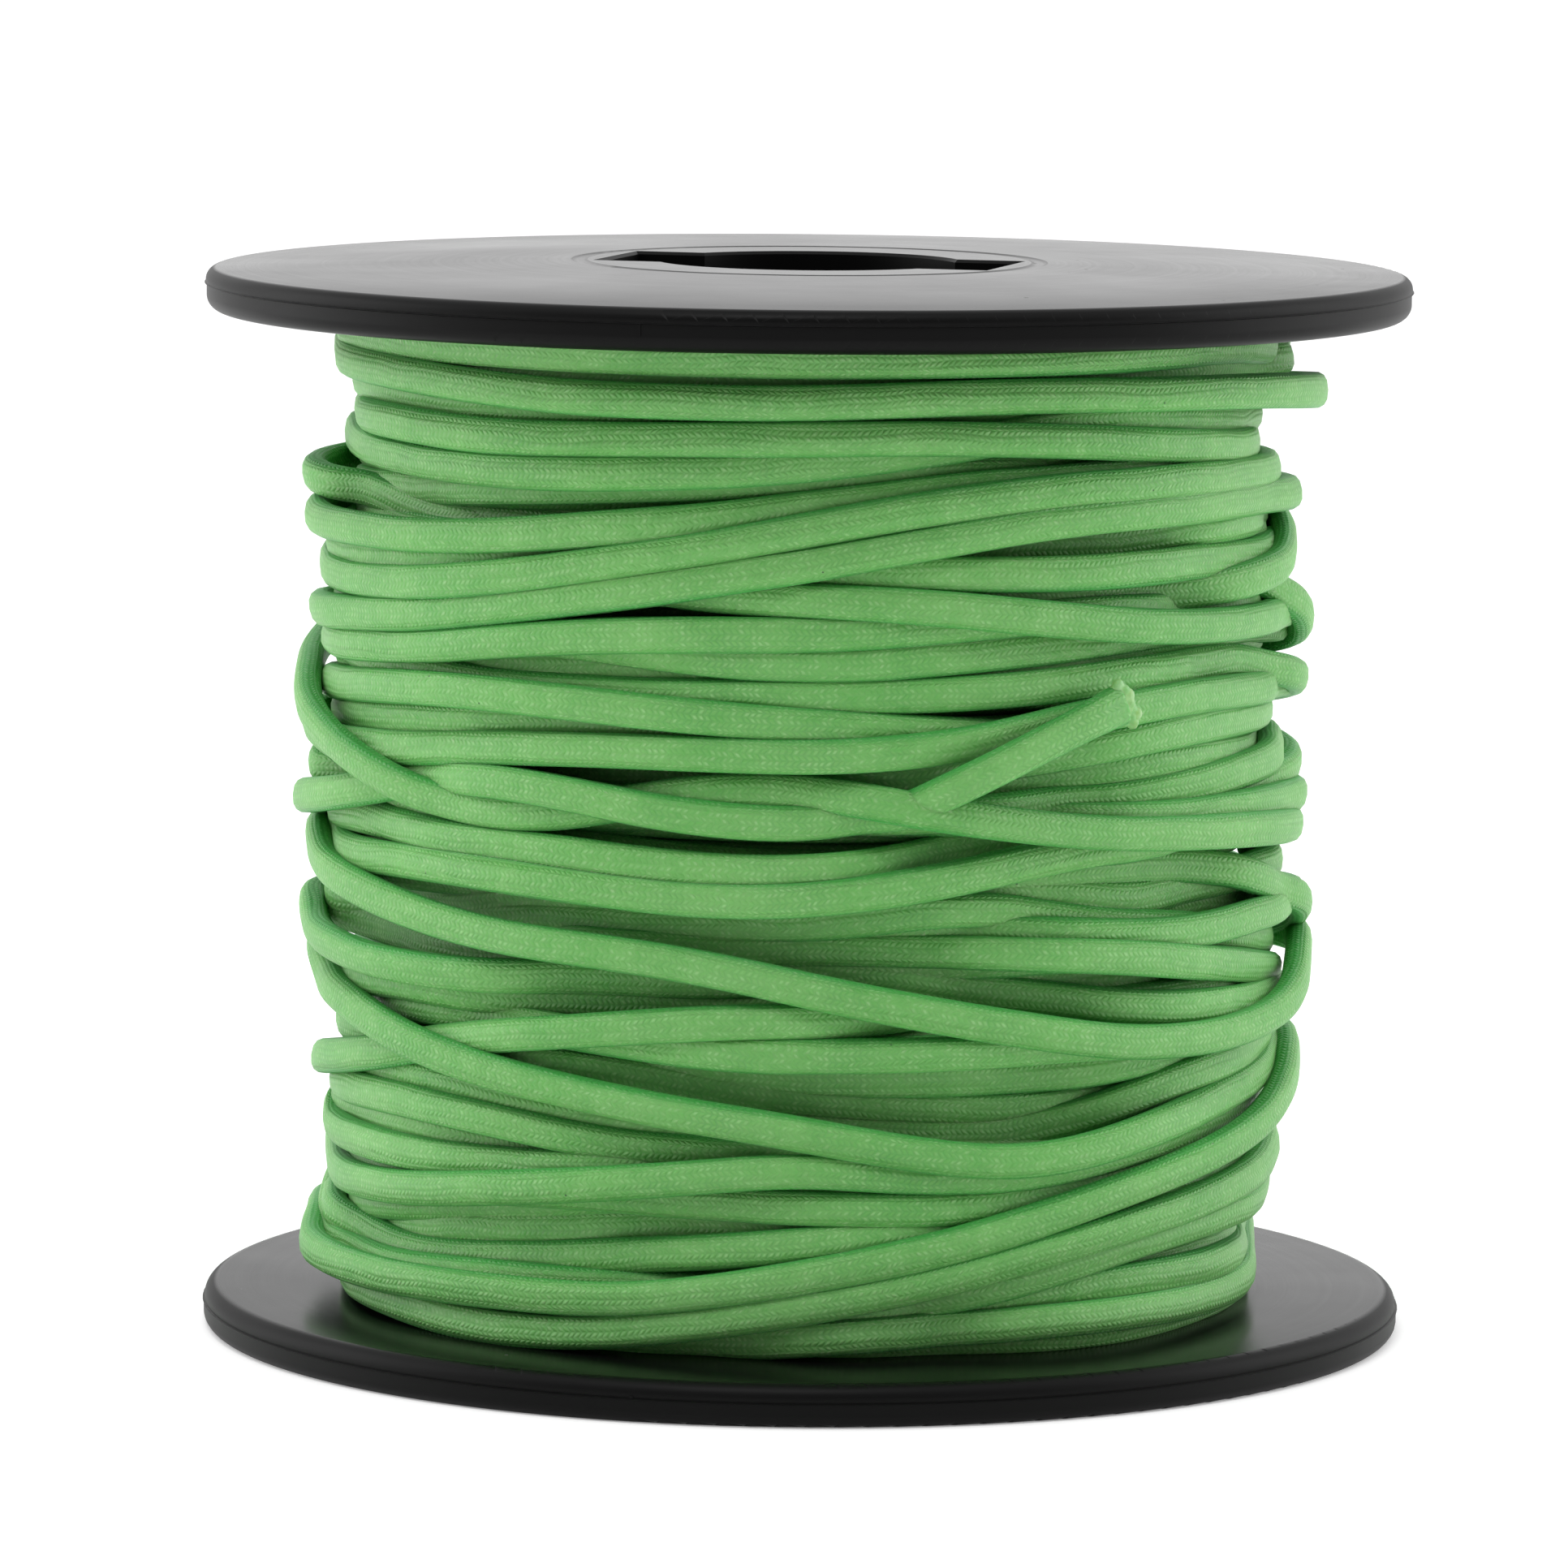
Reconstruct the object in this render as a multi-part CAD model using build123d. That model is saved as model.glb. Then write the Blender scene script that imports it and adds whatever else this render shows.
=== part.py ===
from build123d import *
import math
import os

# Spool of waxed braided cord.
# Row frame: origin at the centre of the resting face, +Z up the spool's axis,
# X along the drive slots, Y through the two mould seams.

# ---------------------------------------------------------------- dimensions
# moulded spool
FLANGE_R = 40.0          # tip of the flash line round each rim
RIM_R_OUTER = 39.92      # rim radius between the parting line and the outer face
RIM_R_INNER = 39.86      # rim radius between the parting line and the inner face
RIM_H = 70.5             # outer rim plane to outer rim plane
FLANGE_T = 2.8           # flange thickness at the rim
OUTER_ROUND = 0.8        # rounding of the rim's outer edge
INNER_ROUND = 1.0        # rounding of the rim's inner edge
PARTING_UP = 1.0         # parting line below the outer face of the upper flange
PARTING_LOW = 1.6        # parting line above the outer face of the lower flange
FLASH_HALF = 0.06        # half thickness of the flash ridge at its root
DOME_H = 0.6             # how far the upper hub stands above its own rim plane
HUB_R = 16.0             # edge of the flat hub land on the upper flange
SINK_R = 15.25           # shallow sink ring over the barrel wall
SINK_DEPTH = 0.10
SINK_HALF_W = 0.55

# barrel and drive hole
BARREL_R = 16.0
BORE_R = 10.0
SLOT_LEN = 26.5          # overall length of the two drive slots, across the bore
SLOT_W = 10.0
SLOT_DEPTH = 14.0        # depth of the slots from each outer rim plane
HOLE_EDGE = 0.2          # broken edge at the mouth of the drive hole

# side seams of the mould
SEAM_W = 0.22
SEAM_PROUD = 0.05

# tape that holds the first turn on the barrel
TAPE_T = 0.18
TAPE_SPAN_DEG = 100.0
TAPE_Z0, TAPE_Z1 = 5.0, 19.0

# cord
CORD_W = 2.3             # width of the slightly flat braided cord
CORE_D = 1.3             # core yarns inside the braid
# outer shape of the winding, radius at height above the resting face
WINDING_OUTLINE = [
    (28.9, 2.8), (30.6, 5.0), (31.9, 8.5), (32.3, 13.5), (32.9, 18.5),
    (32.7, 24.0), (33.3, 29.5), (33.2, 35.5), (32.6, 40.0), (33.2, 45.5),
    (32.7, 51.0), (33.1, 55.5), (31.8, 59.5), (32.6, 63.0), (31.6, 67.7),
]
# the free end leaves the winding, runs over it and stops
TAIL_ROUTE = [
    (14.30, -28.96, 38.09),
    (17.45, -29.35, 39.65),
    (20.35, -28.25, 41.15),
    (23.75, -25.60, 43.05),
    (26.75, -21.75, 44.80),
]
SEAL_T = 1.15            # melted bead on the free end
SEAL_W = 2.9

Z_IN_LOW = FLANGE_T
Z_IN_UP = RIM_H - FLANGE_T
os.makedirs("parts", exist_ok=True)


# ------------------------------------------------------------------- helpers
def rim_profile(outer_z, inner_z, hub_z, parting):
    """Half section of a flange. outer_z is the outer rim plane and inner_z the
    inner face; the hub land of the outer face lies at hub_z."""
    s = 1.0 if outer_z > inner_z else -1.0
    pz = outer_z - s * parting
    a = OUTER_ROUND
    b = INNER_ROUND
    c45 = math.sqrt(0.5)
    with BuildSketch(Plane.XZ) as sk:
        with BuildLine():
            Line((0, inner_z), (RIM_R_INNER - b, inner_z))
            ThreePointArc(
                (RIM_R_INNER - b, inner_z),
                (RIM_R_INNER - b + b * c45, inner_z + s * (b - b * c45)),
                (RIM_R_INNER, inner_z + s * b),
            )
            Line((RIM_R_INNER, inner_z + s * b), (RIM_R_INNER, pz - s * FLASH_HALF))
            Line((RIM_R_INNER, pz - s * FLASH_HALF), (FLANGE_R, pz))
            Line((FLANGE_R, pz), (RIM_R_OUTER, pz + s * FLASH_HALF))
            Line((RIM_R_OUTER, pz + s * FLASH_HALF), (RIM_R_OUTER, outer_z - s * a))
            ThreePointArc(
                (RIM_R_OUTER, outer_z - s * a),
                (RIM_R_OUTER - a + a * c45, outer_z - s * (a - a * c45)),
                (RIM_R_OUTER - a, outer_z),
            )
            Line((RIM_R_OUTER - a, outer_z), (HUB_R, hub_z))
            Line((HUB_R, hub_z), (0, hub_z))
            Line((0, hub_z), (0, inner_z))
        make_face()
    return sk.sketch


def drive_hole(z0, z1):
    """The bore with its two opposite slots, between two heights."""
    round_part = Pos(0, 0, (z0 + z1) / 2) * Cylinder(BORE_R, z1 - z0)
    slots = Pos(0, 0, (z0 + z1) / 2) * Box(SLOT_LEN, SLOT_W, z1 - z0)
    return round_part + slots


def seam_ribs(z0, z1):
    """Witness lines of the side slides on the rim, at -Y and +Y."""
    ribs = []
    for sy in (-1, 1):
        ribs.append(
            Pos(0, sy * (RIM_R_INNER + SEAM_PROUD - 0.3), (z0 + z1) / 2)
            * Box(SEAM_W, 0.6, z1 - z0)
        )
    return ribs


def one_solid(shape, name):
    solids = shape.solids()
    assert len(solids) == 1, (name, len(solids))
    return solids[0]


# ------------------------------------------------------------ moulded spool
lower = revolve(rim_profile(0.0, Z_IN_LOW, 0.0, PARTING_LOW), Axis.Z)
for rib in seam_ribs(OUTER_ROUND, FLANGE_T - INNER_ROUND):
    lower = lower + rib
lower = lower - drive_hole(-1, FLANGE_T + 1)
mouth = lower.edges().filter_by(
    lambda e: abs(e.center().Z) < 1e-6
    and math.hypot(e.center().X, e.center().Y) < HUB_R
)
lower = chamfer(mouth, HOLE_EDGE)

HUB_Z = RIM_H + DOME_H
upper = revolve(rim_profile(RIM_H, Z_IN_UP, HUB_Z, PARTING_UP), Axis.Z)
with BuildSketch(Plane.XZ) as sink:
    with BuildLine():
        ThreePointArc(
            (SINK_R - SINK_HALF_W, HUB_Z),
            (SINK_R, HUB_Z - SINK_DEPTH),
            (SINK_R + SINK_HALF_W, HUB_Z),
        )
        Line((SINK_R + SINK_HALF_W, HUB_Z), (SINK_R - SINK_HALF_W, HUB_Z))
    make_face()
upper = upper - revolve(sink.sketch, Axis.Z)
for rib in seam_ribs(Z_IN_UP + INNER_ROUND, RIM_H - OUTER_ROUND):
    upper = upper + rib
upper = upper - drive_hole(Z_IN_UP - 1, HUB_Z + 1)
mouth = upper.edges().filter_by(
    lambda e: abs(e.center().Z - HUB_Z) < 1e-6
    and math.hypot(e.center().X, e.center().Y) < SINK_R - SINK_HALF_W - 0.1
)
upper = chamfer(mouth, HOLE_EDGE)

barrel = Pos(0, 0, (Z_IN_LOW + Z_IN_UP) / 2) * Cylinder(BARREL_R, Z_IN_UP - Z_IN_LOW)
barrel = barrel - Pos(0, 0, RIM_H / 2) * Cylinder(BORE_R, RIM_H + 2)
slot_low = Pos(0, 0, SLOT_DEPTH / 2) * Box(SLOT_LEN, SLOT_W, SLOT_DEPTH)
slot_up = Pos(0, 0, RIM_H - SLOT_DEPTH / 2) * Box(SLOT_LEN, SLOT_W, SLOT_DEPTH)
barrel = barrel - slot_low - slot_up

# ------------------------------------------------------------------- tape
with BuildSketch(Plane.XZ) as tape_sec:
    with Locations((BARREL_R + TAPE_T / 2, (TAPE_Z0 + TAPE_Z1) / 2)):
        Rectangle(TAPE_T, TAPE_Z1 - TAPE_Z0)
tape = revolve(tape_sec.sketch, Axis.Z, revolution_arc=TAPE_SPAN_DEG)

# ---------------------------------------------------------------- winding
with BuildSketch(Plane.XZ) as wind_sec:
    with BuildLine():
        Polyline(
            [(BARREL_R, Z_IN_LOW)]
            + WINDING_OUTLINE
            + [(BARREL_R, Z_IN_UP), (BARREL_R, Z_IN_LOW)]
        )
    make_face()
winding = revolve(wind_sec.sketch, Axis.Z) - tape

# ---------------------------------------------------------------- free end
pts = [Vector(*p) for p in TAIL_ROUTE]
runs = [(pts[i + 1] - pts[i]) for i in range(len(pts) - 1)]
radii = []
for i in range(1, len(pts) - 1):
    turn = math.radians(runs[i - 1].get_angle(runs[i]))
    shorter = min(runs[i - 1].length, runs[i].length)
    radii.append(0.45 * shorter / math.tan(turn / 2))
print("tail runs mm", [round(r.length, 2) for r in runs])
print("tail radii mm", [round(r, 2) for r in radii])
path = FilletPolyline(*pts, radius=radii)


def tube(outer_d, inner_d):
    start = Plane(origin=path @ 0, z_dir=path % 0)
    body = sweep(start * Circle(outer_d / 2), path=path)
    if inner_d:
        body = body - sweep(start * Circle(inner_d / 2), path=path)
    return body


sheath = tube(CORD_W, CORE_D) - winding
core = tube(CORE_D, 0) - winding
full = tube(CORD_W, 0)
expect = math.pi * CORD_W**2 / 4 * path.length
print("tail length mm", round(path.length, 2), "volume", round(full.volume, 2), "expected", round(expect, 2))

# melted bead: a flat rounded disc that caps the braid, face to face with it
end = Plane(origin=path @ 1, z_dir=path % 1)
seal = end * (Pos(0, 0, SEAL_T / 2) * Cylinder(SEAL_W / 2, SEAL_T))
seal = fillet(seal.edges().filter_by(GeomType.CIRCLE), 0.45)
seal = seal - winding


def largest(shape):
    return sorted(shape.solids(), key=lambda s: s.volume)[-1]


nodes = {
    "upper_flange": one_solid(upper, "upper_flange"),
    "lower_flange": one_solid(lower, "lower_flange"),
    "barrel": one_solid(barrel, "barrel"),
    "start_tape": one_solid(tape, "start_tape"),
    "cord_winding": one_solid(winding, "cord_winding"),
    "cord_tail_sheath": largest(sheath),
    "cord_tail_core": largest(core),
    "cord_end_seal": largest(seal),
}
for name, solid in nodes.items():
    export_step(solid, os.path.join("parts", name + ".step"))
    bb = solid.bounding_box()
    print(name, "volume", round(solid.volume, 2), "size", [round(v, 2) for v in bb.size])
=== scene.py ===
import math

import bmesh
import bpy
import numpy as np
from mathutils import Matrix, Vector


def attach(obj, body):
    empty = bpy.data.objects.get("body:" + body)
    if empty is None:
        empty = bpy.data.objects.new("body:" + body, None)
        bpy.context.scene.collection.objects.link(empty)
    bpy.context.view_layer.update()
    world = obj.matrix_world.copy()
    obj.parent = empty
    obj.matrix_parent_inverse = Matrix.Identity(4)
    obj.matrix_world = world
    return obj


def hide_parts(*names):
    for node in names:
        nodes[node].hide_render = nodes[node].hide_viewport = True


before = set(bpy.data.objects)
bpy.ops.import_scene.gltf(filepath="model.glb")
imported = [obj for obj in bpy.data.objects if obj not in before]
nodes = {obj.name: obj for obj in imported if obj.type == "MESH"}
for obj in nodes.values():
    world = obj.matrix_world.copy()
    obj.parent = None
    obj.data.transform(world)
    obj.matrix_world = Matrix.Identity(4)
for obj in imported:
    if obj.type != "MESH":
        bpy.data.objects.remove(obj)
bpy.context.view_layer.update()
MM = 0.001
scene = bpy.context.scene

# ------------------------------------------------------------------ camera
AZ, PITCH, ROLL = math.radians(15.5), 0.11816, 0.0092
cam_data = bpy.data.cameras.new("camera")
cam_data.sensor_width = 36.0
cam_data.lens = 217.71
cam_data.clip_start, cam_data.clip_end = 0.05, 20.0
cam = bpy.data.objects.new("camera", cam_data)
scene.collection.objects.link(cam)
scene.camera = cam
place = (-1.374, -627.78)
cam.location = (
    (place[0] * math.cos(AZ) - place[1] * math.sin(AZ)) * MM,
    (place[0] * math.sin(AZ) + place[1] * math.cos(AZ)) * MM,
    110.70 * MM,
)
fwd = Vector((-math.sin(AZ) * math.cos(PITCH), math.cos(AZ) * math.cos(PITCH), -math.sin(PITCH)))
right0 = Vector((math.cos(AZ), math.sin(AZ), 0.0))
up0 = right0.cross(fwd)
right = right0 * math.cos(ROLL) + up0 * math.sin(ROLL)
up = up0 * math.cos(ROLL) - right0 * math.sin(ROLL)
cam.matrix_world = Matrix((
    (right.x, up.x, -fwd.x, cam.location.x),
    (right.y, up.y, -fwd.y, cam.location.y),
    (right.z, up.z, -fwd.z, cam.location.z),
    (0, 0, 0, 1),
))

# ------------------------------------------------------------------ cord route, mm
# The outer turns of the winding, in order, as the control points of the cord's line.
TURNS = [
(-29.03,-4.60,37.06),(-28.82,-7.72,37.08),(-29.30,-10.81,37.09),(-27.03,-12.91,37.11),(-24.70,-14.98,37.13),(-22.93,-17.63,37.16),
(-20.54,-19.76,37.20),(-18.20,-21.94,37.25),(-15.65,-23.86,37.32),(-12.86,-25.41,37.40),(-9.89,-26.60,37.51),(-6.90,-27.69,37.66),(-3.73,-28.00,37.84),
(-0.54,-28.19,38.08),(2.63,-28.15,38.39),(5.81,-28.12,38.79),(8.95,-27.82,39.28),(12.03,-27.20,39.78),(14.96,-25.99,40.22),(17.58,-24.20,40.58),
(19.81,-21.94,40.90),(22.32,-20.08,41.29),(24.91,-18.30,41.73),(26.85,-15.79,42.06),(28.29,-12.94,42.24),(29.22,-9.88,42.27),(29.80,-6.74,42.24),
(30.24,-3.57,42.16),(30.52,-0.38,42.08),(30.30,2.81,42.03),(29.65,5.94,42.00),(28.54,8.93,41.97),(26.86,11.64,41.95),(26.07,14.72,41.92),
(25.14,17.75,41.86),(23.38,20.42,41.76),(21.34,22.89,41.63),(19.19,25.25,41.48),(16.81,27.37,41.34),(14.13,29.11,41.23),(11.22,30.43,41.17),
(8.18,31.41,41.19),(5.05,32.07,41.28),(1.87,32.40,41.44),(-1.32,32.42,41.64),(-4.50,32.12,41.83),(-7.64,31.52,41.98),(-10.72,30.66,42.07),
(-13.70,29.50,42.06),(-16.54,28.03,41.96),(-19.20,26.27,41.78),(-21.66,24.23,41.55),(-23.89,21.96,41.31),(-25.91,19.49,41.09),(-27.69,16.84,40.91),
(-29.22,14.03,40.81),(-30.45,11.07,40.78),(-31.33,8.00,40.80),(-31.76,4.84,40.87),(-31.48,1.66,40.97),(-30.31,-1.30,41.07),(-29.39,-4.31,41.21),
(-29.57,-7.49,41.31),(-28.89,-10.60,41.44),(-27.63,-13.54,41.57),(-26.08,-16.34,41.71),(-24.28,-18.97,41.89),(-22.24,-21.42,42.11),
(-19.94,-23.63,42.37),(-17.39,-25.54,42.67),(-14.64,-27.14,42.96),(-11.70,-28.38,43.18),(-8.66,-29.35,43.31),(-5.54,-30.10,43.38),(-2.38,-30.58,43.37),
(0.81,-30.72,43.28),(3.99,-30.44,43.16),(7.11,-29.74,43.04),(10.10,-28.62,42.92),(12.92,-27.12,42.83),(15.58,-25.34,42.76),(18.04,-23.30,42.70),
(19.91,-20.72,42.65),(21.62,-18.03,42.61),(23.57,-15.49,42.58),(25.31,-12.81,42.56),(26.61,-9.89,42.54),(27.52,-6.82,42.53),(28.10,-3.68,42.52),
(28.22,-0.48,42.51),(28.00,2.71,42.51),(27.53,5.87,42.50),(26.69,8.96,42.50),(25.48,11.92,42.51),(23.98,14.74,42.49),(22.13,17.35,42.46),
(20.12,19.83,42.47),(18.13,22.34,42.58),(15.67,24.36,42.80),(12.93,25.99,43.10),(10.04,27.31,43.41),(7.02,28.35,43.63),(3.89,28.97,43.71),
(0.70,29.30,43.67),(-2.49,29.36,43.56),(-5.66,28.96,43.48),(-8.76,28.16,43.50),(-11.75,27.05,43.65),(-14.58,25.58,43.90),(-17.31,23.93,44.15),
(-19.45,21.59,44.33),(-21.48,19.11,44.39),(-23.63,16.75,44.33),(-25.90,14.51,44.22),(-27.51,11.75,44.14),(-28.63,8.76,44.15),(-29.41,5.66,44.27),
(-30.26,2.58,44.46),(-30.20,-0.58,44.68),(-28.67,-3.35,44.86),(-27.62,-6.25,44.98),(-29.00,-9.10,45.07),(-28.08,-11.99,45.18),(-25.41,-13.70,45.29),
(-23.17,-15.90,45.41),(-21.22,-18.43,45.50),(-19.01,-20.74,45.59),(-16.60,-22.85,45.67),(-14.05,-24.78,45.75),(-11.26,-26.33,45.85),
(-8.27,-27.47,45.93),(-5.17,-28.25,45.96),(-2.00,-28.69,45.97),(1.19,-28.83,45.99),(4.38,-28.59,46.00),(7.52,-27.99,46.01),(10.58,-27.05,46.01),
(13.47,-25.69,46.02),(16.19,-24.01,46.02),(18.73,-22.06,46.03),(21.01,-19.82,46.03),(22.88,-17.23,46.03),(24.33,-14.38,46.03),(25.71,-11.49,46.03),
(26.84,-8.50,46.03),(27.64,-5.41,46.03),(28.08,-2.24,46.03),(28.15,0.96,46.03),(27.87,4.14,46.04),(27.42,7.31,46.04),(26.20,10.25,46.04),
(25.10,13.25,46.17),(24.02,16.26,46.33),(22.68,19.15,46.54),(20.86,21.76,46.77),(18.52,23.94,46.93),(15.89,25.76,46.96),(13.05,27.22,46.80),
(10.05,28.27,46.49),(6.97,29.04,46.10),(3.83,29.55,45.75),(0.65,29.75,45.51),(-2.54,29.63,45.39),(-5.71,29.19,45.34),(-8.83,28.49,45.26),
(-11.89,27.56,45.09),(-14.89,26.49,44.82),(-17.82,25.25,44.53),(-19.98,22.96,44.30),(-21.79,20.34,44.22),(-24.03,18.06,44.33),(-26.51,16.07,44.58),
(-28.22,13.40,44.92),(-29.47,10.48,45.25),(-30.42,7.43,45.49),(-31.11,4.31,45.64),(-31.47,1.14,45.73),(-30.75,-1.94,45.80),(-29.92,-4.93,45.87),
(-30.36,-8.07,45.98),(-29.28,-11.07,46.12),(-28.11,-14.05,46.27),(-26.92,-17.01,46.43),(-25.20,-19.70,46.63),(-23.10,-22.10,46.84),
(-20.77,-24.28,47.07),(-18.34,-26.34,47.36),(-15.73,-28.16,47.71),(-12.94,-29.65,48.12),(-10.00,-30.84,48.52),(-6.95,-31.76,48.85),
(-3.81,-32.31,49.11),(-0.62,-32.47,49.28),(2.57,-32.25,49.38),(5.71,-31.65,49.41),(8.78,-30.75,49.46),(11.76,-29.61,49.57),(14.57,-28.08,49.74),
(17.18,-26.25,49.92),(19.64,-24.21,50.09),(21.93,-21.98,50.22),(23.98,-19.53,50.28),(25.66,-16.81,50.19),(26.76,-13.82,50.01),(26.95,-10.64,49.83),
(28.61,-7.99,49.67),(29.84,-5.07,49.54),(30.09,-1.89,49.43),(29.91,1.30,49.35),(29.81,4.50,49.29),(30.22,7.66,49.24),(29.09,10.48,49.20),
(26.37,12.16,49.16),(24.50,14.68,49.16),(24.27,17.85,49.26),(23.26,20.85,49.46),(21.37,23.41,49.74),(19.03,25.56,50.07),(16.41,27.37,50.40),
(13.61,28.88,50.68),(10.65,30.09,50.86),(7.59,31.00,50.89),(4.45,31.60,50.75),(1.27,31.85,50.48),(-1.90,31.71,50.10),(-5.01,31.08,49.70),
(-8.03,30.09,49.32),(-10.97,28.88,49.04),(-13.87,27.54,48.90),(-16.64,25.93,48.92),(-19.23,24.06,49.08),(-21.63,21.97,49.33),(-23.86,19.69,49.63),
(-25.91,17.26,49.93),(-27.72,14.63,50.21),(-29.27,11.84,50.45),(-30.50,8.90,50.64),(-31.32,5.81,50.81),(-31.75,2.65,50.94),(-31.83,-0.55,51.02),
(-31.55,-3.73,51.01),(-30.86,-6.85,50.94),(-29.85,-9.89,50.93),(-28.84,-12.93,50.91),(-27.65,-15.89,50.90),(-26.05,-18.67,50.92),(-24.17,-21.25,50.98),
(-22.05,-23.64,51.14),(-19.72,-25.81,51.35),(-17.17,-27.72,51.64),(-14.42,-29.31,52.03),(-11.49,-30.52,52.46),(-8.46,-31.43,52.94),
(-5.37,-32.06,53.48),(-2.24,-32.43,54.03),(0.91,-32.51,54.59),(4.04,-32.29,55.21),(7.13,-31.79,55.84),(10.17,-31.01,56.45),(13.13,-29.94,57.03),
(15.96,-28.54,57.52),(18.63,-26.83,57.92),(21.14,-24.86,58.21),(23.44,-22.64,58.40),(25.49,-20.19,58.48),(27.25,-17.52,58.52),(28.66,-14.65,58.52),
(29.65,-11.61,58.45),(30.33,-8.49,58.36),(30.83,-5.33,58.29),(31.09,-2.14,58.21),(30.99,1.05,58.12),(30.35,4.18,58.02),(29.60,7.29,57.92),
(28.17,10.13,57.84),(26.20,12.64,57.85),(25.33,15.71,57.95),(23.47,18.27,58.05),(21.12,20.44,58.06),(18.60,22.40,57.89),(16.03,24.28,57.56),
(13.47,26.16,57.18),(10.89,28.02,56.90),(8.07,29.52,56.78),(4.98,30.33,56.84),(1.80,30.47,56.99),(-1.11,29.20,57.10),(-4.21,28.49,57.13),
(-7.35,27.94,57.06),(-10.47,27.23,57.00),(-13.38,25.93,57.06),(-16.01,24.13,57.31),(-18.45,22.09,57.69),(-20.77,19.92,58.05),(-22.91,17.56,58.26),
(-24.78,14.97,58.24),(-26.51,12.28,58.03),(-27.86,9.40,57.78),(-28.40,6.26,57.56),(-29.46,3.33,57.43),(-30.73,0.48,57.36),(-30.48,-2.71,57.29),
(-31.23,-5.79,57.19),(-31.31,-8.94,57.06),(-30.42,-12.01,56.88),(-28.47,-14.36,56.63),(-25.47,-15.40,56.43),(-23.30,-17.71,56.12),
(-20.99,-19.89,55.76),(-18.57,-21.96,55.48),(-16.04,-23.91,55.25),(-13.19,-25.33,54.99),(-10.21,-26.43,54.64),(-7.13,-27.20,54.25),
(-4.01,-27.82,53.87),(-0.85,-28.19,53.55),(2.33,-28.09,53.30),(5.50,-27.65,53.15),(8.59,-26.83,53.05),(11.58,-25.72,52.96),(14.43,-24.27,52.89),
(17.01,-22.37,52.84),(19.44,-20.29,52.79),(21.69,-18.03,52.76),(23.62,-15.48,52.74),(25.12,-12.66,52.72),(26.37,-9.71,52.70),(27.30,-6.65,52.69),
(27.88,-3.51,52.69),(28.24,-0.33,52.68),(28.46,2.86,52.67),(28.02,5.99,52.67),(26.72,8.92,52.67),(25.57,11.90,52.72),(24.35,14.85,52.80),
(22.68,17.58,52.86),(20.57,19.96,52.96),(18.04,21.91,53.16),(15.57,23.92,53.40),(12.68,25.27,53.58),(9.80,26.66,53.59),(6.91,28.02,53.38),
(3.85,28.88,53.03),(0.70,29.28,52.66),(-2.48,29.44,52.39),(-5.66,29.14,52.28),(-8.78,28.42,52.30),(-11.81,27.42,52.34),(-14.75,26.16,52.31),
(-17.60,24.72,52.15),(-20.30,23.03,51.92),(-22.61,20.83,51.69),(-24.54,18.29,51.56),(-26.26,15.59,51.61),(-27.87,12.83,51.82),(-29.06,9.88,52.09),
(-28.96,6.72,52.34),(-28.85,3.54,52.51),(-28.69,0.35,52.58),(-28.43,-2.83,52.58),(-28.39,-6.02,52.57),(-27.69,-9.13,52.57),(-26.52,-12.11,52.56),
(-25.11,-14.97,52.56),(-23.34,-17.63,52.55),(-21.26,-20.07,52.55),(-18.94,-22.26,52.54),(-16.39,-24.20,52.53),(-13.68,-25.89,52.51),
(-10.68,-26.99,52.49),(-7.62,-27.92,52.47),(-4.58,-28.91,52.44),(-1.42,-29.35,52.40),(1.78,-29.37,52.34),(4.97,-29.59,52.28),(8.11,-29.03,52.20),
(11.18,-28.13,52.10),(14.14,-26.91,51.98),(16.90,-25.31,51.86),(19.39,-23.31,51.69),(21.54,-20.96,51.46),(23.40,-18.37,51.22),(24.90,-15.56,51.01),
(25.89,-12.52,50.91),(27.89,-10.14,50.98),(30.20,-7.97,51.26),(31.56,-5.10,51.57),(32.17,-1.98,51.85),(32.10,1.19,52.21),(31.51,4.28,52.78),
(30.76,7.32,53.43),(29.62,10.22,54.06),(27.13,12.11,54.66),(25.22,14.54,55.25),(23.84,17.36,55.82),(21.96,19.90,56.32),(19.84,22.26,56.72),
(17.53,24.45,57.00),(15.07,26.49,57.18),(12.53,28.43,57.30),(9.85,30.18,57.39),(6.87,31.30,57.48),(3.71,31.80,57.60),(0.52,31.78,57.72),
(-2.67,31.50,57.84),(-5.83,31.02,57.90),(-8.95,30.31,57.86),(-12.00,29.38,57.70),(-14.84,27.96,57.41),(-17.00,25.66,57.02),(-18.84,23.09,56.57),
(-20.81,20.61,56.07),(-22.75,18.10,55.63),(-24.62,15.53,55.30),(-26.27,12.80,55.12),(-27.35,9.79,55.06),(-27.90,6.65,55.09),(-28.33,3.48,55.18),
(-28.54,0.29,55.28),(-28.30,-2.90,55.42),(-28.09,-6.09,55.53),(-27.33,-9.19,55.53),(-26.13,-12.15,55.53),(-24.60,-14.96,55.52),(-22.74,-17.55,55.51),
(-20.39,-19.72,55.50),(-17.98,-21.83,55.49),(-15.58,-23.94,55.47),(-12.80,-25.53,55.44),(-9.89,-26.85,55.41),(-6.82,-27.74,55.37),(-3.65,-28.08,55.32),
(-0.47,-28.40,55.26),(2.72,-28.60,55.17),(5.87,-28.11,55.06),(8.94,-27.21,54.92),(11.88,-25.96,54.75),(14.67,-24.41,54.58),(17.35,-22.67,54.51),
(19.84,-20.66,54.53),(22.03,-18.33,54.55),(23.98,-15.79,54.54),(25.70,-13.10,54.70),(27.66,-10.61,54.95),(29.33,-7.91,55.01),(30.11,-4.81,55.02),
(30.28,-1.62,54.98),(29.80,1.53,54.92),(29.06,4.64,54.87),(28.82,7.82,54.82),(27.20,10.44,54.78),(25.05,12.75,54.72),(23.44,15.52,54.65),
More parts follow.
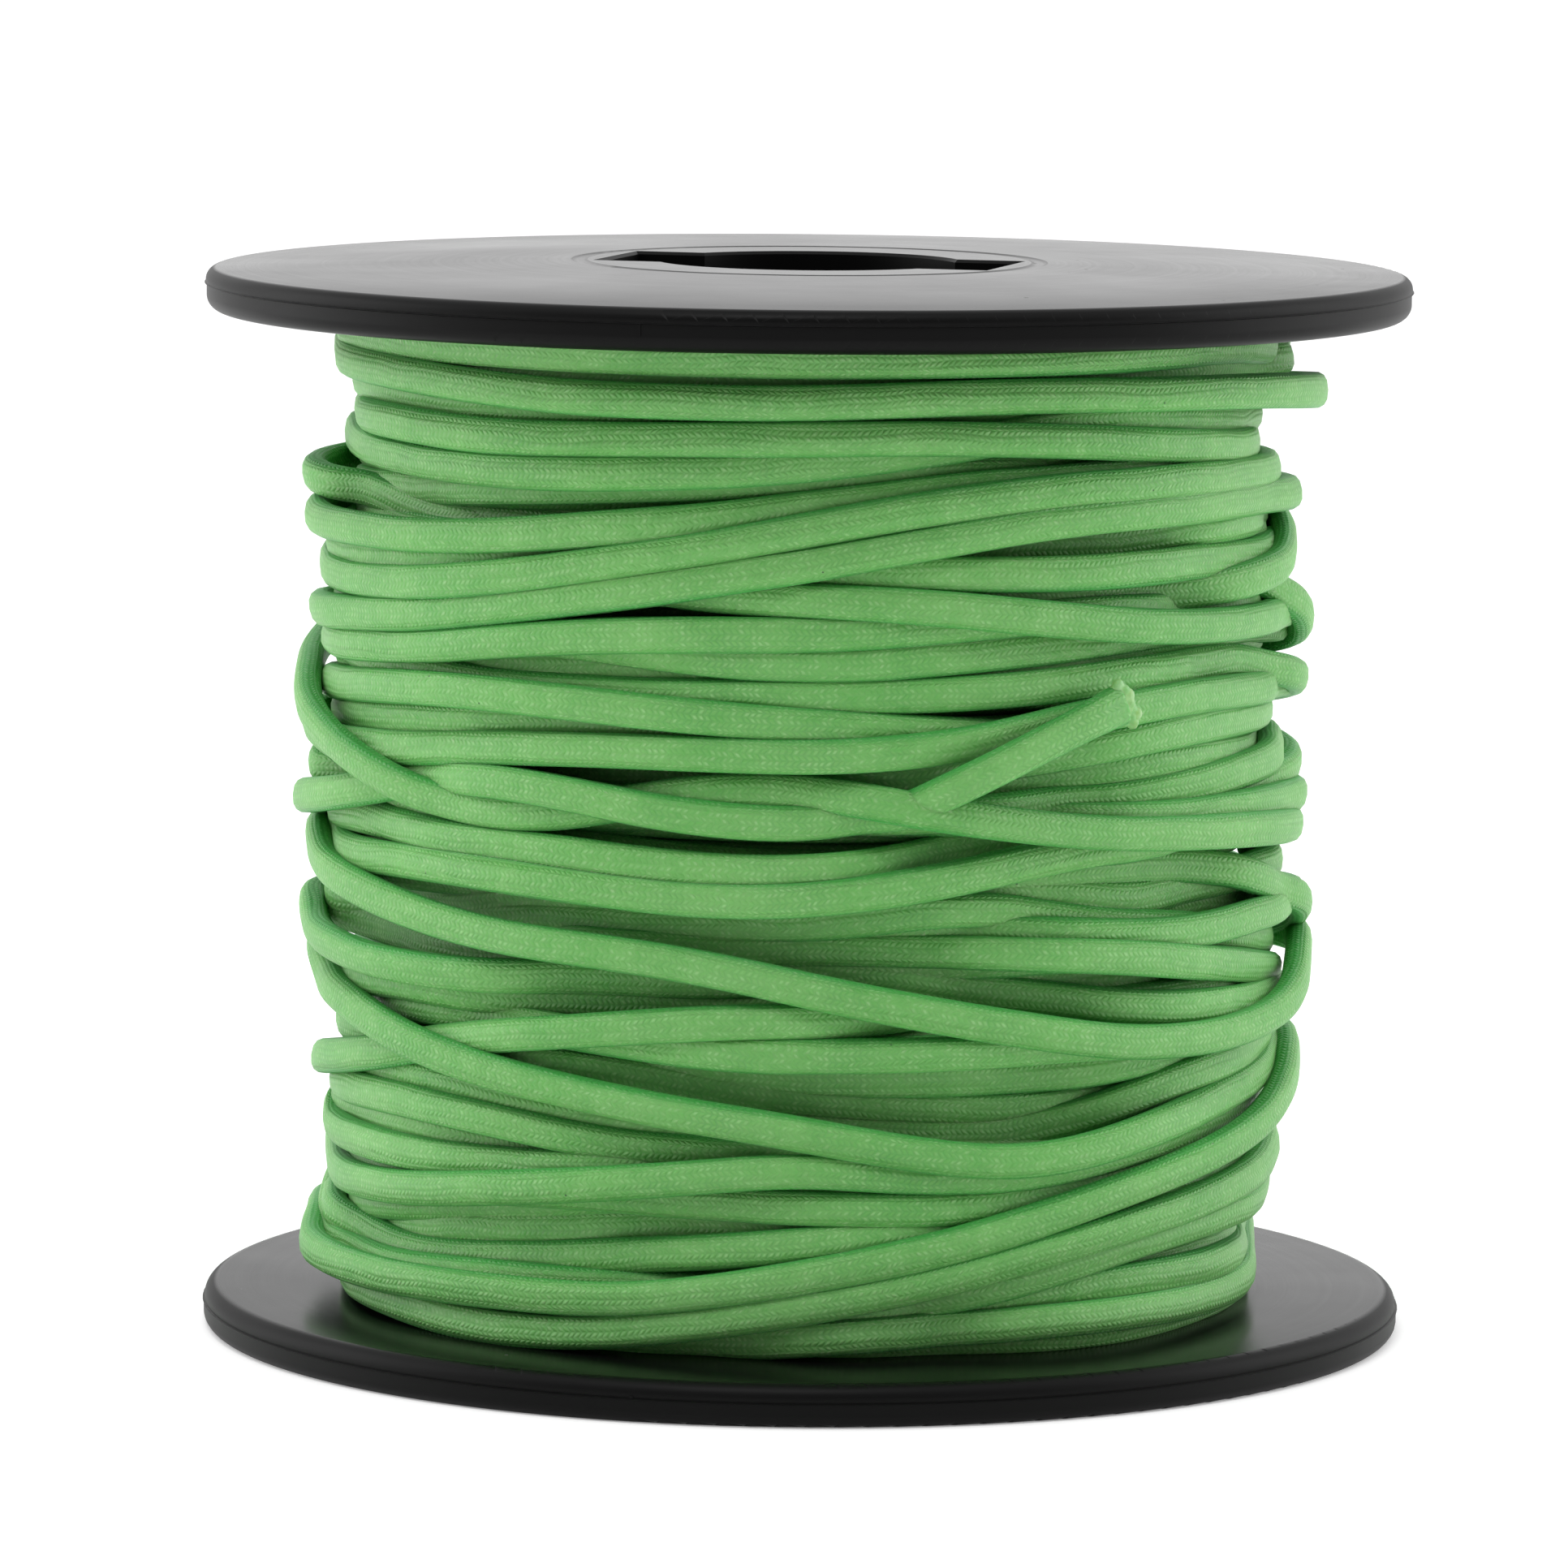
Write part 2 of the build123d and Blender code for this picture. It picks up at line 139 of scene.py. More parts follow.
(21.66,18.17,54.60),(19.37,20.40,54.61),(16.91,22.44,54.75),(14.27,24.22,55.00),(11.51,25.82,55.30),(8.50,26.85,55.53),(5.39,27.58,55.59),
(2.23,28.07,55.44),(-0.95,28.17,55.13),(-4.11,27.86,54.78),(-7.22,27.15,54.49),(-10.26,26.16,54.35),(-13.18,24.86,54.33),(-15.93,23.23,54.36),
(-18.46,21.27,54.35),(-20.72,19.02,54.23),(-22.76,16.56,54.04),(-24.49,13.88,53.86),(-26.04,11.09,53.78),(-26.98,8.03,53.84),(-27.68,4.92,54.02),
(-28.12,1.76,54.25),(-28.13,-1.43,54.41),(-28.17,-4.63,54.44),(-27.93,-7.81,54.43),(-27.04,-10.88,54.43),(-25.77,-13.81,54.42),(-24.08,-16.53,54.41),
(-22.21,-19.12,54.39),(-20.04,-21.47,54.37),(-17.62,-23.57,54.35),(-14.99,-25.38,54.32),(-12.16,-26.86,54.29),(-9.14,-27.90,54.24),
(-6.03,-28.61,54.18),(-2.97,-29.52,54.10),(0.22,-29.66,54.00),(3.37,-30.06,53.88),(6.55,-30.20,53.75),(9.68,-29.58,53.58),(12.75,-28.71,53.40),
(15.72,-27.52,53.27),(18.52,-25.98,53.17),(21.10,-24.10,53.10),(23.41,-21.88,53.05),(25.38,-19.37,53.03),(26.96,-16.59,53.03),(28.10,-13.61,53.01),
(28.75,-10.48,52.97),(29.71,-7.43,52.92),(30.51,-4.34,52.84),(30.83,-1.16,52.76),(30.48,2.01,52.73),(30.05,5.18,52.78),(30.40,8.35,52.84),
(28.95,10.98,52.88),(25.98,12.14,52.94),(24.01,14.60,53.02),(22.45,17.39,53.00),(20.30,19.71,52.86),(17.82,21.73,52.64),(15.27,23.64,52.42),
(12.47,25.18,52.31),(9.53,26.43,52.40),(6.47,27.34,52.66),(3.34,27.90,53.00),(0.18,28.32,53.29),(-2.99,28.64,53.42),(-6.16,28.24,53.36),
(-9.20,27.29,53.14),(-12.14,26.06,52.87),(-14.98,24.60,52.64),(-17.80,23.08,52.52),(-20.39,21.23,52.49),(-22.59,18.91,52.49),(-24.40,16.27,52.46),
(-25.99,13.50,52.36),(-27.32,10.59,52.21),(-27.75,7.45,52.08),(-27.93,4.26,52.03),(-28.13,1.08,52.10),(-28.25,-2.11,52.25),(-29.59,-4.98,52.39),
(-29.79,-8.14,52.42),(-29.02,-11.24,52.46),(-27.80,-14.19,52.50),(-26.26,-16.99,52.55),(-24.51,-19.67,52.59),(-22.46,-22.12,52.67),
(-20.16,-24.34,52.80),(-17.66,-26.33,53.03),(-14.92,-27.95,53.29),(-11.96,-29.09,53.59),(-8.81,-29.38,53.94),(-5.74,-30.00,54.38),(-2.71,-30.80,54.86),
(0.44,-30.54,55.30),(3.47,-29.61,55.72),(6.36,-28.34,56.14),(9.31,-27.15,56.51),(12.21,-25.84,56.80),(14.96,-24.22,57.02),(17.48,-22.26,57.20),
(19.74,-20.00,57.34),(21.93,-17.67,57.44),(23.80,-15.08,57.53),(25.37,-12.30,57.59),(26.52,-9.31,57.64),(27.40,-6.24,57.68),(27.99,-3.10,57.70),
(28.16,0.10,57.73),(27.95,3.29,57.74),(27.37,6.43,57.76),(26.44,9.49,57.77),(25.20,12.43,57.99),(23.63,15.20,58.20),(21.79,17.82,58.20),
(19.65,20.18,58.01),(17.24,22.25,57.64),(14.71,24.15,57.18),(12.20,26.08,56.72),(9.46,27.69,56.37),(6.50,28.88,56.16),(3.36,29.44,56.13),
(0.20,29.09,56.25),(-2.88,28.30,56.47),(-6.03,28.01,56.74),(-8.97,26.78,56.99),(-11.91,25.55,57.21),(-14.71,24.00,57.40),(-17.32,22.17,57.58),
(-19.72,20.06,57.76),(-21.87,17.70,57.95),(-23.73,15.11,58.11),(-25.31,12.33,58.20),(-26.59,9.40,58.18),(-27.42,6.32,58.01),(-28.01,3.18,57.74),
(-28.25,0.03,57.42),(-28.15,-3.16,57.17),(-27.98,-6.33,57.10),(-26.97,-9.36,57.08),(-25.76,-12.32,57.07),(-24.16,-15.09,57.06),(-22.21,-17.61,57.07),
(-19.90,-19.83,57.16),(-17.56,-22.01,57.27),(-15.38,-24.35,57.38),(-12.71,-26.08,57.50),(-9.75,-27.27,57.63),(-6.64,-28.02,57.74),(-3.46,-28.37,57.84),
(-0.26,-28.44,57.85),(2.93,-28.30,57.81),(6.11,-27.95,57.70),(9.23,-27.28,57.58),(12.23,-26.18,57.46),(15.11,-24.80,57.33),(17.70,-22.92,57.21),
(19.78,-20.51,57.08),(22.04,-18.25,56.92),(23.86,-15.64,56.67),(25.36,-12.82,56.42),(26.44,-9.83,56.16),(27.33,-6.77,55.90),(27.93,-3.64,55.64),
(28.13,-0.45,55.38),(28.76,2.67,55.13),(28.50,5.78,54.88),(26.87,8.49,54.66),(25.84,11.51,54.45),(24.51,14.40,54.19),(23.16,17.30,54.03),
(21.32,19.91,53.96),(19.64,22.63,53.95),(17.18,24.65,53.99),(14.41,26.24,54.03),(11.50,27.59,54.06),(8.50,28.69,54.05),(5.40,29.46,54.03),
(2.23,29.89,54.01),(-0.97,29.98,54.02),(-4.16,29.80,54.08),(-7.31,29.29,54.22),(-10.39,28.44,54.42),(-13.36,27.28,54.64),(-16.14,25.72,54.85),
(-18.70,23.80,55.00),(-21.03,21.62,55.07),(-23.18,19.24,55.04),(-25.17,16.74,54.93),(-26.97,14.11,54.77),(-28.17,11.15,54.62),(-28.68,8.01,54.50),
(-28.46,4.82,54.44),(-28.69,1.63,54.45),(-28.70,-1.57,54.51),(-29.81,-4.52,54.56),(-30.91,-7.50,54.51),(-30.66,-10.65,54.43),(-29.63,-13.68,54.33),
(-28.21,-16.54,54.28),(-26.44,-19.21,54.31),(-24.42,-21.69,54.38),(-22.16,-23.95,54.42),(-19.70,-25.99,54.48),(-17.07,-27.80,54.62),
(-14.25,-29.30,54.84),(-11.28,-30.46,55.12),(-8.22,-31.31,55.44),(-5.09,-31.85,55.79),(-1.91,-32.06,56.11),(1.26,-31.83,56.42),(4.40,-31.33,56.83),
(7.48,-30.61,57.29),(10.49,-29.62,57.70),(13.40,-28.34,58.08),(16.15,-26.75,58.45),(18.75,-24.90,58.71),(21.14,-22.79,58.81),(23.32,-20.44,58.89),
(25.23,-17.88,58.97),(26.83,-15.11,59.04),(28.04,-12.16,59.11),(28.76,-9.04,59.16),(29.11,-5.86,59.20),(29.02,-2.67,59.23),(28.63,0.51,59.25),
(28.13,3.67,59.27),(27.41,6.78,59.29),(26.37,9.81,59.30),(25.07,12.73,59.24),(23.64,15.59,59.25),(21.84,18.22,59.36),(19.49,20.39,59.52),
(17.03,22.42,59.69),(14.38,24.21,59.82),(11.55,25.68,59.87),(8.56,26.82,59.83),(5.46,27.59,59.70),(2.30,28.07,59.51),(-0.89,28.18,59.31),
(-4.07,27.91,59.15),(-7.24,27.48,59.06),(-10.41,27.03,59.05),(-13.47,26.12,59.09),(-16.30,24.64,59.16),(-19.24,23.41,59.24),(-22.03,21.88,59.28),
(-24.32,19.65,59.29),(-26.25,17.10,59.27),(-27.87,14.35,59.22),(-29.24,11.46,59.17),(-30.25,8.43,59.14),(-30.66,5.26,59.14),(-31.10,2.09,59.18),
(-30.95,-1.10,59.24),(-30.05,-4.17,59.29),(-29.03,-7.20,59.30),(-27.98,-10.22,59.30),(-26.70,-13.15,59.29),(-25.29,-16.02,59.28),(-23.71,-18.79,59.24),
(-21.73,-21.30,59.18),(-19.62,-23.71,59.14),(-17.34,-25.95,59.11),(-14.83,-27.93,59.12),(-12.08,-29.57,59.15),(-9.14,-30.81,59.18),
(-6.06,-31.65,59.29),(-2.90,-32.11,59.45),(0.30,-32.20,59.60),(3.47,-31.90,59.79),(6.59,-31.24,60.03),(9.61,-30.21,60.33),(12.48,-28.84,60.69),
(15.21,-27.22,61.07),(17.80,-25.40,61.49),(20.27,-23.43,61.99),(22.61,-21.29,62.41),(24.69,-18.87,62.58),(26.36,-16.14,62.53),(27.64,-13.22,62.34),
(28.63,-10.18,62.13),(29.27,-7.06,61.93),(29.55,-3.88,61.77),(29.40,-0.68,61.65),(29.22,2.51,61.55),(28.73,5.66,61.44),(27.82,8.73,61.34),
(26.66,11.71,61.28),(25.32,14.61,61.23),(23.96,17.50,61.16),(22.91,20.52,61.14),(21.09,23.14,61.21),(18.80,25.37,61.34),(16.24,27.27,61.49),
(13.46,28.85,61.60),(10.51,30.09,61.60),(7.44,30.99,61.50),(4.30,31.59,61.32),(1.12,31.87,61.15),(-2.07,31.81,61.06),(-5.24,31.40,61.11),
(-8.35,30.65,61.30),(-11.35,29.58,61.56),(-14.25,28.25,61.83),(-17.02,26.67,62.01),(-19.64,24.84,62.07),(-22.05,22.73,62.04),(-24.20,20.37,61.97),
(-26.08,17.78,61.93),(-27.72,15.03,62.00),(-29.06,12.14,62.17),(-30.05,9.11,62.41),(-30.64,5.97,62.65),(-30.78,2.79,62.85),(-30.40,-0.38,62.96),
(-29.35,-3.40,63.00),(-28.30,-6.41,63.04),(-27.75,-9.56,63.14),(-26.69,-12.58,63.24),(-25.31,-15.46,63.34),(-23.81,-18.28,63.41),(-21.91,-20.85,63.37),
(-19.77,-23.23,63.32),(-17.40,-25.37,63.32),(-14.77,-27.20,63.32),(-11.93,-28.66,63.35),(-8.92,-29.74,63.41),(-5.81,-30.50,63.48),(-2.65,-30.92,63.55),
(0.55,-31.02,63.64),(3.74,-30.78,63.74),(6.88,-30.21,63.84),(9.96,-29.32,63.90),(12.91,-28.09,63.91),(15.69,-26.52,63.92),(18.24,-24.59,63.89),
(20.44,-22.28,63.75),(22.42,-19.76,63.60),(24.21,-17.13,63.44),(25.70,-14.30,63.27),(26.85,-11.32,63.05),(27.67,-8.24,62.82),(28.12,-5.08,62.58),
(28.17,-1.89,62.34),(28.72,1.21,62.11),(28.19,4.08,61.89),(27.25,7.11,61.70),(26.26,10.14,61.55),(24.91,13.04,61.54),(23.38,15.85,61.62),
(22.09,18.77,61.70),(20.10,21.26,61.69),(17.56,23.19,61.58),(14.86,24.90,61.44),(12.07,26.46,61.39),(9.13,27.73,61.49),(6.10,28.72,61.74),
(3.00,29.44,62.03),(-0.16,29.87,62.25),(-3.36,29.91,62.32),(-6.52,29.47,62.28),(-9.58,28.53,62.23),(-12.49,27.20,62.29),(-15.22,25.57,62.56),
(-17.76,23.68,63.01),(-20.15,21.62,63.54),(-22.39,19.38,64.01),(-24.14,16.73,64.33),(-25.52,13.85,64.49),(-26.71,10.88,64.56),(-27.64,7.83,64.64),
(-28.27,4.69,64.79),(-28.56,1.51,64.98),(-28.53,-1.68,65.10),(-28.22,-4.86,65.07),(-28.26,-8.04,65.14),(-27.70,-11.13,65.22),(-26.07,-13.87,65.30),
(-24.36,-16.57,65.38),(-22.57,-19.22,65.46),(-20.54,-21.70,65.50),(-18.31,-23.98,65.48),(-15.86,-26.04,65.44),(-13.16,-27.75,65.42),
(-10.23,-29.02,65.42),(-7.14,-29.88,65.42),(-3.98,-30.34,65.40),(-0.78,-30.45,65.39),(2.41,-30.24,65.40),(5.57,-29.73,65.44),(8.66,-28.93,65.49),
(11.68,-27.86,65.56),(14.55,-26.47,65.65),(17.23,-24.73,65.72),(19.63,-22.62,65.71),(21.79,-20.25,65.66),(23.75,-17.73,65.57),(25.44,-15.01,65.47),
(27.22,-12.36,65.38),(28.57,-9.47,65.30),(29.31,-6.36,65.26),(29.67,-3.18,65.25),(29.82,0.01,65.24),(31.03,2.95,65.24),(30.89,6.02,65.23),
(28.75,8.37,65.23),(27.47,11.30,65.22),(25.86,14.05,65.09),(24.04,16.68,65.05),(22.44,19.45,65.04),(20.32,21.84,65.04),(17.89,23.91,65.03),
(15.23,25.70,65.04),(12.41,27.19,65.06),(9.43,28.36,65.14),(6.35,29.19,65.27),(3.20,29.72,65.48),(0.02,29.94,65.75),(-3.17,29.87,66.04),
(-6.33,29.46,66.31),(-9.42,28.69,66.51),(-12.42,27.58,66.61),(-15.27,26.14,66.59),(-17.96,24.40,66.45),(-20.43,22.39,66.22),(-22.66,20.12,65.94),
(-24.65,17.62,65.68),(-26.31,14.90,65.47),(-27.65,12.00,65.34),(-28.69,8.97,65.32),(-29.43,5.86,65.40),(-29.84,2.69,65.56),(-29.89,-0.50,65.78),
(-29.57,-3.67,66.06),(-29.05,-6.81,66.29),(-28.74,-9.97,66.49),(-27.61,-12.96,66.70),(-26.20,-15.82,66.80),(-24.49,-18.53,66.80),(-22.54,-21.06,66.80),
(-20.40,-23.43,66.80),(-18.07,-25.62,66.80),(-15.54,-27.58,66.80),(-12.80,-29.23,66.80),(-9.87,-30.51,66.80),(-6.80,-31.42,66.80),(-3.65,-31.97,66.80),
(-0.46,-32.19,66.80),(2.74,-32.08,66.80),(5.91,-31.65,66.80),(9.02,-30.91,66.80),(12.04,-29.86,66.80),(14.94,-28.51,66.80),(17.69,-26.88,66.80),
(20.25,-24.96,66.80),(22.59,-22.78,66.80),(24.66,-20.34,66.80),(26.40,-17.66,66.80),(27.78,-14.78,66.80),(28.85,-11.76,66.80),(29.68,-8.68,66.80),
(30.35,-5.55,66.68),(30.78,-2.39,66.44),(30.79,0.79,66.19),(30.08,3.90,65.95),(30.08,7.05,65.72),(29.57,10.15,65.51),(28.30,13.07,65.25),
(26.73,15.84,64.93),(24.99,18.52,64.76),(23.09,21.09,64.76),(20.88,23.40,64.88),(18.42,25.43,65.06),(15.74,27.17,65.25),(12.90,28.63,65.37),
(9.92,29.80,65.40),(6.84,30.66,65.35),(3.69,31.20,65.27),(0.50,31.39,65.20),(-2.70,31.25,65.18),(-5.86,30.79,65.22),(-8.96,30.00,65.28),
(-11.97,28.91,65.32),(-14.85,27.54,65.29),(-17.59,25.88,65.17),(-20.14,23.97,64.97),(-22.50,21.82,64.75),(-24.65,19.46,64.58),(-26.56,16.89,64.52),
(-28.17,14.13,64.59),(-29.46,11.21,64.77),(-30.44,8.18,65.00),(-31.09,5.05,65.21),(-31.38,1.87,65.32),(-31.29,-1.33,65.30),(-30.69,-4.46,65.12),
(-29.71,-7.50,65.01),(-28.67,-10.53,64.91),(-27.64,-13.56,64.82),(-26.23,-16.42,64.82),(-24.49,-19.11,64.80),(-22.54,-21.64,64.75),
(-20.40,-24.02,64.68),(-18.07,-26.20,64.60),(-15.51,-28.12,64.50),(-12.73,-29.70,64.37),(-9.78,-30.93,64.25),(-6.71,-31.82,64.15),(-3.56,-32.36,64.11),
(-0.37,-32.57,64.10),(2.83,-32.46,64.10),(6.00,-32.02,64.13),(9.10,-31.27,64.19),(12.12,-30.20,64.28),(15.01,-28.83,64.38),(17.74,-27.18,64.46),
(20.30,-25.26,64.49),(22.66,-23.10,64.47),(24.82,-20.74,64.40),(26.79,-18.22,64.31),(28.57,-15.56,64.23),(30.15,-12.78,64.15),(31.52,-9.89,64.05),
(32.60,-6.89,63.92),(33.29,-3.77,63.73),(33.63,-0.60,63.52),(33.63,2.59,63.31),(33.21,5.75,63.10),(31.72,8.55,62.90),(29.30,10.60,62.75),
(26.55,12.22,62.74),(24.88,14.90,62.90),(23.51,17.79,62.94),(22.14,20.67,62.84),(19.97,22.99,62.58),(17.40,24.87,62.21),(14.70,26.53,61.80),
(11.88,27.98,61.43),(8.91,29.13,61.13),(5.82,29.92,60.90),(2.66,30.37,60.72),(-0.54,30.48,60.57),(-3.72,30.26,60.44),(-6.88,29.74,60.37),
(-9.95,28.86,60.41),(-12.90,27.64,60.60),(-15.67,26.07,60.95),(-18.21,24.19,61.40),(-20.57,22.08,61.87),(-22.75,19.77,62.24),(-24.68,17.23,62.41),
(-26.31,14.48,62.33),(-27.65,11.59,62.04),(-28.80,8.63,61.63),(-29.77,5.61,61.25),(-30.34,2.48,60.97),(-30.05,-0.69,60.88),(-29.21,-3.78,61.00),
(-28.45,-6.88,61.13),(-27.48,-9.93,61.20),(-26.47,-12.97,61.29),(-25.46,-16.00,61.39),(-24.28,-18.97,61.48),(-22.67,-21.73,61.54),
(-20.61,-24.17,61.53),(-18.22,-26.29,61.46),(-15.57,-28.09,61.36),(-12.74,-29.57,61.32),(-9.76,-30.74,61.36),(-6.68,-31.59,61.45),(-3.53,-32.13,61.56),
(-0.34,-32.36,61.65),(2.85,-32.28,61.75),(6.03,-31.89,61.84),(9.15,-31.19,61.91),(12.18,-30.18,61.95),(15.09,-28.86,61.94),(17.86,-27.26,61.87),
(20.43,-25.36,61.76),(22.76,-23.18,61.60),(24.78,-20.71,61.38),(26.47,-18.01,61.14),(27.82,-15.12,60.89),(28.91,-12.12,60.63),(29.75,-9.05,60.37),
(30.21,-5.89,60.14),(30.25,-2.70,60.01),(29.73,0.46,59.90),(29.02,3.57,59.80),(28.31,6.69,59.69),(27.51,9.78,59.59),(25.96,12.56,59.36),
(24.60,15.44,59.10),(22.72,18.02,58.93),(20.46,20.29,58.89),(18.06,22.39,58.98),(15.69,24.53,59.20),(13.00,26.21,59.51),(10.04,27.38,59.84),
(6.99,28.30,60.13),(3.85,28.90,60.28),(0.68,29.28,60.24),(-2.50,29.11,59.98),(-5.65,28.83,59.51),(-8.78,28.49,58.90),(-11.84,27.90,58.24),
(-14.61,26.45,57.61),(-16.81,24.20,57.08),(-18.94,21.84,56.72),(-21.03,19.42,56.59),(-23.11,17.00,56.70),(-25.16,14.55,57.00),(-27.38,12.28,57.37),
(-28.97,9.58,57.75),(-29.37,6.44,58.07),(-28.84,3.29,58.28),(-28.81,0.10,58.36),(-28.79,-3.10,58.29),(-28.32,-6.24,58.22),(-27.41,-9.31,58.34),
(-26.17,-12.25,58.48),(-24.45,-14.94,58.62),(-22.74,-17.64,58.76),(-20.55,-19.96,58.90),(-18.20,-22.13,59.03),(-15.91,-24.36,59.17),
(-13.36,-26.28,59.24),(-10.50,-27.69,59.21),(-7.46,-28.69,59.12),(-4.33,-29.29,58.89),(-1.15,-29.53,58.59),(2.03,-29.48,58.27),(5.19,-29.10,57.98),
(8.34,-28.59,57.75),(11.39,-27.64,57.53),(14.33,-26.41,57.29),(17.06,-24.79,57.00),(18.89,-22.22,56.68),(20.81,-19.69,56.35),(22.80,-17.20,56.12),
(24.49,-14.49,55.95),(25.93,-11.63,55.78),(27.47,-8.84,55.60),(28.39,-5.79,55.43),(28.84,-2.63,55.25),(28.93,0.57,55.07),(29.40,3.72,54.90),
(28.19,6.58,54.73),(27.02,9.54,54.58),(26.51,12.64,54.67),(26.67,15.82,54.85),(25.53,18.79,54.97),(23.70,21.41,55.00),(21.52,23.74,54.91),
(19.09,25.81,54.70),(16.46,27.61,54.41),(13.68,29.16,54.08),(10.77,30.44,53.77),(7.73,31.40,53.50),(4.60,32.03,53.29),(1.42,32.35,53.12),
(-1.77,32.36,52.97),(-4.95,32.06,52.80),(-8.08,31.43,52.60),(-11.12,30.46,52.35),(-14.01,29.12,52.07),(-16.72,27.45,51.82),(-19.34,25.62,51.64),
(-21.88,23.67,51.59),(-24.12,21.40,51.67),(-26.03,18.84,51.88),(-27.70,16.13,52.18),(-29.21,13.32,52.51),(-30.39,10.37,52.83),(-31.12,7.27,53.07),
(-31.48,4.10,53.23),(-31.34,0.91,53.28),(-30.12,-2.01,53.26),(-28.01,-4.39,53.17),(-27.17,-7.46,53.15),(-26.08,-10.47,53.15),(-24.79,-13.39,53.15),
(-23.11,-16.11,53.15),(-21.12,-18.62,53.15),(-18.87,-20.89,53.16),(-16.43,-22.96,53.16),(-13.78,-24.75,53.16),(-10.88,-26.08,53.16),
(-7.86,-27.13,53.16),(-4.81,-28.11,53.17),(-1.71,-28.88,53.17),(1.49,-28.98,53.18),(4.68,-28.78,53.19),(7.76,-27.94,53.20),(10.76,-26.82,53.22),
(13.61,-25.38,53.24),(16.07,-23.37,53.26),(18.46,-21.25,53.29),(20.84,-19.10,53.33),(23.02,-16.78,53.40),(24.76,-14.10,53.48),(26.26,-11.28,53.69),
(28.01,-8.61,53.84),(29.02,-5.59,53.86),(29.30,-2.41,53.83),(29.25,0.79,53.79),(29.57,3.97,53.78),(28.63,6.97,53.77),(27.19,9.82,53.77),
(25.71,12.65,53.71),(24.84,15.72,53.56),(24.21,18.85,53.41),(22.63,21.61,53.26),(20.40,23.88,53.16),(17.80,25.74,53.09),(14.99,27.27,53.06),
(12.06,28.55,53.03),(9.03,29.60,53.00),(5.92,30.34,52.95),(2.76,30.78,52.87),(-0.44,30.92,52.79),(-3.63,30.73,52.74),(-6.79,30.22,52.74),
(-9.88,29.40,52.83),(-12.88,28.31,53.01),(-15.74,26.91,53.27),(-18.40,25.16,53.59),(-20.88,23.17,53.92),(-23.20,20.98,54.22),(-25.35,18.62,54.44),
(-27.35,16.13,54.56),(-28.93,13.36,54.57),(-29.75,10.28,54.48),(-29.69,7.11,54.33),(-28.84,4.05,54.15),(-28.84,0.86,53.93),(-28.56,-2.32,53.72),
(-28.98,-5.48,53.56),(-28.71,-8.66,53.54),(-27.75,-11.71,53.51),(-26.36,-14.59,53.48),(-24.71,-17.33,53.44),(-22.80,-19.89,53.38),
(-20.59,-22.20,53.31),(-18.15,-24.26,53.23),(-15.49,-26.04,53.12),(-12.63,-27.46,52.98),(-9.61,-28.48,52.80),(-6.76,-29.90,52.58),(-3.68,-30.69,52.34),
(-0.51,-30.97,52.04),(2.68,-31.18,51.78),(5.87,-31.16,51.67),(9.04,-30.74,51.62),(12.13,-29.91,51.49),(15.10,-28.74,51.29),(17.91,-27.25,51.00),
(20.52,-25.44,50.62),(22.87,-23.31,50.24),(24.94,-20.90,49.86),(26.73,-18.27,49.52),(28.21,-15.45,49.22),(29.38,-12.48,49.00),(30.28,-9.42,48.84),
(30.99,-6.30,48.73),(31.44,-3.14,48.63),(31.55,0.06,48.55),(31.25,3.24,48.47),(31.11,6.40,48.40),(31.44,9.51,48.34),(29.87,12.29,48.29),
(28.21,15.02,48.24),(26.53,17.74,48.13),(24.68,20.35,47.97),(22.63,22.80,47.83),(20.33,25.01,47.75),(17.77,26.93,47.76),(14.99,28.50,47.87),
(12.04,29.73,48.02),(9.00,30.72,48.17),(5.89,31.45,48.25),(2.72,31.88,48.23),(-0.48,32.01,48.12),(-3.67,31.84,47.99),(-6.83,31.35,47.90),
(-9.91,30.48,47.91),(-12.92,29.44,48.05),(-15.82,28.11,48.29),(-18.54,26.44,48.56),(-21.06,24.49,48.81),(-23.39,22.30,48.95),(-25.49,19.89,48.98),
(-27.32,17.27,48.90),(-28.81,14.44,48.77),(-29.98,11.47,48.65),(-30.88,8.40,48.59),(-31.50,5.26,48.59),(-31.72,2.07,48.62),(-31.29,-1.09,48.65),
(-29.83,-3.92,48.62),(-29.37,-7.01,48.59),(-28.91,-10.16,48.58),(-27.84,-13.18,48.58),(-26.45,-16.05,48.57),(-24.57,-18.64,48.56),
(-22.46,-21.04,48.55),(-20.25,-23.35,48.53),(-17.74,-25.34,48.51),(-14.98,-26.95,48.49),(-12.09,-28.31,48.46),(-9.11,-29.47,48.42),
(-6.06,-30.43,48.32),(-2.93,-31.10,48.14),(0.24,-31.46,47.91),(3.42,-31.43,47.70),(6.58,-30.94,47.57),(9.68,-30.15,47.52),(12.64,-28.96,47.60),
(15.39,-27.33,47.78),(17.96,-25.44,47.95),(20.36,-23.32,48.11),(22.51,-20.96,48.26),(24.25,-18.29,48.43),(25.55,-15.37,48.49),(26.24,-12.25,48.45),
(26.90,-9.17,48.33),(28.52,-6.42,48.15),(29.32,-3.34,47.93),(29.41,-0.15,47.72),(29.33,3.04,47.51),(29.64,6.14,47.31),(30.45,9.12,47.15),
(28.10,11.11,47.02),(25.34,12.59,46.98),(23.68,15.32,46.98),(21.84,17.93,47.00),(19.99,20.54,46.99),(17.70,22.77,46.90),(15.09,24.60,46.70),
(12.24,26.04,46.44),(9.22,27.06,46.18),(6.12,27.79,45.97),(2.95,28.26,45.89),(-0.24,28.44,45.95),(-3.43,28.30,46.10),(-6.59,27.87,46.27),
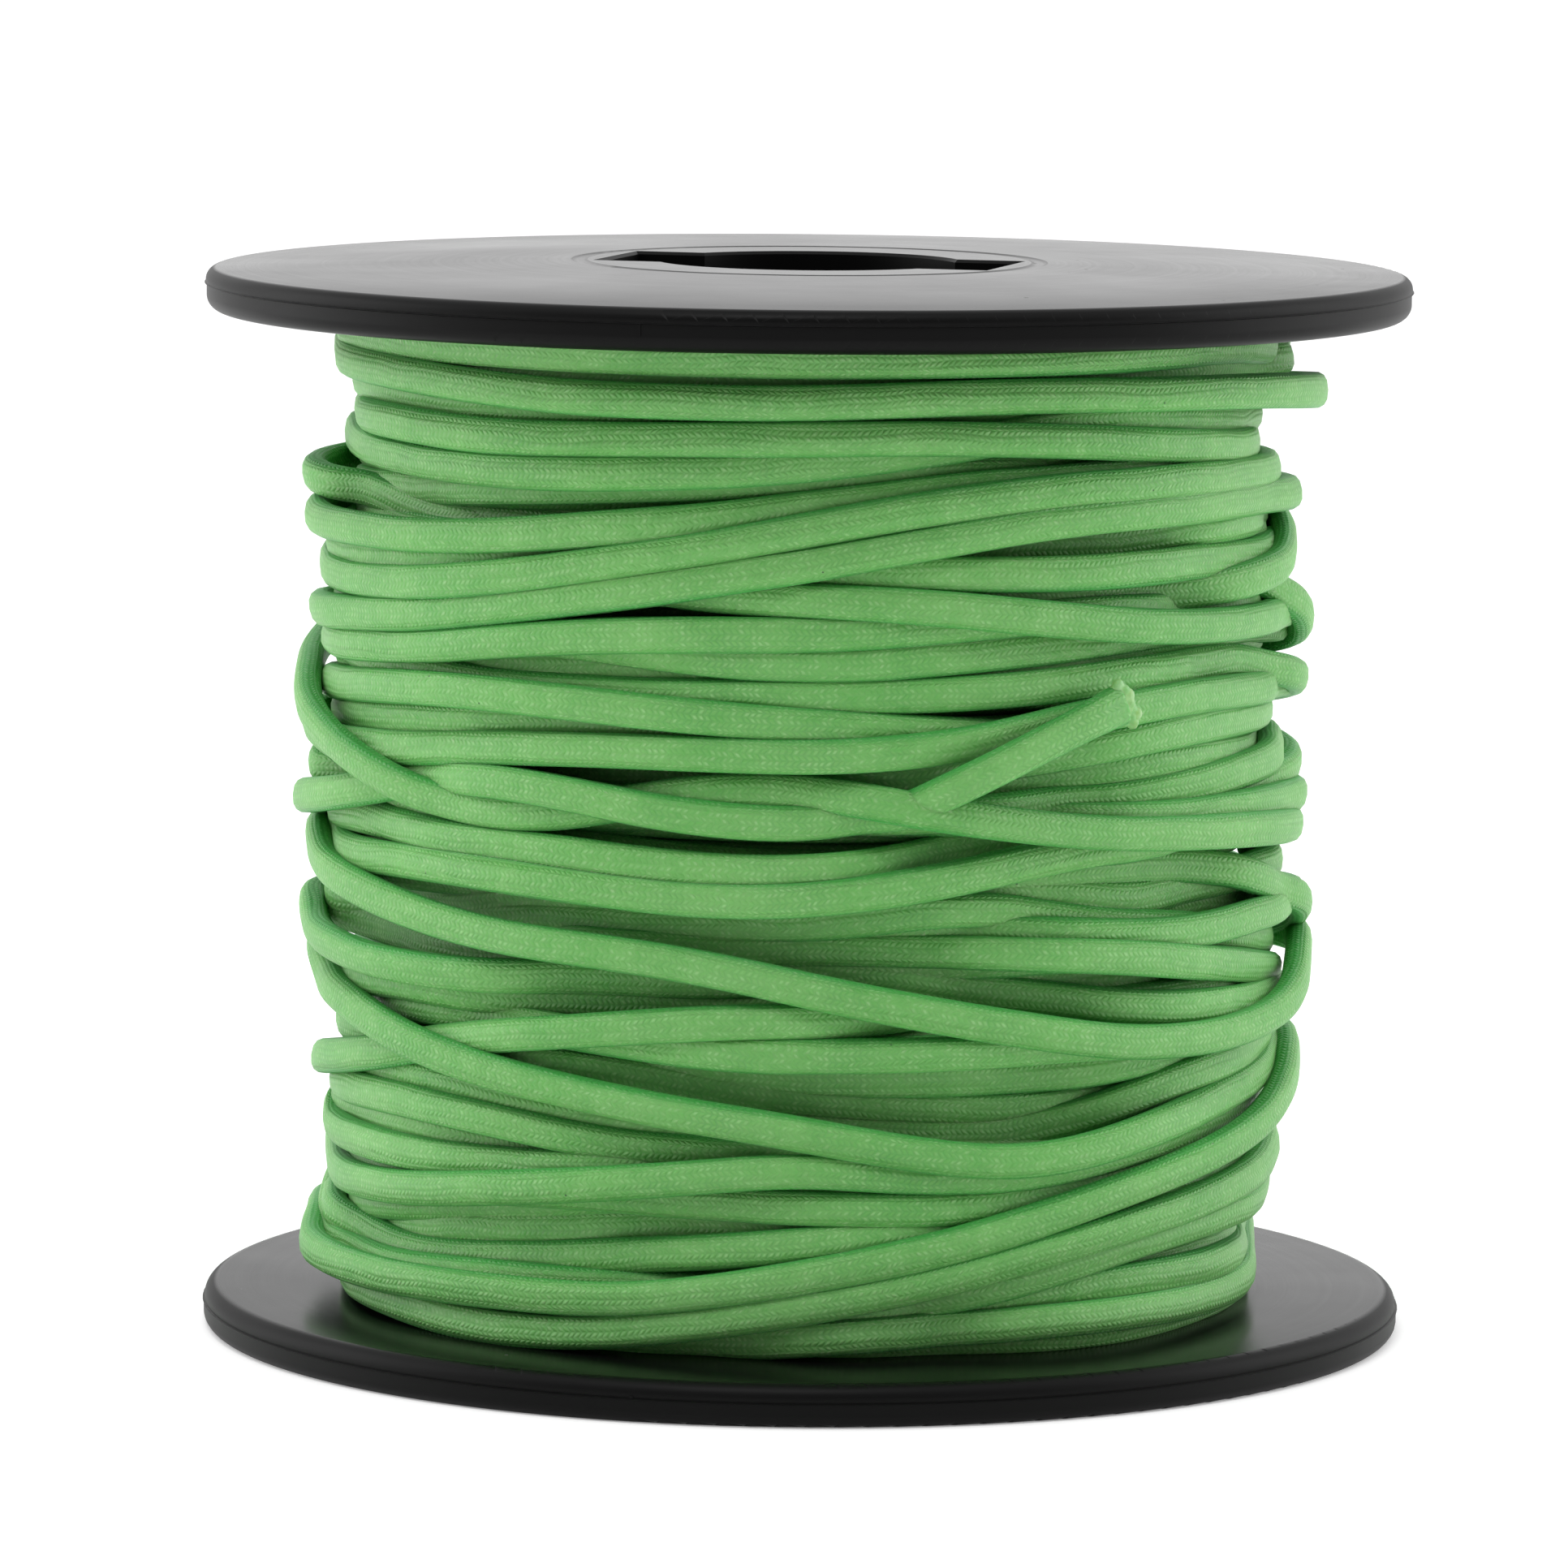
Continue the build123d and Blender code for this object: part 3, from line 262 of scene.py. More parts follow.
(-9.72,27.22,46.41),(-12.81,26.40,46.47),(-15.73,25.10,46.46),(-18.23,23.13,46.41),(-20.16,20.58,46.39),(-22.31,18.21,46.45),(-24.62,16.01,46.62),
(-26.03,13.17,46.89),(-27.07,10.16,47.20),(-28.01,7.11,47.49),(-28.79,4.02,47.71),(-29.21,0.86,47.83),(-28.85,-2.31,47.87),(-30.25,-5.17,47.86),
(-30.79,-8.27,47.97),(-30.07,-11.37,48.13),(-29.02,-14.39,48.29),(-27.57,-17.23,48.45),(-25.66,-19.79,48.65),(-23.50,-22.14,48.88),
(-21.27,-24.41,49.13),(-18.77,-26.40,49.41),(-16.09,-28.10,49.78),(-13.27,-29.53,50.24),(-10.32,-30.70,50.70),(-7.29,-31.57,51.21),
(-4.19,-32.18,51.72),(-1.05,-32.49,52.23),(2.10,-32.45,52.79),(5.23,-32.12,53.34),(8.33,-31.50,53.84),(11.33,-30.55,54.43),(14.21,-29.29,55.02),
(16.97,-27.76,55.54),(19.57,-25.97,56.01),(22.00,-23.92,56.39),(24.20,-21.62,56.63),(26.13,-19.07,56.75),(27.77,-16.32,56.77),(29.06,-13.40,56.76),
(29.97,-10.33,56.74),(30.60,-7.20,56.70),(31.02,-4.03,56.63),(31.20,-0.83,56.52),(31.62,2.33,56.41),(31.61,5.50,56.30),(30.38,8.45,56.19),
(28.46,10.90,56.10),(25.69,12.48,55.98),(24.04,15.21,55.90),(22.37,17.94,55.96),(20.05,20.11,56.11),(17.48,22.00,56.25),(14.87,23.86,56.28),
(12.33,25.79,56.16),(9.45,27.17,55.96),(6.38,28.02,55.79),(3.27,28.77,55.75),(0.08,28.75,55.84),(-3.08,28.30,55.99),(-6.20,27.74,56.06),
(-9.17,26.56,55.97),(-12.18,25.50,55.71),(-15.18,24.45,55.40),(-17.90,22.81,55.18),(-20.12,20.50,55.15),(-22.11,18.01,55.31),(-23.81,15.32,55.59),
(-25.29,12.49,55.85),(-26.47,9.52,56.00),(-27.35,6.45,56.02),(-28.04,3.33,56.00),(-28.38,0.17,56.02),(-28.20,-3.00,56.11),(-28.69,-6.12,56.20),
(-27.88,-9.21,56.29),(-26.70,-12.17,56.41),(-24.91,-14.82,56.55),(-22.97,-17.35,56.75),(-20.84,-19.73,56.99),(-18.65,-22.05,57.24),
(-16.58,-24.47,57.47),(-14.39,-26.76,57.70),(-11.59,-28.29,57.94),(-8.64,-29.49,58.17),(-5.56,-30.35,58.38),(-2.40,-30.78,58.58),(0.79,-30.78,58.78),
(3.96,-30.41,58.98),(7.07,-29.71,59.16),(10.10,-28.67,59.29),(12.97,-27.26,59.37),(15.63,-25.49,59.42),(18.14,-23.51,59.45),(20.45,-21.31,59.38),
(22.52,-18.88,59.16),(24.35,-16.26,58.89),(26.01,-13.55,58.57),(27.30,-10.64,58.25),(28.14,-7.57,57.92),(28.87,-4.48,57.59),(29.14,-1.31,57.26),
(29.33,1.87,56.93),(28.86,5.01,56.61),(27.98,8.07,56.29),(26.56,10.92,56.05),(26.12,14.07,56.12),(25.30,17.14,56.22),(23.65,19.88,56.28),
(21.57,22.31,56.24),(19.22,24.46,56.07),(16.63,26.32,55.79),(13.88,27.91,55.45),(10.98,29.23,55.11),(7.97,30.27,54.84),(4.86,31.00,54.66),
(1.69,31.41,54.55),(-1.50,31.53,54.51),(-4.70,31.36,54.50),(-7.85,30.82,54.49),(-10.93,29.95,54.50),(-13.92,28.81,54.55),(-16.78,27.40,54.69),
(-19.44,25.64,54.93),(-21.87,23.59,55.28),(-24.05,21.29,55.72),(-25.95,18.76,56.19),(-27.57,16.04,56.61),(-29.01,13.20,56.92),(-30.19,10.23,57.06),
(-30.58,7.08,57.02),(-29.68,4.03,56.86),(-29.15,0.92,56.61),(-28.57,-2.20,56.33),(-27.68,-5.27,56.14),(-26.92,-8.37,56.14),(-25.80,-11.37,56.14),
(-24.33,-14.21,56.13),(-22.54,-16.86,56.13),(-20.45,-19.27,56.12),(-18.12,-21.47,56.12),(-15.58,-23.42,56.11),(-12.85,-25.08,56.10),
(-9.93,-26.38,56.09),(-6.88,-27.32,56.07),(-3.72,-27.85,56.05),(-0.53,-28.09,56.02),(2.66,-28.01,55.98),(5.83,-27.55,55.93),(8.92,-26.74,55.87),
(11.90,-25.56,55.79),(14.70,-24.04,55.68),(17.29,-22.17,55.55),(19.71,-20.08,55.37),(21.85,-17.72,55.14),(23.77,-15.18,54.84),(25.33,-12.42,54.46),
(26.65,-9.55,53.97),(27.92,-6.68,53.35),(28.83,-3.72,52.57),(29.93,-0.91,51.53),(31.26,1.71,50.28),(32.32,4.50,49.15),(32.17,7.40,47.86),
(31.03,10.09,46.67),(28.24,11.38,45.98),(25.52,12.74,45.36),(25.30,15.80,44.79),(24.78,18.84,44.33),(22.57,21.08,43.89),(19.56,21.93,43.55),
(16.62,22.76,42.90),(14.03,24.58,42.55),(11.39,26.37,42.55),(8.43,27.56,42.78),(5.33,28.26,43.12),(2.16,28.52,43.42),(-1.03,28.41,43.61),
(-4.19,27.91,43.67),(-7.31,27.19,43.64),(-10.36,26.23,43.56),(-13.26,24.89,43.46),(-16.05,23.33,43.33),(-18.52,21.33,43.16),(-20.78,19.07,42.94),
(-22.79,16.60,42.74),(-24.53,13.91,42.65),(-25.91,11.03,42.76),(-27.10,8.08,43.09),(-28.21,5.12,43.57),(-28.77,2.02,44.08),(-28.34,-1.11,44.49),
(-28.24,-4.28,44.62),(-28.47,-7.46,44.76),(-27.81,-10.55,44.96),(-26.25,-13.33,45.23),(-24.54,-16.01,45.53),(-22.75,-18.64,45.82),
(-20.67,-21.06,46.11),(-18.32,-23.21,46.40),(-15.84,-25.21,46.59),(-13.15,-26.94,46.70),(-10.24,-28.26,46.77),(-7.18,-29.19,46.86),
(-4.04,-29.78,46.94),(-0.85,-30.06,47.01),(2.35,-30.05,47.00),(5.52,-29.68,46.92),(8.64,-28.98,46.82),(11.68,-27.98,46.74),(14.55,-26.57,46.67),
(17.25,-24.87,46.62),(19.78,-22.91,46.58),(22.07,-20.67,46.55),(23.97,-18.11,46.53),(25.41,-15.26,46.51),(26.45,-12.23,46.49),(27.40,-9.18,46.48),
(28.33,-6.12,46.47),(28.97,-2.98,46.46),(29.11,0.21,46.46),(28.87,3.40,46.45),(28.78,6.58,46.45),(28.10,9.60,46.44),(25.95,11.96,46.42),
(24.95,14.98,46.31),(24.56,18.15,46.21),(23.15,21.00,46.15),(21.08,23.43,46.13),(18.61,25.46,46.16),(15.94,27.22,46.20),(13.09,28.67,46.24),
(10.07,29.71,46.23),(6.96,30.47,46.16),(3.80,30.94,46.05),(0.61,31.10,45.92),(-2.59,30.97,45.83),(-5.76,30.54,45.81),(-8.87,29.80,45.89),
(-11.88,28.73,46.06),(-14.76,27.35,46.28),(-17.50,25.73,46.51),(-20.11,23.88,46.69),(-22.52,21.79,46.78),(-24.56,19.33,46.75),(-26.14,16.55,46.63),
(-27.34,13.60,46.43),(-28.13,10.51,46.22),(-28.73,7.37,46.04),(-29.16,4.20,45.92),(-29.44,1.02,45.87),(-28.71,-2.08,45.87),(-28.84,-5.19,45.88),
(-29.14,-8.35,45.85),(-28.14,-11.39,45.82),(-26.81,-14.29,45.78),(-25.41,-17.17,45.73),(-23.64,-19.83,45.66),(-21.51,-22.21,45.58),
(-19.08,-24.29,45.48),(-16.47,-26.13,45.34),(-13.71,-27.74,45.17),(-10.80,-29.07,45.15),(-7.76,-30.07,45.20),(-4.64,-30.75,45.23),(-1.46,-31.12,45.27),
(1.73,-31.19,45.35),(4.92,-30.96,45.45),(8.07,-30.39,45.53),(11.13,-29.45,45.54),(14.05,-28.16,45.52),(16.85,-26.61,45.57),(19.49,-24.81,45.69),
(21.92,-22.74,45.84),(24.06,-20.37,46.00),(25.79,-17.68,46.12),(27.07,-14.75,46.14),(27.90,-11.67,46.09),(28.24,-8.49,46.09),(29.18,-5.44,46.12),
(29.85,-2.33,45.82),(30.77,0.67,45.21),(32.09,3.52,44.61),(32.02,6.59,43.96),(30.82,9.47,43.30),(28.39,11.41,42.73),(25.67,12.99,42.26),
(23.94,15.62,41.71),(22.01,18.11,41.17),(19.94,20.50,40.68),(17.66,22.72,40.33),(15.48,25.05,40.14),(12.85,26.84,40.12),(9.92,28.12,40.18),
(6.90,29.20,40.26),(3.83,30.10,40.28),(0.70,30.71,40.25),(-2.50,30.83,40.20),(-5.65,30.29,40.21),(-8.67,29.26,40.37),(-11.55,27.92,40.69),
(-14.30,26.35,41.14),(-16.92,24.57,41.62),(-19.39,22.58,42.01),(-21.68,20.35,42.23),(-23.78,17.94,42.26),(-25.58,15.30,42.17),(-27.06,12.47,42.06),
(-28.21,9.49,42.01),(-29.03,6.39,42.06),(-29.30,3.22,42.20),(-28.78,0.07,42.38),(-29.27,-2.97,42.57),(-30.94,-5.66,42.72),(-30.27,-8.70,42.93),
(-29.08,-11.66,43.19),(-27.76,-14.56,43.45),(-26.19,-17.33,43.72),(-24.44,-20.00,43.98),(-22.54,-22.56,44.25),(-20.35,-24.87,44.51),
(-17.90,-26.92,44.70),(-15.24,-28.68,44.82),(-12.38,-30.13,44.84),(-9.38,-31.23,44.78),(-6.28,-31.99,44.67),(-3.11,-32.41,44.48),(0.08,-32.47,44.27),
(3.26,-32.17,44.07),(6.38,-31.52,43.86),(9.42,-30.53,43.67),(12.31,-29.20,43.42),(15.04,-27.56,43.16),(17.62,-25.67,42.90),(19.93,-23.49,42.60),
(21.48,-20.74,42.28),(23.10,-18.03,41.96),(24.99,-15.46,41.70),(26.55,-12.68,41.50),(27.68,-9.69,41.34),(28.44,-6.59,41.22),(28.91,-3.42,41.12),
(28.97,-0.23,41.05),(28.60,2.95,40.99),(28.14,6.11,40.94),(27.27,9.18,40.91),(25.88,12.06,40.83),(24.37,14.88,40.68),(22.67,17.58,40.51),
(20.54,19.95,40.36),(18.37,22.30,40.29),(16.92,25.14,40.34),(14.62,27.30,40.54),(11.75,28.66,40.87),(8.75,29.71,41.28),(5.68,30.51,41.69),
(2.54,30.98,42.01),(-0.65,31.06,42.21),(-3.84,30.76,42.26),(-6.97,30.14,42.20),(-10.06,29.30,42.09),(-13.05,28.16,41.99),(-15.89,26.71,41.94),
(-18.55,24.94,41.95),(-21.02,22.90,41.98),(-23.28,20.64,41.99),(-25.31,18.16,41.92),(-27.03,15.48,41.77),(-28.43,12.61,41.55),(-29.48,9.60,41.31),
(-30.16,6.48,41.10),(-30.31,3.30,40.95),(-29.41,0.24,40.87),(-29.12,-2.86,40.81),(-31.03,-5.40,40.74),(-31.47,-8.43,40.47),(-30.51,-11.46,40.11),
(-28.76,-14.04,39.62),(-26.39,-16.09,39.08),(-24.71,-18.74,38.43),(-22.46,-20.86,37.68),(-19.98,-22.72,36.91),(-17.50,-24.64,36.27),
(-14.76,-26.20,35.76),(-11.74,-27.10,35.36),(-8.57,-27.35,35.04),(-5.41,-27.77,34.78),(-2.23,-28.08,34.57),(0.96,-28.08,34.41),(4.14,-27.79,34.29),
(7.27,-27.14,34.19),(10.34,-26.22,34.12),(13.23,-24.86,34.06),(15.93,-23.16,34.02),(18.48,-21.23,33.98),(20.75,-18.97,33.96),(22.78,-16.50,33.94),
(24.48,-13.79,33.92),(25.89,-10.92,33.91),(26.97,-7.91,33.90),(27.77,-4.82,33.89),(28.35,-1.67,33.89),(28.72,1.50,33.88),(28.22,4.65,33.88),
(27.12,7.65,33.88),(26.52,10.74,33.88),(27.54,13.76,33.90),(27.30,16.91,33.93),(25.76,19.70,33.93),(23.69,22.13,33.91),(21.37,24.33,33.87),
(18.82,26.27,33.82),(16.10,27.94,33.79),(13.24,29.38,33.81),(10.26,30.55,33.90),(7.20,31.46,34.08),(4.09,32.16,34.35),(0.94,32.54,34.68),
(-2.24,32.52,35.06),(-5.38,32.10,35.44),(-8.43,31.21,35.79),(-11.37,29.97,36.09),(-14.23,28.55,36.31),(-17.03,27.02,36.46),(-19.71,25.28,36.53),
(-22.14,23.20,36.57),(-24.34,20.88,36.59),(-26.30,18.35,36.62),(-27.85,15.55,36.68),(-28.97,12.56,36.77),(-29.87,9.49,36.88),(-30.52,6.36,36.99),
(-30.79,3.18,37.07),(-30.33,0.03,37.11),(-28.80,-2.78,37.10),(-28.25,-5.90,37.06),(-28.72,-9.05,37.06),(-27.75,-11.92,37.06),(-25.25,-13.88,37.07),
(-23.68,-16.67,37.07),(-21.60,-19.08,37.08),(-19.17,-21.16,37.09),(-16.69,-23.17,37.10),(-13.98,-24.87,37.11),(-11.00,-26.02,37.13),
(-8.09,-27.35,37.15),(-5.00,-28.06,37.18),(-1.80,-28.09,37.22),(1.39,-28.21,37.27),(4.59,-28.16,37.33),(7.78,-27.98,37.41),(10.95,-27.55,37.52),
(14.08,-26.91,37.64),(17.05,-25.73,37.80),(19.59,-23.83,37.94),(21.02,-21.00,37.98),(22.90,-18.51,38.01),(25.27,-16.37,38.09),(27.22,-13.85,38.28),
(28.86,-11.11,38.53),(30.06,-8.16,38.72),(30.86,-5.07,38.91),(31.42,-1.92,39.08),(31.45,1.26,39.24),(30.72,4.37,39.39),(30.08,7.50,39.50),
(29.03,10.50,39.60),(26.44,12.30,39.64),(24.49,14.79,39.72),(22.68,17.42,39.87),(20.55,19.80,40.10),(18.22,21.96,40.44),(15.86,24.07,40.90),
(13.33,25.97,41.42),(10.60,27.55,41.89),(7.66,28.76,42.20),(4.53,29.43,42.28),(1.35,29.70,42.11),(-1.83,29.66,41.78),(-4.98,29.27,41.40),
(-8.01,28.29,41.10),(-10.96,27.07,40.95),(-13.74,25.50,40.96),(-16.41,23.73,41.06),(-18.88,21.70,41.16),(-21.15,19.46,41.21),(-23.25,17.05,41.20),
(-25.02,14.38,41.19),(-26.33,11.47,41.22),(-27.33,8.43,41.30),(-27.99,5.30,41.33),(-28.18,2.11,41.18),(-28.13,-1.04,40.67),(-27.94,-4.08,39.72),
(-28.14,-7.03,38.95),(-30.25,-9.37,38.50),(-30.22,-12.12,37.50),(-27.46,-13.56,37.45),(-24.68,-14.90,37.38),(-22.93,-17.56,37.26),
(-20.41,-19.52,37.18),(-18.03,-21.64,37.12),(-15.64,-23.77,37.07),(-12.87,-25.32,37.03),(-9.88,-26.47,37.01),(-6.81,-27.29,36.98),(-3.66,-27.86,36.97),
(-0.47,-28.10,36.95),(2.72,-27.97,36.94),(5.92,-27.82,36.94),(8.94,-26.79,36.93),(11.89,-25.55,36.93),(14.67,-23.98,36.92),(17.32,-22.19,36.92),
(19.70,-20.05,36.92),(21.89,-17.72,36.91),(23.76,-15.12,36.91),(25.26,-12.30,36.91),(26.50,-9.35,36.91),(27.47,-6.31,36.91),(28.11,-3.17,36.91),
(28.33,0.01,36.91),(27.94,3.19,36.91),(27.44,6.34,36.91),(26.56,9.42,36.91),(26.24,12.58,36.94),(25.60,15.71,36.97),(24.00,18.44,36.98),
(21.28,20.10,36.97),(18.79,22.09,36.90),(16.86,24.63,36.79),(14.50,26.72,36.63),(11.55,27.93,36.46),(8.51,28.93,36.31),(5.41,29.69,36.23),
(2.23,30.06,36.27),(-0.96,30.05,36.46),(-4.14,29.83,36.77),(-7.28,29.42,37.17),(-10.40,28.82,37.58),(-13.37,27.71,37.96),(-16.20,26.24,38.23),
(-18.87,24.49,38.36),(-21.34,22.45,38.34),(-23.58,20.18,38.19),(-25.52,17.65,37.96),(-26.95,14.81,37.71),(-27.97,11.78,37.48),(-28.79,8.69,37.33),
(-29.36,5.55,37.26),(-29.50,2.36,37.28),(-28.89,-0.77,37.35),(-28.01,-3.84,37.48),(-27.73,-7.02,37.51),(-27.31,-10.18,37.51),(-25.41,-12.71,37.51),
(-24.28,-15.67,37.51),(-22.30,-18.16,37.51),(-19.85,-20.21,37.50),(-17.45,-22.32,37.50),(-14.89,-24.22,37.49),(-11.99,-25.59,37.48),
(-9.07,-26.87,37.47),(-5.96,-27.62,37.46),(-2.78,-27.96,37.44),(0.42,-28.10,37.41),(3.61,-27.94,37.38),(6.79,-27.61,37.34),(9.85,-26.71,37.29),
(12.82,-25.50,37.22),(15.66,-24.04,37.13),(18.35,-22.33,37.02),(20.56,-20.02,36.90),(22.97,-17.93,36.79),(25.07,-15.51,36.71),(26.71,-12.78,36.66),
(28.33,-10.04,36.68),(29.62,-7.13,36.86),(30.48,-4.06,37.12),(31.01,-0.92,37.42),(31.61,2.20,37.75),(31.77,5.35,38.12),(31.01,8.42,38.59),
(29.06,10.79,39.08),(26.26,12.22,39.53),(24.20,14.62,39.94),(22.27,17.16,40.16),(20.23,19.61,40.41),(17.89,21.77,40.74),(15.32,23.61,41.15),
(12.55,25.16,41.59),(9.65,26.45,41.97),(6.60,27.37,42.19),(3.45,27.95,42.20),(0.27,28.18,42.02),(-2.92,28.06,41.72),(-6.05,27.57,41.38),
(-9.10,26.67,41.04),(-12.03,25.43,40.73),(-14.81,23.88,40.40),(-17.41,22.06,40.01),(-19.89,20.09,39.54),(-22.11,17.85,39.03),(-23.81,15.19,38.54),
(-25.30,12.39,38.17),(-26.49,9.42,38.00),(-27.40,6.36,38.06),(-27.98,3.22,38.32),(-28.19,0.05,38.67),(-29.01,-2.92,39.00),(-31.18,-5.26,39.17),
(-31.20,-8.22,39.29),(-29.51,-10.90,39.45),(-28.51,-13.93,39.62),(-27.31,-16.87,39.79),(-25.29,-19.35,39.96),(-23.07,-21.64,40.14),
(-20.72,-23.81,40.34),(-18.17,-25.71,40.62),(-15.45,-27.35,40.95),(-12.74,-29.03,41.25),(-9.84,-30.37,41.46),(-6.80,-31.33,41.63),(-3.66,-31.94,41.74),
(-0.47,-32.21,41.79),(2.72,-32.15,41.79),(5.90,-31.79,41.77),(9.03,-31.13,41.77),(12.09,-30.20,41.87),(15.04,-28.97,42.09),(17.80,-27.41,42.44),
(20.30,-25.47,42.89),(22.55,-23.26,43.41),(24.57,-20.82,43.87),(26.32,-18.16,44.17),(27.74,-15.30,44.31),(28.83,-12.29,44.33),(29.65,-9.20,44.26),
(30.27,-6.06,44.14),(30.78,-2.91,43.98),(31.20,0.25,43.82),(30.43,3.34,43.71),(30.49,6.44,43.62),(31.23,9.48,43.55),(29.83,12.32,43.47),
(28.09,14.99,43.17),(26.52,17.77,42.96),(24.79,20.46,42.90),(22.64,22.82,43.05),(20.21,24.86,43.40),(17.64,26.71,43.87),(14.97,28.41,44.36),
(12.18,29.91,44.77),(9.22,31.08,45.05),(6.13,31.90,45.24),(2.97,32.39,45.37),(-0.22,32.55,45.52),(-3.40,32.38,45.72),(-6.56,31.90,45.94),
(-9.65,31.11,46.11),(-12.66,30.01,46.15),(-15.53,28.61,46.05),(-18.22,26.89,45.82),(-20.69,24.89,45.55),(-22.99,22.67,45.36),(-25.11,20.27,45.34),
(-27.05,17.73,45.48),(-28.80,15.06,45.73),(-30.23,12.22,45.99),(-31.38,9.24,46.12),(-32.30,6.17,46.06),(-32.93,3.05,45.76),(-33.23,-0.09,45.24),
(-33.11,-3.22,44.63),(-32.51,-6.32,44.10),(-31.65,-9.36,43.62),(-30.79,-12.36,42.93),(-29.71,-15.20,41.95),(-28.17,-17.89,41.13),(-26.34,-20.40,40.37),
(-24.24,-22.68,39.59),(-21.87,-24.65,38.76),(-19.14,-26.09,37.93),(-16.14,-27.03,37.36),(-13.31,-28.48,37.10),(-10.36,-29.70,37.13),
(-7.25,-30.37,37.45),(-4.13,-30.67,38.07),(-1.02,-30.97,38.75),(2.14,-31.15,39.24),(5.31,-30.80,39.40),(8.36,-29.85,39.30),(11.51,-29.81,39.01),
(14.65,-29.73,38.56),(17.52,-28.46,38.01),(19.94,-26.46,37.47),(22.18,-24.22,36.99),(24.32,-21.88,36.57),(26.32,-19.40,36.23),(28.12,-16.77,35.98),
(29.68,-13.99,35.79),(30.98,-11.07,35.61),(31.95,-8.03,35.40),(32.58,-4.90,35.17),(32.86,-1.73,34.92),(32.74,1.46,34.66),(32.11,4.58,34.41),
(31.21,7.64,34.15),(29.47,10.28,33.93),(27.05,12.34,33.75),(26.34,15.43,33.52),(25.03,18.33,33.31),(23.00,20.79,33.13),(20.59,22.88,33.02),
(17.93,24.65,32.96),(15.04,26.01,32.95),(12.11,27.30,32.97),(9.12,28.44,32.99),(6.04,29.31,32.99),(2.85,29.34,32.98),(-0.34,29.26,32.94),
(-3.54,29.15,32.92),(-6.66,28.45,32.93),(-9.67,27.38,33.00),(-12.62,26.15,33.12),(-15.36,24.52,33.28),(-17.84,22.50,33.44),(-20.29,20.45,33.56),
(-22.39,18.05,33.61),(-24.10,15.35,33.56),(-25.36,12.41,33.43),(-26.67,9.50,33.26),(-27.44,6.40,33.09),(-28.01,3.26,32.99),(-28.42,0.12,32.97),
(-28.17,-3.07,33.06),(-28.05,-6.26,33.16),(-27.59,-9.43,33.16),(-26.49,-12.43,33.15),(-25.09,-15.30,33.15),(-23.37,-18.00,33.15),(-21.31,-20.44,33.14),
(-18.61,-22.13,33.13),(-15.94,-23.89,33.12),(-13.02,-25.18,33.11),(-10.08,-26.45,33.09),(-7.14,-27.71,33.07),(-3.99,-28.22,33.04),(-0.85,-28.82,33.01),
(2.34,-28.71,32.96),(5.50,-28.23,32.90),(8.58,-27.36,32.83),(11.54,-26.17,32.73),(14.41,-24.75,32.60),(16.99,-22.86,32.45),(19.47,-20.85,32.28),
(21.80,-18.68,32.03),(23.96,-16.36,31.64),(25.66,-13.68,31.33),(26.67,-10.65,31.26),(27.64,-7.61,31.47),(29.22,-4.84,31.69),(30.15,-1.80,31.71),
(30.48,1.38,31.71),(30.70,4.56,31.71),(30.10,7.70,31.71),(28.70,10.56,31.70),(27.32,13.39,31.82),(26.89,16.55,31.92),(25.52,19.43,31.97),
(23.46,21.87,31.99),(21.08,24.00,32.02),(18.43,25.79,32.06),(15.52,27.11,32.10),(12.59,28.41,32.09),(9.59,29.49,32.00),(6.50,30.29,31.81),
(3.33,30.61,31.53),(0.20,30.09,31.24),(-2.96,29.61,31.03),(-6.15,29.37,31.00),(-9.32,29.01,31.19),(-12.25,27.84,31.58),(-14.75,25.91,32.08),
(-17.29,24.04,32.60),(-19.59,21.86,33.02),(-21.75,19.51,33.26),(-23.69,16.97,33.31),(-25.32,14.22,33.24),(-26.63,11.30,33.11),(-27.59,8.26,33.00),
(-28.08,5.10,32.93),(-28.58,1.94,32.88),(-28.57,-1.25,32.83),(-28.04,-4.39,32.77),(-27.17,-7.46,32.77),(-26.16,-10.50,32.76),(-24.81,-13.40,32.76),
(-23.11,-16.11,32.75),(-21.17,-18.65,32.75),(-18.86,-20.85,32.74),(-16.37,-22.86,32.72),(-13.66,-24.56,32.71),(-10.78,-25.95,32.69),
(-7.76,-27.02,32.66),(-4.65,-27.71,32.62),(-1.47,-28.13,32.58),(1.72,-28.17,32.52),(4.90,-27.81,32.44),(8.02,-27.10,32.34),(11.00,-25.97,32.21),
(13.88,-24.60,32.04),(16.49,-22.76,31.83),(18.95,-20.74,31.55),(21.18,-18.47,31.21),(23.13,-15.96,30.88),(24.78,-13.24,30.52),(26.12,-10.35,30.25),
(27.17,-7.33,30.13),(28.51,-4.43,30.15),(29.52,-1.41,30.05),(29.80,1.77,29.88),(29.54,4.95,29.72),(29.13,8.12,29.56),(27.36,10.68,29.43),
(25.13,12.89,29.35),(24.23,15.96,29.24),(22.68,18.73,29.08),(20.42,20.98,28.90),(17.82,22.84,28.78),(14.89,24.11,28.81),(11.99,25.44,29.04),
(9.08,26.71,29.43),(6.17,27.96,29.85),(3.27,29.25,30.20),(0.14,28.81,30.45),(-3.01,28.28,30.64),(-6.18,27.93,30.89),(-9.22,27.08,31.29),
(-11.96,25.55,31.88),(-14.66,23.99,32.60),(-17.21,22.21,33.33),(-19.61,20.17,33.91),(-21.78,17.85,34.28),(-23.64,15.26,34.43),(-25.19,12.46,34.47),
(-26.44,9.51,34.48),(-27.35,6.45,34.49),(-27.92,3.30,34.45),(-28.23,0.13,34.25),(-28.85,-2.90,33.85),(-30.97,-5.25,33.44),(-31.32,-8.25,33.11),
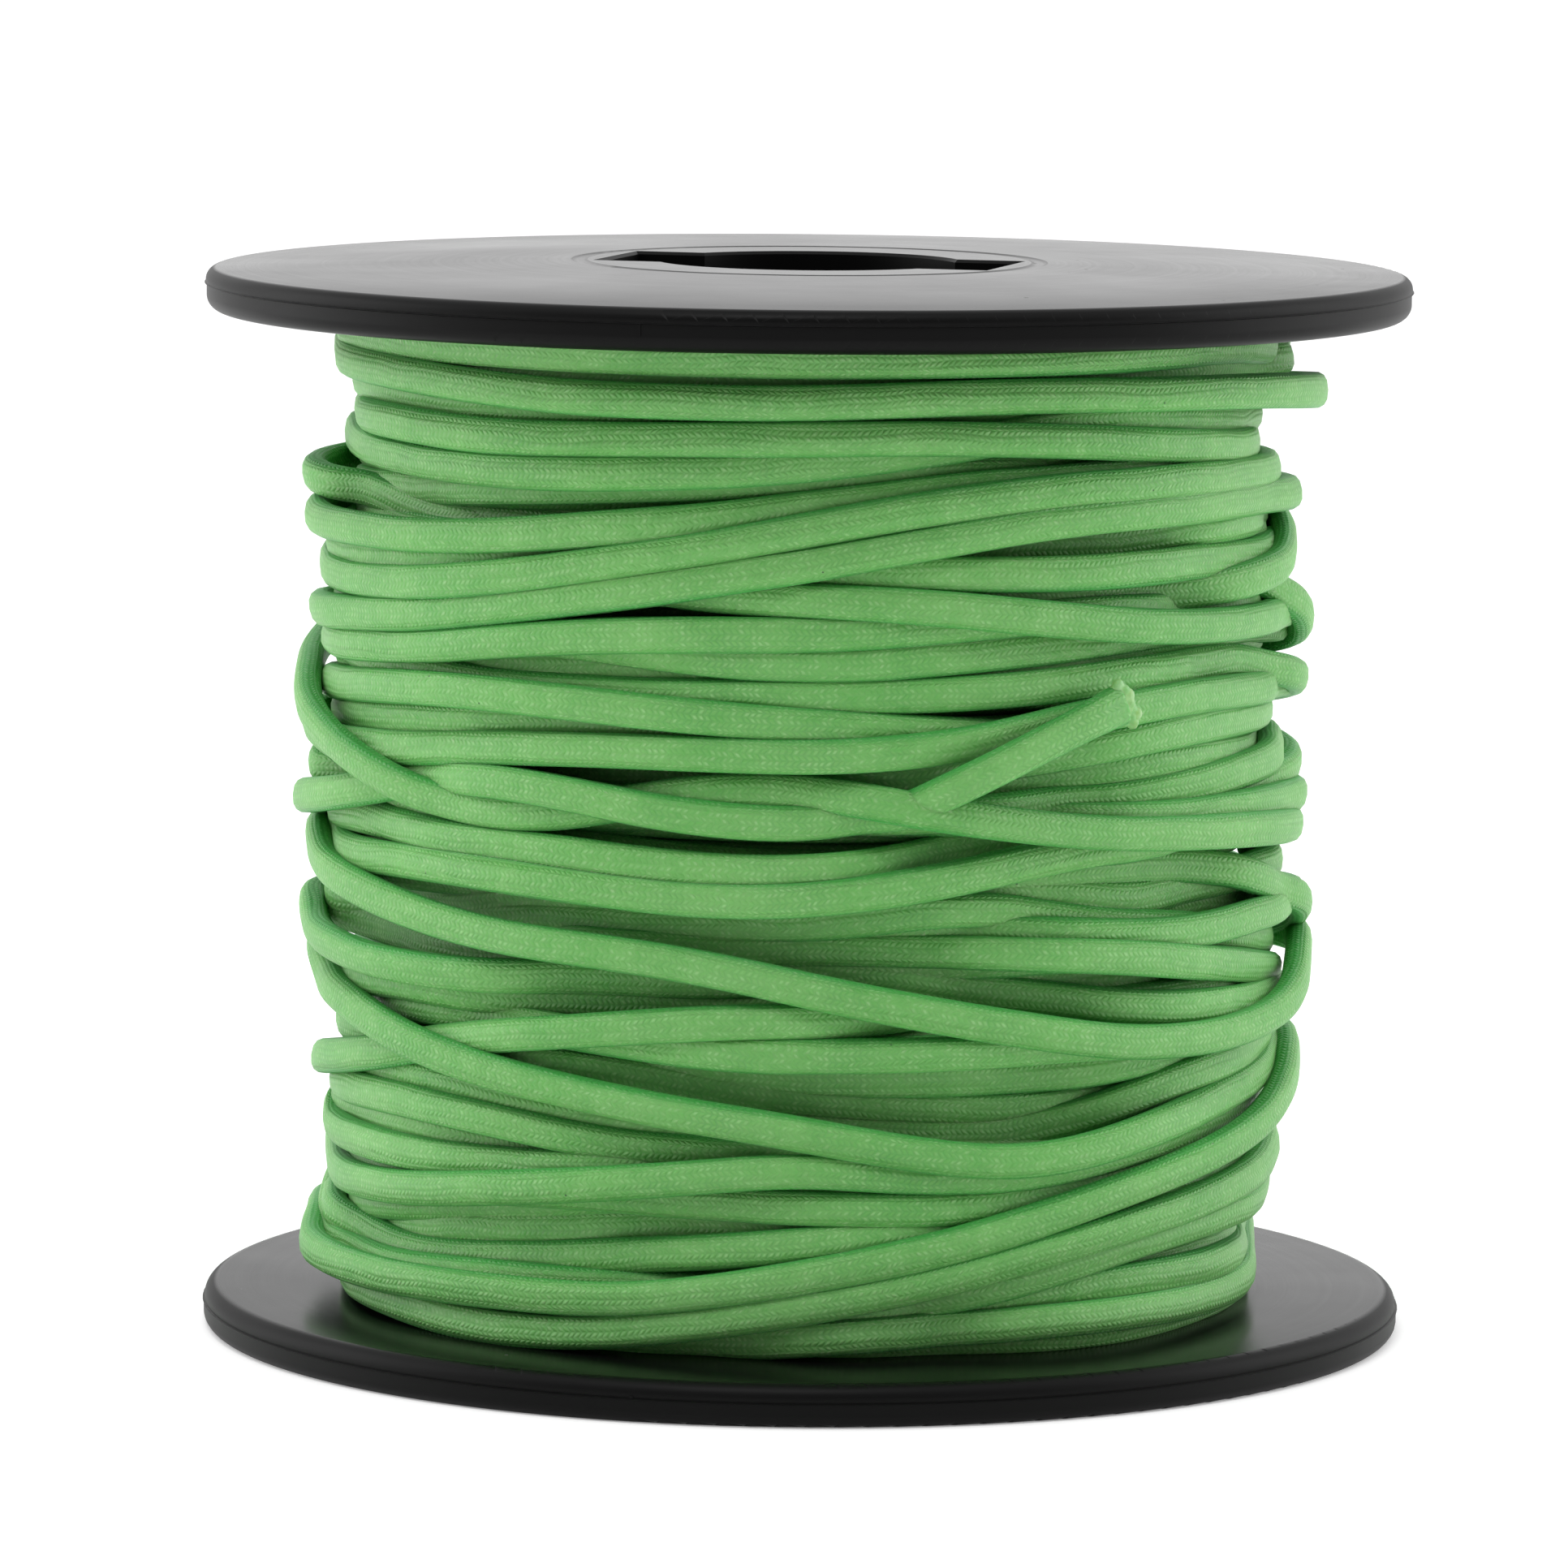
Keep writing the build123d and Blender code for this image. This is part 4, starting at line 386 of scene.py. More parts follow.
(-30.30,-11.25,32.69),(-29.19,-14.20,32.15),(-27.86,-17.07,31.68),(-26.12,-19.73,31.31),(-24.06,-22.15,30.95),(-21.73,-24.30,30.53),
(-19.19,-26.19,30.11),(-16.48,-27.85,29.72),(-13.64,-29.28,29.38),(-10.68,-30.47,29.15),(-7.62,-31.39,28.99),(-4.49,-32.00,28.82),(-1.31,-32.29,28.56),
(1.86,-32.24,28.16),(5.00,-31.88,27.64),(8.06,-31.24,27.00),(11.05,-30.31,26.34),(13.95,-29.11,25.70),(16.72,-27.65,25.07),(19.37,-25.96,24.46),
(21.85,-24.03,23.88),(24.15,-21.88,23.29),(26.22,-19.50,22.80),(28.08,-16.91,22.49),(29.72,-14.17,22.35),(31.14,-11.31,22.36),(32.29,-8.33,22.54),
(33.09,-5.25,22.89),(33.49,-2.13,23.43),(33.43,0.97,24.20),(32.92,3.97,25.18),(32.33,7.01,25.98),(31.62,10.12,26.20),(29.59,12.41,26.31),
(27.07,14.21,26.44),(25.95,17.19,26.65),(24.24,19.89,26.87),(22.15,22.30,27.07),(19.75,24.40,27.22),(17.06,26.13,27.31),(14.07,27.21,27.34),
(10.90,27.65,27.31),(7.79,28.38,27.26),(4.63,28.91,27.22),(1.47,29.38,27.22),(-1.72,29.46,27.28),(-4.90,29.11,27.39),(-8.03,28.46,27.53),
(-11.05,27.43,27.67),(-13.93,26.04,27.77),(-16.66,24.37,27.81),(-19.24,22.48,27.79),(-21.76,20.51,27.73),(-24.10,18.33,27.66),(-26.09,15.83,27.62),
(-27.60,13.02,27.62),(-28.73,10.02,27.69),(-29.22,6.87,27.80),(-29.00,3.69,27.95),(-28.65,0.51,28.09),(-28.31,-2.67,28.18),(-27.51,-5.76,28.18),
(-26.67,-8.85,28.18),(-25.49,-11.82,28.18),(-23.98,-14.64,28.17),(-22.16,-17.27,28.17),(-20.08,-19.70,28.17),(-17.75,-21.89,28.17),
(-15.16,-23.75,28.17),(-12.33,-25.25,28.16),(-9.38,-26.49,28.16),(-6.33,-27.43,28.15),(-3.17,-27.92,28.14),(0.02,-28.15,28.13),(3.22,-28.00,28.11),
(6.35,-27.38,28.09),(9.42,-26.47,28.06),(12.39,-25.29,28.03),(15.19,-23.74,27.99),(17.73,-21.80,27.93),(20.09,-19.64,27.85),(22.19,-17.23,27.76),
(24.04,-14.63,27.63),(25.54,-11.81,27.47),(26.76,-8.85,27.28),(27.65,-5.79,27.10),(28.06,-2.63,26.96),(28.49,0.52,26.77),(29.68,3.48,26.53),
(28.99,6.38,26.27),(26.78,8.57,26.05),(25.84,11.62,25.85),(24.72,14.60,25.70),(23.08,17.35,25.60),(21.34,20.03,25.61),(19.09,22.29,25.74),
(16.50,24.15,25.92),(13.69,25.67,26.07),(10.72,26.85,26.12),(7.67,27.83,26.05),(4.58,28.65,25.92),(1.41,28.99,25.82),(-1.78,28.85,25.86),
(-4.93,28.36,26.09),(-8.03,27.64,26.48),(-11.02,26.59,26.93),(-13.88,25.22,27.32),(-16.60,23.58,27.59),(-19.18,21.68,27.74),(-21.50,19.48,27.82),
(-23.75,17.21,27.93),(-25.59,14.61,28.13),(-27.04,11.77,28.41),(-28.10,8.77,28.72),(-28.66,5.64,28.98),(-28.72,2.45,29.11),(-28.65,-0.75,29.10),
(-28.41,-3.93,28.97),(-27.37,-6.95,28.92),(-26.62,-10.05,28.92),(-25.14,-12.88,28.92),(-23.41,-15.58,28.92),(-21.50,-18.14,28.92),
(-19.52,-20.65,28.92),(-17.08,-22.71,28.92),(-14.45,-24.53,28.92),(-11.57,-25.92,28.92),(-8.79,-27.46,28.92),(-6.22,-29.31,28.92),(-3.09,-29.90,28.91),
(0.06,-29.43,28.86),(3.20,-28.84,28.81),(6.23,-27.89,28.84),(9.25,-26.87,28.86),(12.31,-25.93,28.85),(15.29,-24.79,28.83),(18.44,-24.24,28.76),
(21.38,-23.01,28.64),(23.99,-21.17,28.47),(26.18,-18.86,28.18),(27.91,-16.21,27.78),(29.18,-13.31,27.33),(30.06,-10.27,26.90),(30.71,-7.17,26.44),
(31.16,-4.04,25.93),(31.18,-0.89,25.42),(31.01,2.27,24.95),(30.69,5.41,24.51),(29.17,8.18,24.09),(27.75,11.01,23.73),(27.55,14.17,23.33),
(26.50,17.17,23.02),(24.87,19.91,22.85),(22.96,22.47,22.85),(20.74,24.77,23.03),(18.27,26.77,23.38),(15.60,28.46,23.85),(12.72,29.74,24.40),
(9.65,30.42,24.95),(6.49,30.50,25.43),(3.32,30.43,25.81),(0.13,30.35,26.06),(-3.06,30.16,26.20),(-6.23,29.73,26.29),(-9.35,29.01,26.42),
(-12.35,27.95,26.65),(-15.20,26.54,26.98),(-17.89,24.86,27.40),(-20.47,23.02,27.84),(-22.94,21.03,28.26),(-25.17,18.76,28.60),(-27.02,16.17,28.82),
(-28.51,13.34,28.94),(-29.63,10.34,28.94),(-30.38,7.24,28.84),(-30.68,4.06,28.60),(-30.25,0.94,28.19),(-29.00,-1.92,27.56),(-30.56,-4.48,26.81),
(-31.42,-7.37,26.13),(-30.55,-10.20,25.13),(-29.13,-12.61,23.81),(-27.97,-15.58,23.64),(-26.53,-18.42,23.41),(-24.68,-21.00,23.01),
(-22.59,-23.36,22.51),(-20.32,-25.54,21.93),(-17.79,-27.43,21.40),(-15.01,-28.92,20.87),(-12.09,-30.11,20.38),(-9.05,-31.05,19.99),
(-5.95,-31.73,19.59),(-2.81,-32.12,19.16),(0.36,-32.22,18.73),(3.53,-32.04,18.34),(6.66,-31.56,17.90),(9.72,-30.80,17.37),(12.69,-29.77,16.79),
(15.57,-28.47,16.25),(18.31,-26.90,15.78),(20.91,-25.05,15.54),(23.28,-22.91,15.63),(25.38,-20.53,16.00),(27.15,-17.91,16.51),(28.54,-15.07,16.98),
(29.55,-12.07,17.38),(30.27,-8.97,17.70),(30.82,-5.83,17.99),(31.17,-2.66,18.25),(31.15,0.53,18.53),(30.76,3.67,18.95),(30.19,6.78,19.46),
(29.00,9.69,19.91),(26.56,11.68,20.30),(24.79,14.22,20.94),(23.06,16.86,21.42),(21.05,19.32,21.81),(18.79,21.56,22.16),(16.29,23.52,22.48),
(13.57,25.19,22.73),(10.65,26.48,22.86),(7.61,27.46,22.83),(4.51,28.18,22.61),(1.35,28.53,22.23),(-1.80,28.78,21.76),(-4.92,28.32,21.30),
(-8.00,27.54,20.91),(-10.97,26.39,20.65),(-13.89,25.08,20.54),(-16.64,23.46,20.52),(-19.24,21.59,20.55),(-21.48,19.31,20.57),(-23.32,16.70,20.56),
(-24.88,13.91,20.52),(-26.30,11.04,20.49),(-27.46,8.06,20.53),(-28.25,4.99,20.65),(-28.32,1.80,20.85),(-28.46,-1.39,21.07),(-27.81,-4.51,21.27),
(-27.25,-7.64,21.19),(-27.30,-10.73,21.09),(-25.85,-13.22,20.96),(-23.53,-15.37,20.89),(-21.63,-17.94,20.87),(-19.50,-20.32,20.82),
(-17.05,-22.38,20.81),(-14.41,-24.19,20.80),(-11.60,-25.70,20.80),(-8.62,-26.88,20.79),(-5.52,-27.64,20.79),(-2.35,-28.07,20.78),(0.85,-28.15,20.78),
(4.03,-27.87,20.78),(7.17,-27.22,20.78),(10.20,-26.21,20.78),(13.11,-24.89,20.77),(15.85,-23.24,20.77),(18.37,-21.27,20.77),(20.66,-19.04,20.77),
(22.74,-16.61,20.77),(24.49,-13.93,20.77),(25.87,-11.05,20.77),(27.01,-8.06,20.77),(27.69,-4.94,20.77),(28.04,-1.76,20.77),(28.06,1.44,20.77),
(27.78,4.63,20.77),(27.05,7.74,20.77),(25.99,10.76,20.77),(24.62,13.65,20.74),(22.93,16.36,20.73),(20.89,18.82,20.78),(18.65,21.10,20.91),
(16.14,23.08,21.04),(13.42,24.76,21.09),(10.53,26.12,21.01),(7.50,27.15,20.83),(4.38,27.82,20.66),(1.21,28.18,20.60),(-1.99,28.11,20.72),
(-5.15,27.69,21.02),(-8.23,26.95,21.38),(-11.21,25.82,21.68),(-14.05,24.36,21.85),(-16.73,22.61,21.87),(-19.17,20.54,21.83),(-21.38,18.23,21.82),
(-23.31,15.69,21.94),(-24.94,12.95,22.18),(-26.26,10.05,22.49),(-27.22,7.02,22.77),(-27.90,3.90,22.96),(-28.16,0.71,23.06),(-28.15,-2.48,23.15),
(-28.19,-5.66,23.30),(-28.40,-8.81,23.55),(-27.93,-11.89,23.83),(-26.69,-14.83,24.12),(-25.37,-17.73,24.41),(-23.58,-20.35,24.70),
(-21.39,-22.67,24.95),(-18.92,-24.70,25.03),(-16.17,-26.31,24.97),(-13.09,-27.14,24.86),(-9.91,-27.46,24.86),(-6.72,-27.75,24.92),(-3.54,-28.06,24.99),
(-0.34,-28.15,25.03),(2.85,-28.07,25.07),(6.04,-27.78,25.19),(9.13,-26.99,25.35),(11.94,-25.49,25.48),(14.74,-23.93,25.58),(17.42,-22.19,25.66),
(19.75,-20.00,25.71),(21.97,-17.70,25.76),(24.26,-15.48,25.79),(25.74,-12.66,25.82),(26.69,-9.61,25.84),(27.52,-6.53,25.86),(27.93,-3.36,25.87),
(28.22,-0.17,25.88),(28.55,3.01,25.89),(28.13,6.13,25.89),(27.01,9.12,25.90),(27.03,12.24,25.90),(27.72,15.34,25.88),(26.71,18.34,25.85),
(24.86,20.94,25.83),(22.67,23.28,25.89),(20.26,25.37,26.06),(17.65,27.19,26.33),(14.82,28.65,26.64),(11.86,29.83,26.91),(8.80,30.75,27.07),
(5.64,31.20,27.08),(2.45,31.45,27.00),(-0.75,31.50,26.92),(-3.94,31.31,26.93),(-7.10,30.80,27.09),(-10.18,29.99,27.35),(-13.16,28.87,27.63),
(-16.03,27.46,27.83),(-18.78,25.83,27.89),(-21.41,24.02,27.82),(-23.86,21.97,27.69),(-26.00,19.59,27.59),(-27.79,16.95,27.59),(-29.33,14.14,27.73),
(-30.61,11.22,27.96),(-31.58,8.19,28.22),(-32.12,5.04,28.43),(-31.98,1.86,28.55),(-30.53,-0.94,28.61),(-28.44,-3.34,28.64),(-27.49,-6.39,28.69),
(-26.51,-9.43,28.76),(-25.27,-12.38,28.84),(-23.66,-15.15,28.95),(-21.79,-17.74,29.10),(-19.68,-20.13,29.28),(-17.43,-22.39,29.51),
(-14.92,-24.36,29.76),(-12.13,-25.89,30.01),(-9.27,-27.31,30.21),(-6.26,-28.39,30.32),(-3.15,-29.09,30.37),(0.04,-29.02,30.41),(3.22,-28.71,30.45),
(6.37,-28.18,30.56),(9.48,-27.46,30.75),(12.54,-26.60,31.14),(15.55,-25.62,31.54),(18.17,-23.81,31.54),(20.23,-21.41,31.08),(22.46,-19.21,30.45),
(24.56,-16.85,29.94),(26.33,-14.22,29.56),(27.78,-11.39,29.20),(28.97,-8.45,28.75),(29.93,-5.44,28.26),(30.48,-2.33,27.77),(30.57,0.83,27.28),
(30.33,3.98,26.79),(29.68,7.06,26.31),(28.18,9.85,25.89),(26.23,12.33,25.40),(24.81,15.15,24.91),(23.55,18.08,24.63),(21.78,20.73,24.49),
(19.44,22.90,24.49),(16.84,24.75,24.65),(14.08,26.33,24.99),(11.26,27.75,25.52),(8.40,29.02,26.19),(5.38,29.69,26.95),(2.31,30.18,27.74),
(-0.75,30.77,28.44),(-3.88,30.98,29.01),(-7.02,30.49,29.40),(-10.07,29.55,29.62),(-13.00,28.28,29.68),(-15.78,26.70,29.66),(-18.29,24.73,29.62),
(-20.45,22.38,29.60),(-22.66,20.06,29.62),(-24.69,17.59,29.69),(-26.41,14.90,29.77),(-27.79,12.01,29.82),(-28.85,8.99,29.80),(-29.51,5.87,29.72),
(-29.54,2.68,29.59),(-29.12,-0.48,29.42),(-28.21,-3.54,29.26),(-27.66,-6.64,28.90),(-29.28,-9.34,28.51),(-28.50,-12.18,27.93),(-25.78,-13.76,27.58),
(-23.52,-15.91,27.42),(-21.53,-18.41,27.35),(-19.56,-20.93,27.31),(-17.14,-23.01,27.35),(-14.36,-24.58,27.47),(-11.38,-25.72,27.59),
(-8.47,-27.05,27.63),(-5.41,-27.91,27.59),(-2.22,-28.09,27.37),(0.95,-28.30,27.09),(4.12,-27.92,26.86),(7.24,-27.25,26.69),(10.24,-26.16,26.55),
(13.15,-24.83,26.44),(15.88,-23.18,26.36),(18.42,-21.24,26.29),(20.70,-18.99,26.24),(22.84,-16.62,26.21),(24.96,-14.25,26.18),(26.04,-11.26,26.16),
(27.25,-8.30,26.14),(27.94,-5.18,26.12),(28.12,-2.00,26.11),(28.09,1.20,26.11),(28.08,4.40,26.10),(27.50,7.54,26.09),(26.39,10.50,26.09),
(24.80,13.27,26.01),(23.11,15.98,25.94),(21.14,18.51,25.97),(18.96,20.84,26.16),(16.50,22.85,26.49),(13.85,24.60,26.88),(10.98,25.99,27.18),
(7.96,27.02,27.32),(4.85,27.74,27.32),(1.67,28.11,27.28),(-1.53,28.09,27.34),(-4.70,27.73,27.56),(-7.80,27.01,27.88),(-10.80,25.95,28.19),
(-13.67,24.56,28.35),(-16.37,22.85,28.33),(-18.87,20.86,28.20),(-21.10,18.56,28.09),(-23.11,16.08,28.14),(-24.79,13.37,28.36),(-26.13,10.49,28.70),
(-27.15,7.47,29.03),(-27.81,4.35,29.23),(-28.10,1.17,29.30),(-28.15,-2.03,29.29),(-27.84,-5.19,29.26),(-27.07,-8.30,29.25),(-25.93,-11.28,29.24),
(-24.34,-14.06,29.22),(-22.58,-16.73,29.19),(-20.60,-19.24,29.16),(-18.40,-21.56,29.12),(-15.87,-23.51,29.06),(-13.12,-25.12,28.99),
(-10.12,-26.23,28.90),(-7.21,-27.55,28.78),(-4.07,-28.08,28.63),(-0.90,-28.44,28.44),(2.28,-28.50,28.19),(5.40,-27.91,27.86),(8.40,-26.86,27.50),
(11.43,-25.92,27.10),(14.38,-24.81,26.73),(16.94,-22.94,26.30),(19.41,-20.97,25.81),(21.97,-19.14,25.32),(24.84,-17.81,24.89),(27.18,-15.68,24.53),
(29.00,-13.07,24.30),(30.30,-10.15,24.10),(31.10,-7.07,23.90),(31.48,-3.90,23.73),(31.57,-0.70,23.57),(31.40,2.49,23.42),(30.97,5.65,23.28),
(30.19,8.74,23.15),(28.20,11.18,23.04),(25.79,13.24,22.89),(24.31,16.07,22.93),(22.53,18.72,23.16),(20.30,20.97,23.50),(17.77,22.90,23.83),
(15.15,24.73,24.01),(12.43,26.42,23.96),(9.62,27.89,23.65),(6.57,28.71,23.15),(3.53,29.53,22.57),(0.49,30.35,22.04),(-2.59,29.82,21.63),
(-5.51,28.58,21.39),(-8.61,27.78,21.30),(-11.57,26.57,21.34),(-14.54,25.40,21.44),(-17.33,23.84,21.58),(-19.89,21.93,21.75),(-22.15,19.69,21.99),
(-24.12,17.19,22.30),(-25.92,14.57,22.68),(-27.53,11.83,23.05),(-28.63,8.85,23.35),(-29.41,5.75,23.50),(-29.82,2.58,23.46),(-29.57,-0.59,23.27),
(-28.42,-3.55,23.00),(-27.36,-6.55,22.93),(-26.58,-9.64,23.02),(-25.24,-12.54,23.11),(-23.61,-15.29,23.21),(-21.70,-17.85,23.32),(-19.53,-20.20,23.44),
(-17.11,-22.29,23.54),(-14.46,-24.09,23.58),(-11.63,-25.58,23.50),(-8.66,-26.73,23.32),(-5.57,-27.54,23.14),(-2.41,-28.03,23.01),(0.78,-28.11,22.90),
(3.96,-27.82,22.82),(7.11,-27.24,22.76),(10.20,-26.44,22.71),(13.09,-25.08,22.68),(15.79,-23.36,22.65),(18.30,-21.37,22.63),(20.61,-19.16,22.61),
(22.78,-16.81,22.60),(24.57,-14.17,22.59),(25.92,-11.27,22.58),(27.08,-8.30,22.57),(27.71,-5.16,22.57),(28.07,-1.98,22.56),(28.09,1.21,22.56),
(28.08,4.41,22.56),(27.44,7.54,22.56),(26.59,10.63,22.55),(25.25,13.50,22.38),(23.70,16.30,22.29),(21.89,18.94,22.31),(19.69,21.26,22.42),
(17.23,23.29,22.59),(14.58,25.08,22.77),(11.72,26.49,22.90),(8.68,27.47,22.97),(5.59,28.32,22.98),(2.43,28.83,22.97),(-0.73,29.25,23.01),
(-3.86,28.65,23.13),(-6.99,28.04,23.34),(-10.13,27.49,23.60),(-13.08,26.31,23.87),(-15.90,24.81,24.07),(-18.70,23.25,24.16),(-21.52,21.74,24.12),
(-24.14,19.93,23.99),(-26.27,17.56,23.81),(-27.84,14.78,23.62),(-29.14,11.86,23.48),(-30.21,8.85,23.41),(-30.97,5.74,23.42),(-31.37,2.57,23.48),
(-31.00,-0.58,23.57),(-29.23,-3.20,23.64),(-27.77,-5.99,23.67),(-27.42,-9.16,23.66),(-26.60,-12.24,23.64),(-25.29,-15.16,23.62),(-23.81,-17.99,23.60),
(-21.98,-20.62,23.57),(-19.80,-22.95,23.53),(-17.21,-24.82,23.48),(-14.29,-26.11,23.42),(-11.50,-27.62,23.34),(-8.73,-29.19,23.26),
(-5.71,-30.23,23.13),(-2.60,-30.96,22.93),(0.56,-31.40,22.72),(3.75,-31.40,22.56),(6.90,-30.85,22.48),(9.87,-29.66,22.47),(12.93,-28.76,22.51),
(15.86,-27.49,22.55),(18.49,-25.67,22.55),(20.83,-23.49,22.57),(22.94,-21.09,22.57),(24.93,-18.59,22.50),(26.77,-15.98,22.34),(28.34,-13.20,22.14),
(29.41,-10.20,21.91),(29.81,-7.04,21.66),(29.85,-3.85,21.40),(29.67,-0.67,21.13),(30.05,2.49,20.87),(29.73,5.61,20.61),(27.89,8.19,20.37),
(26.73,11.15,20.16),(26.85,14.35,20.23),(25.98,17.41,20.26),(24.40,20.19,20.21),(22.47,22.73,20.08),(20.18,24.95,19.86),(17.64,26.88,19.61),
(14.90,28.51,19.39),(12.00,29.85,19.24),(8.97,30.88,19.19),(5.86,31.60,19.23),(2.69,32.00,19.34),(-0.51,32.07,19.48),(-3.70,31.83,19.63),
(-6.85,31.30,19.76),(-9.93,30.47,19.91),(-12.91,29.32,20.10),(-15.74,27.84,20.35),(-18.44,26.17,20.67),(-20.96,24.23,21.03),(-23.26,22.04,21.39),
(-25.36,19.64,21.68),(-27.22,17.05,21.86),(-28.81,14.27,21.90),(-30.07,11.34,21.80),(-30.95,8.27,21.63),(-31.37,5.10,21.46),(-31.38,1.91,21.37),
(-30.87,-1.24,21.42),(-29.12,-3.87,21.63),(-27.72,-6.65,21.83),(-27.88,-9.82,21.99),(-26.37,-12.60,22.16),(-24.47,-15.16,22.34),(-22.70,-17.82,22.49),
(-20.55,-20.18,22.54),(-18.13,-22.27,22.54),(-15.53,-24.13,22.52),(-12.78,-25.77,22.49),(-9.87,-27.11,22.46),(-6.84,-28.09,22.41),(-3.68,-28.58,22.38),
(-0.48,-28.78,22.35),(2.69,-28.42,22.33),(5.85,-27.94,22.31),(9.00,-27.42,22.30),(11.98,-26.25,22.29),(14.78,-24.72,22.28),(17.51,-23.06,22.28),
(19.97,-21.01,22.27),(22.27,-18.79,22.27),(24.46,-16.46,22.26),(25.99,-13.66,22.26),(27.25,-10.72,22.26),(28.02,-7.63,22.26),(28.60,-4.48,22.26),
(28.91,-1.30,22.26),(29.13,1.89,22.26),(29.25,5.07,22.26),(28.08,8.04,22.26),(26.67,10.90,22.26),(24.81,13.50,22.45),(23.30,16.31,22.51),
(21.31,18.81,22.51),(19.14,21.16,22.51),(16.69,23.22,22.54),(13.99,24.94,22.59),(11.06,26.18,22.59),(8.00,27.08,22.48),(4.99,28.09,22.20),
(1.83,28.38,21.77),(-1.31,28.63,21.28),(-4.46,28.29,20.82),(-7.53,27.48,20.51),(-10.55,26.43,20.39),(-13.47,25.17,20.45),(-16.08,23.34,20.61),
(-18.57,21.35,20.77),(-20.80,19.06,20.86),(-22.76,16.53,20.86),(-24.46,13.82,20.81),(-25.87,10.95,20.80),(-26.96,7.95,20.85),(-27.70,4.84,20.97),
(-28.05,1.66,21.09),(-28.06,-1.53,21.14),(-27.92,-4.73,21.01),(-27.58,-7.90,21.00),(-26.75,-10.99,21.00),(-25.34,-13.85,21.00),(-23.51,-16.47,20.99),
(-21.63,-19.06,20.99),(-19.52,-21.46,20.98),(-17.02,-23.44,20.97),(-14.41,-25.29,20.95),(-11.58,-26.78,20.94),(-8.63,-28.03,20.92),
(-5.48,-28.48,20.89),(-2.28,-28.61,20.85),(0.92,-28.60,20.81),(4.10,-28.31,20.76),(7.24,-27.69,20.64),(10.29,-26.74,20.55),(13.27,-25.57,20.52),
(16.07,-24.04,20.50),(18.49,-21.96,20.48),(20.84,-19.78,20.46),(23.54,-18.09,20.56),(25.74,-15.81,20.83),(27.18,-12.97,21.03),(28.13,-9.92,21.08),
(28.65,-6.77,20.93),(28.78,-3.58,20.72),(28.75,-0.39,20.52),(29.40,2.73,20.32),(28.85,5.77,20.12),(27.28,8.51,19.94),(26.10,11.46,19.77),
(24.71,14.33,19.56),(23.39,17.24,19.44),(22.51,20.30,19.35),(20.54,22.79,19.22),(18.11,24.87,19.02),(15.46,26.64,18.77),(12.65,28.13,18.50),
(9.69,29.34,18.27),(6.63,30.25,18.13),(3.48,30.82,18.12),(0.29,30.99,18.21),(-2.90,30.83,18.35),(-6.07,30.39,18.47),(-9.19,29.71,18.49),
(-12.28,28.87,18.38),(-15.28,27.80,18.16),(-18.12,26.36,17.89),(-20.70,24.49,17.61),(-23.05,22.33,17.39),(-25.17,19.94,17.27),(-27.02,17.33,17.23),
(-28.59,14.55,17.26),(-29.83,11.60,17.30),(-30.63,8.51,17.33),(-30.67,5.32,17.32),(-29.45,2.38,17.31),(-28.29,-0.59,17.33),(-28.18,-3.77,17.47),
(-28.11,-6.92,17.68),(-28.51,-10.03,17.90),(-27.28,-12.96,18.16),(-25.69,-15.72,18.42),(-24.01,-18.43,18.67),(-22.07,-20.97,18.92),
(-19.86,-23.28,19.05),(-17.42,-25.34,19.02),(-14.73,-27.05,18.85),(-11.79,-28.28,18.56),(-8.69,-28.97,18.19),(-5.55,-29.41,17.83),(-2.37,-29.43,17.50),
(0.78,-29.04,17.09),(3.92,-28.69,16.69),(6.90,-27.55,16.38),(9.94,-26.64,16.09),(12.91,-25.48,15.86),(15.65,-23.88,15.68),(18.17,-21.92,15.54),
(20.67,-19.94,15.44),(22.79,-17.54,15.35),(24.59,-14.90,15.29),(26.07,-12.07,15.24),(27.17,-9.07,15.20),(27.88,-5.95,15.17),(28.25,-2.78,15.15),
(28.21,0.42,15.13),(28.24,3.62,15.12),(27.80,6.78,15.11),(26.82,9.83,15.10),(25.23,12.59,15.09),(23.58,15.31,14.83),(21.69,17.86,14.41),
(19.55,20.19,13.96),(17.28,22.41,13.62),(14.54,24.05,13.46),(11.71,25.54,13.48),(8.74,26.73,13.63),(5.67,27.57,13.84),(2.50,27.99,14.02),
(-0.69,28.11,14.15),(-3.88,27.85,14.23),(-7.02,27.30,14.30),(-10.07,26.32,14.36),(-12.96,24.96,14.39),(-15.70,23.31,14.31),(-18.24,21.39,14.07),
(-20.56,19.24,13.62),(-22.72,16.95,13.01),(-24.89,14.71,12.35),(-26.52,12.03,11.73),(-27.78,9.12,11.26),(-28.66,6.06,11.03),(-29.32,2.93,11.05),
(-29.95,-0.20,11.26),(-29.74,-3.36,11.58),(-28.91,-6.43,11.79),(-27.90,-9.47,11.82),(-26.95,-12.52,11.86),(-25.70,-15.47,11.91),(-24.05,-18.20,11.98),
(-22.06,-20.71,12.06),(-19.84,-23.00,12.16),(-17.37,-25.03,12.29),(-14.60,-26.62,12.45),(-11.85,-28.25,12.65),(-8.92,-29.49,12.85),
(-5.81,-30.23,12.94),(-2.62,-30.35,12.86),(0.53,-29.83,12.70),(3.69,-29.86,12.66),(6.87,-30.21,12.69),(10.03,-29.81,12.66),(13.03,-28.71,12.54),
(15.80,-27.11,12.46),(18.34,-25.18,12.51),(20.65,-22.98,12.73),(22.82,-20.65,13.07),(24.92,-18.25,13.33),(26.76,-15.65,13.57),(28.20,-12.80,13.78),
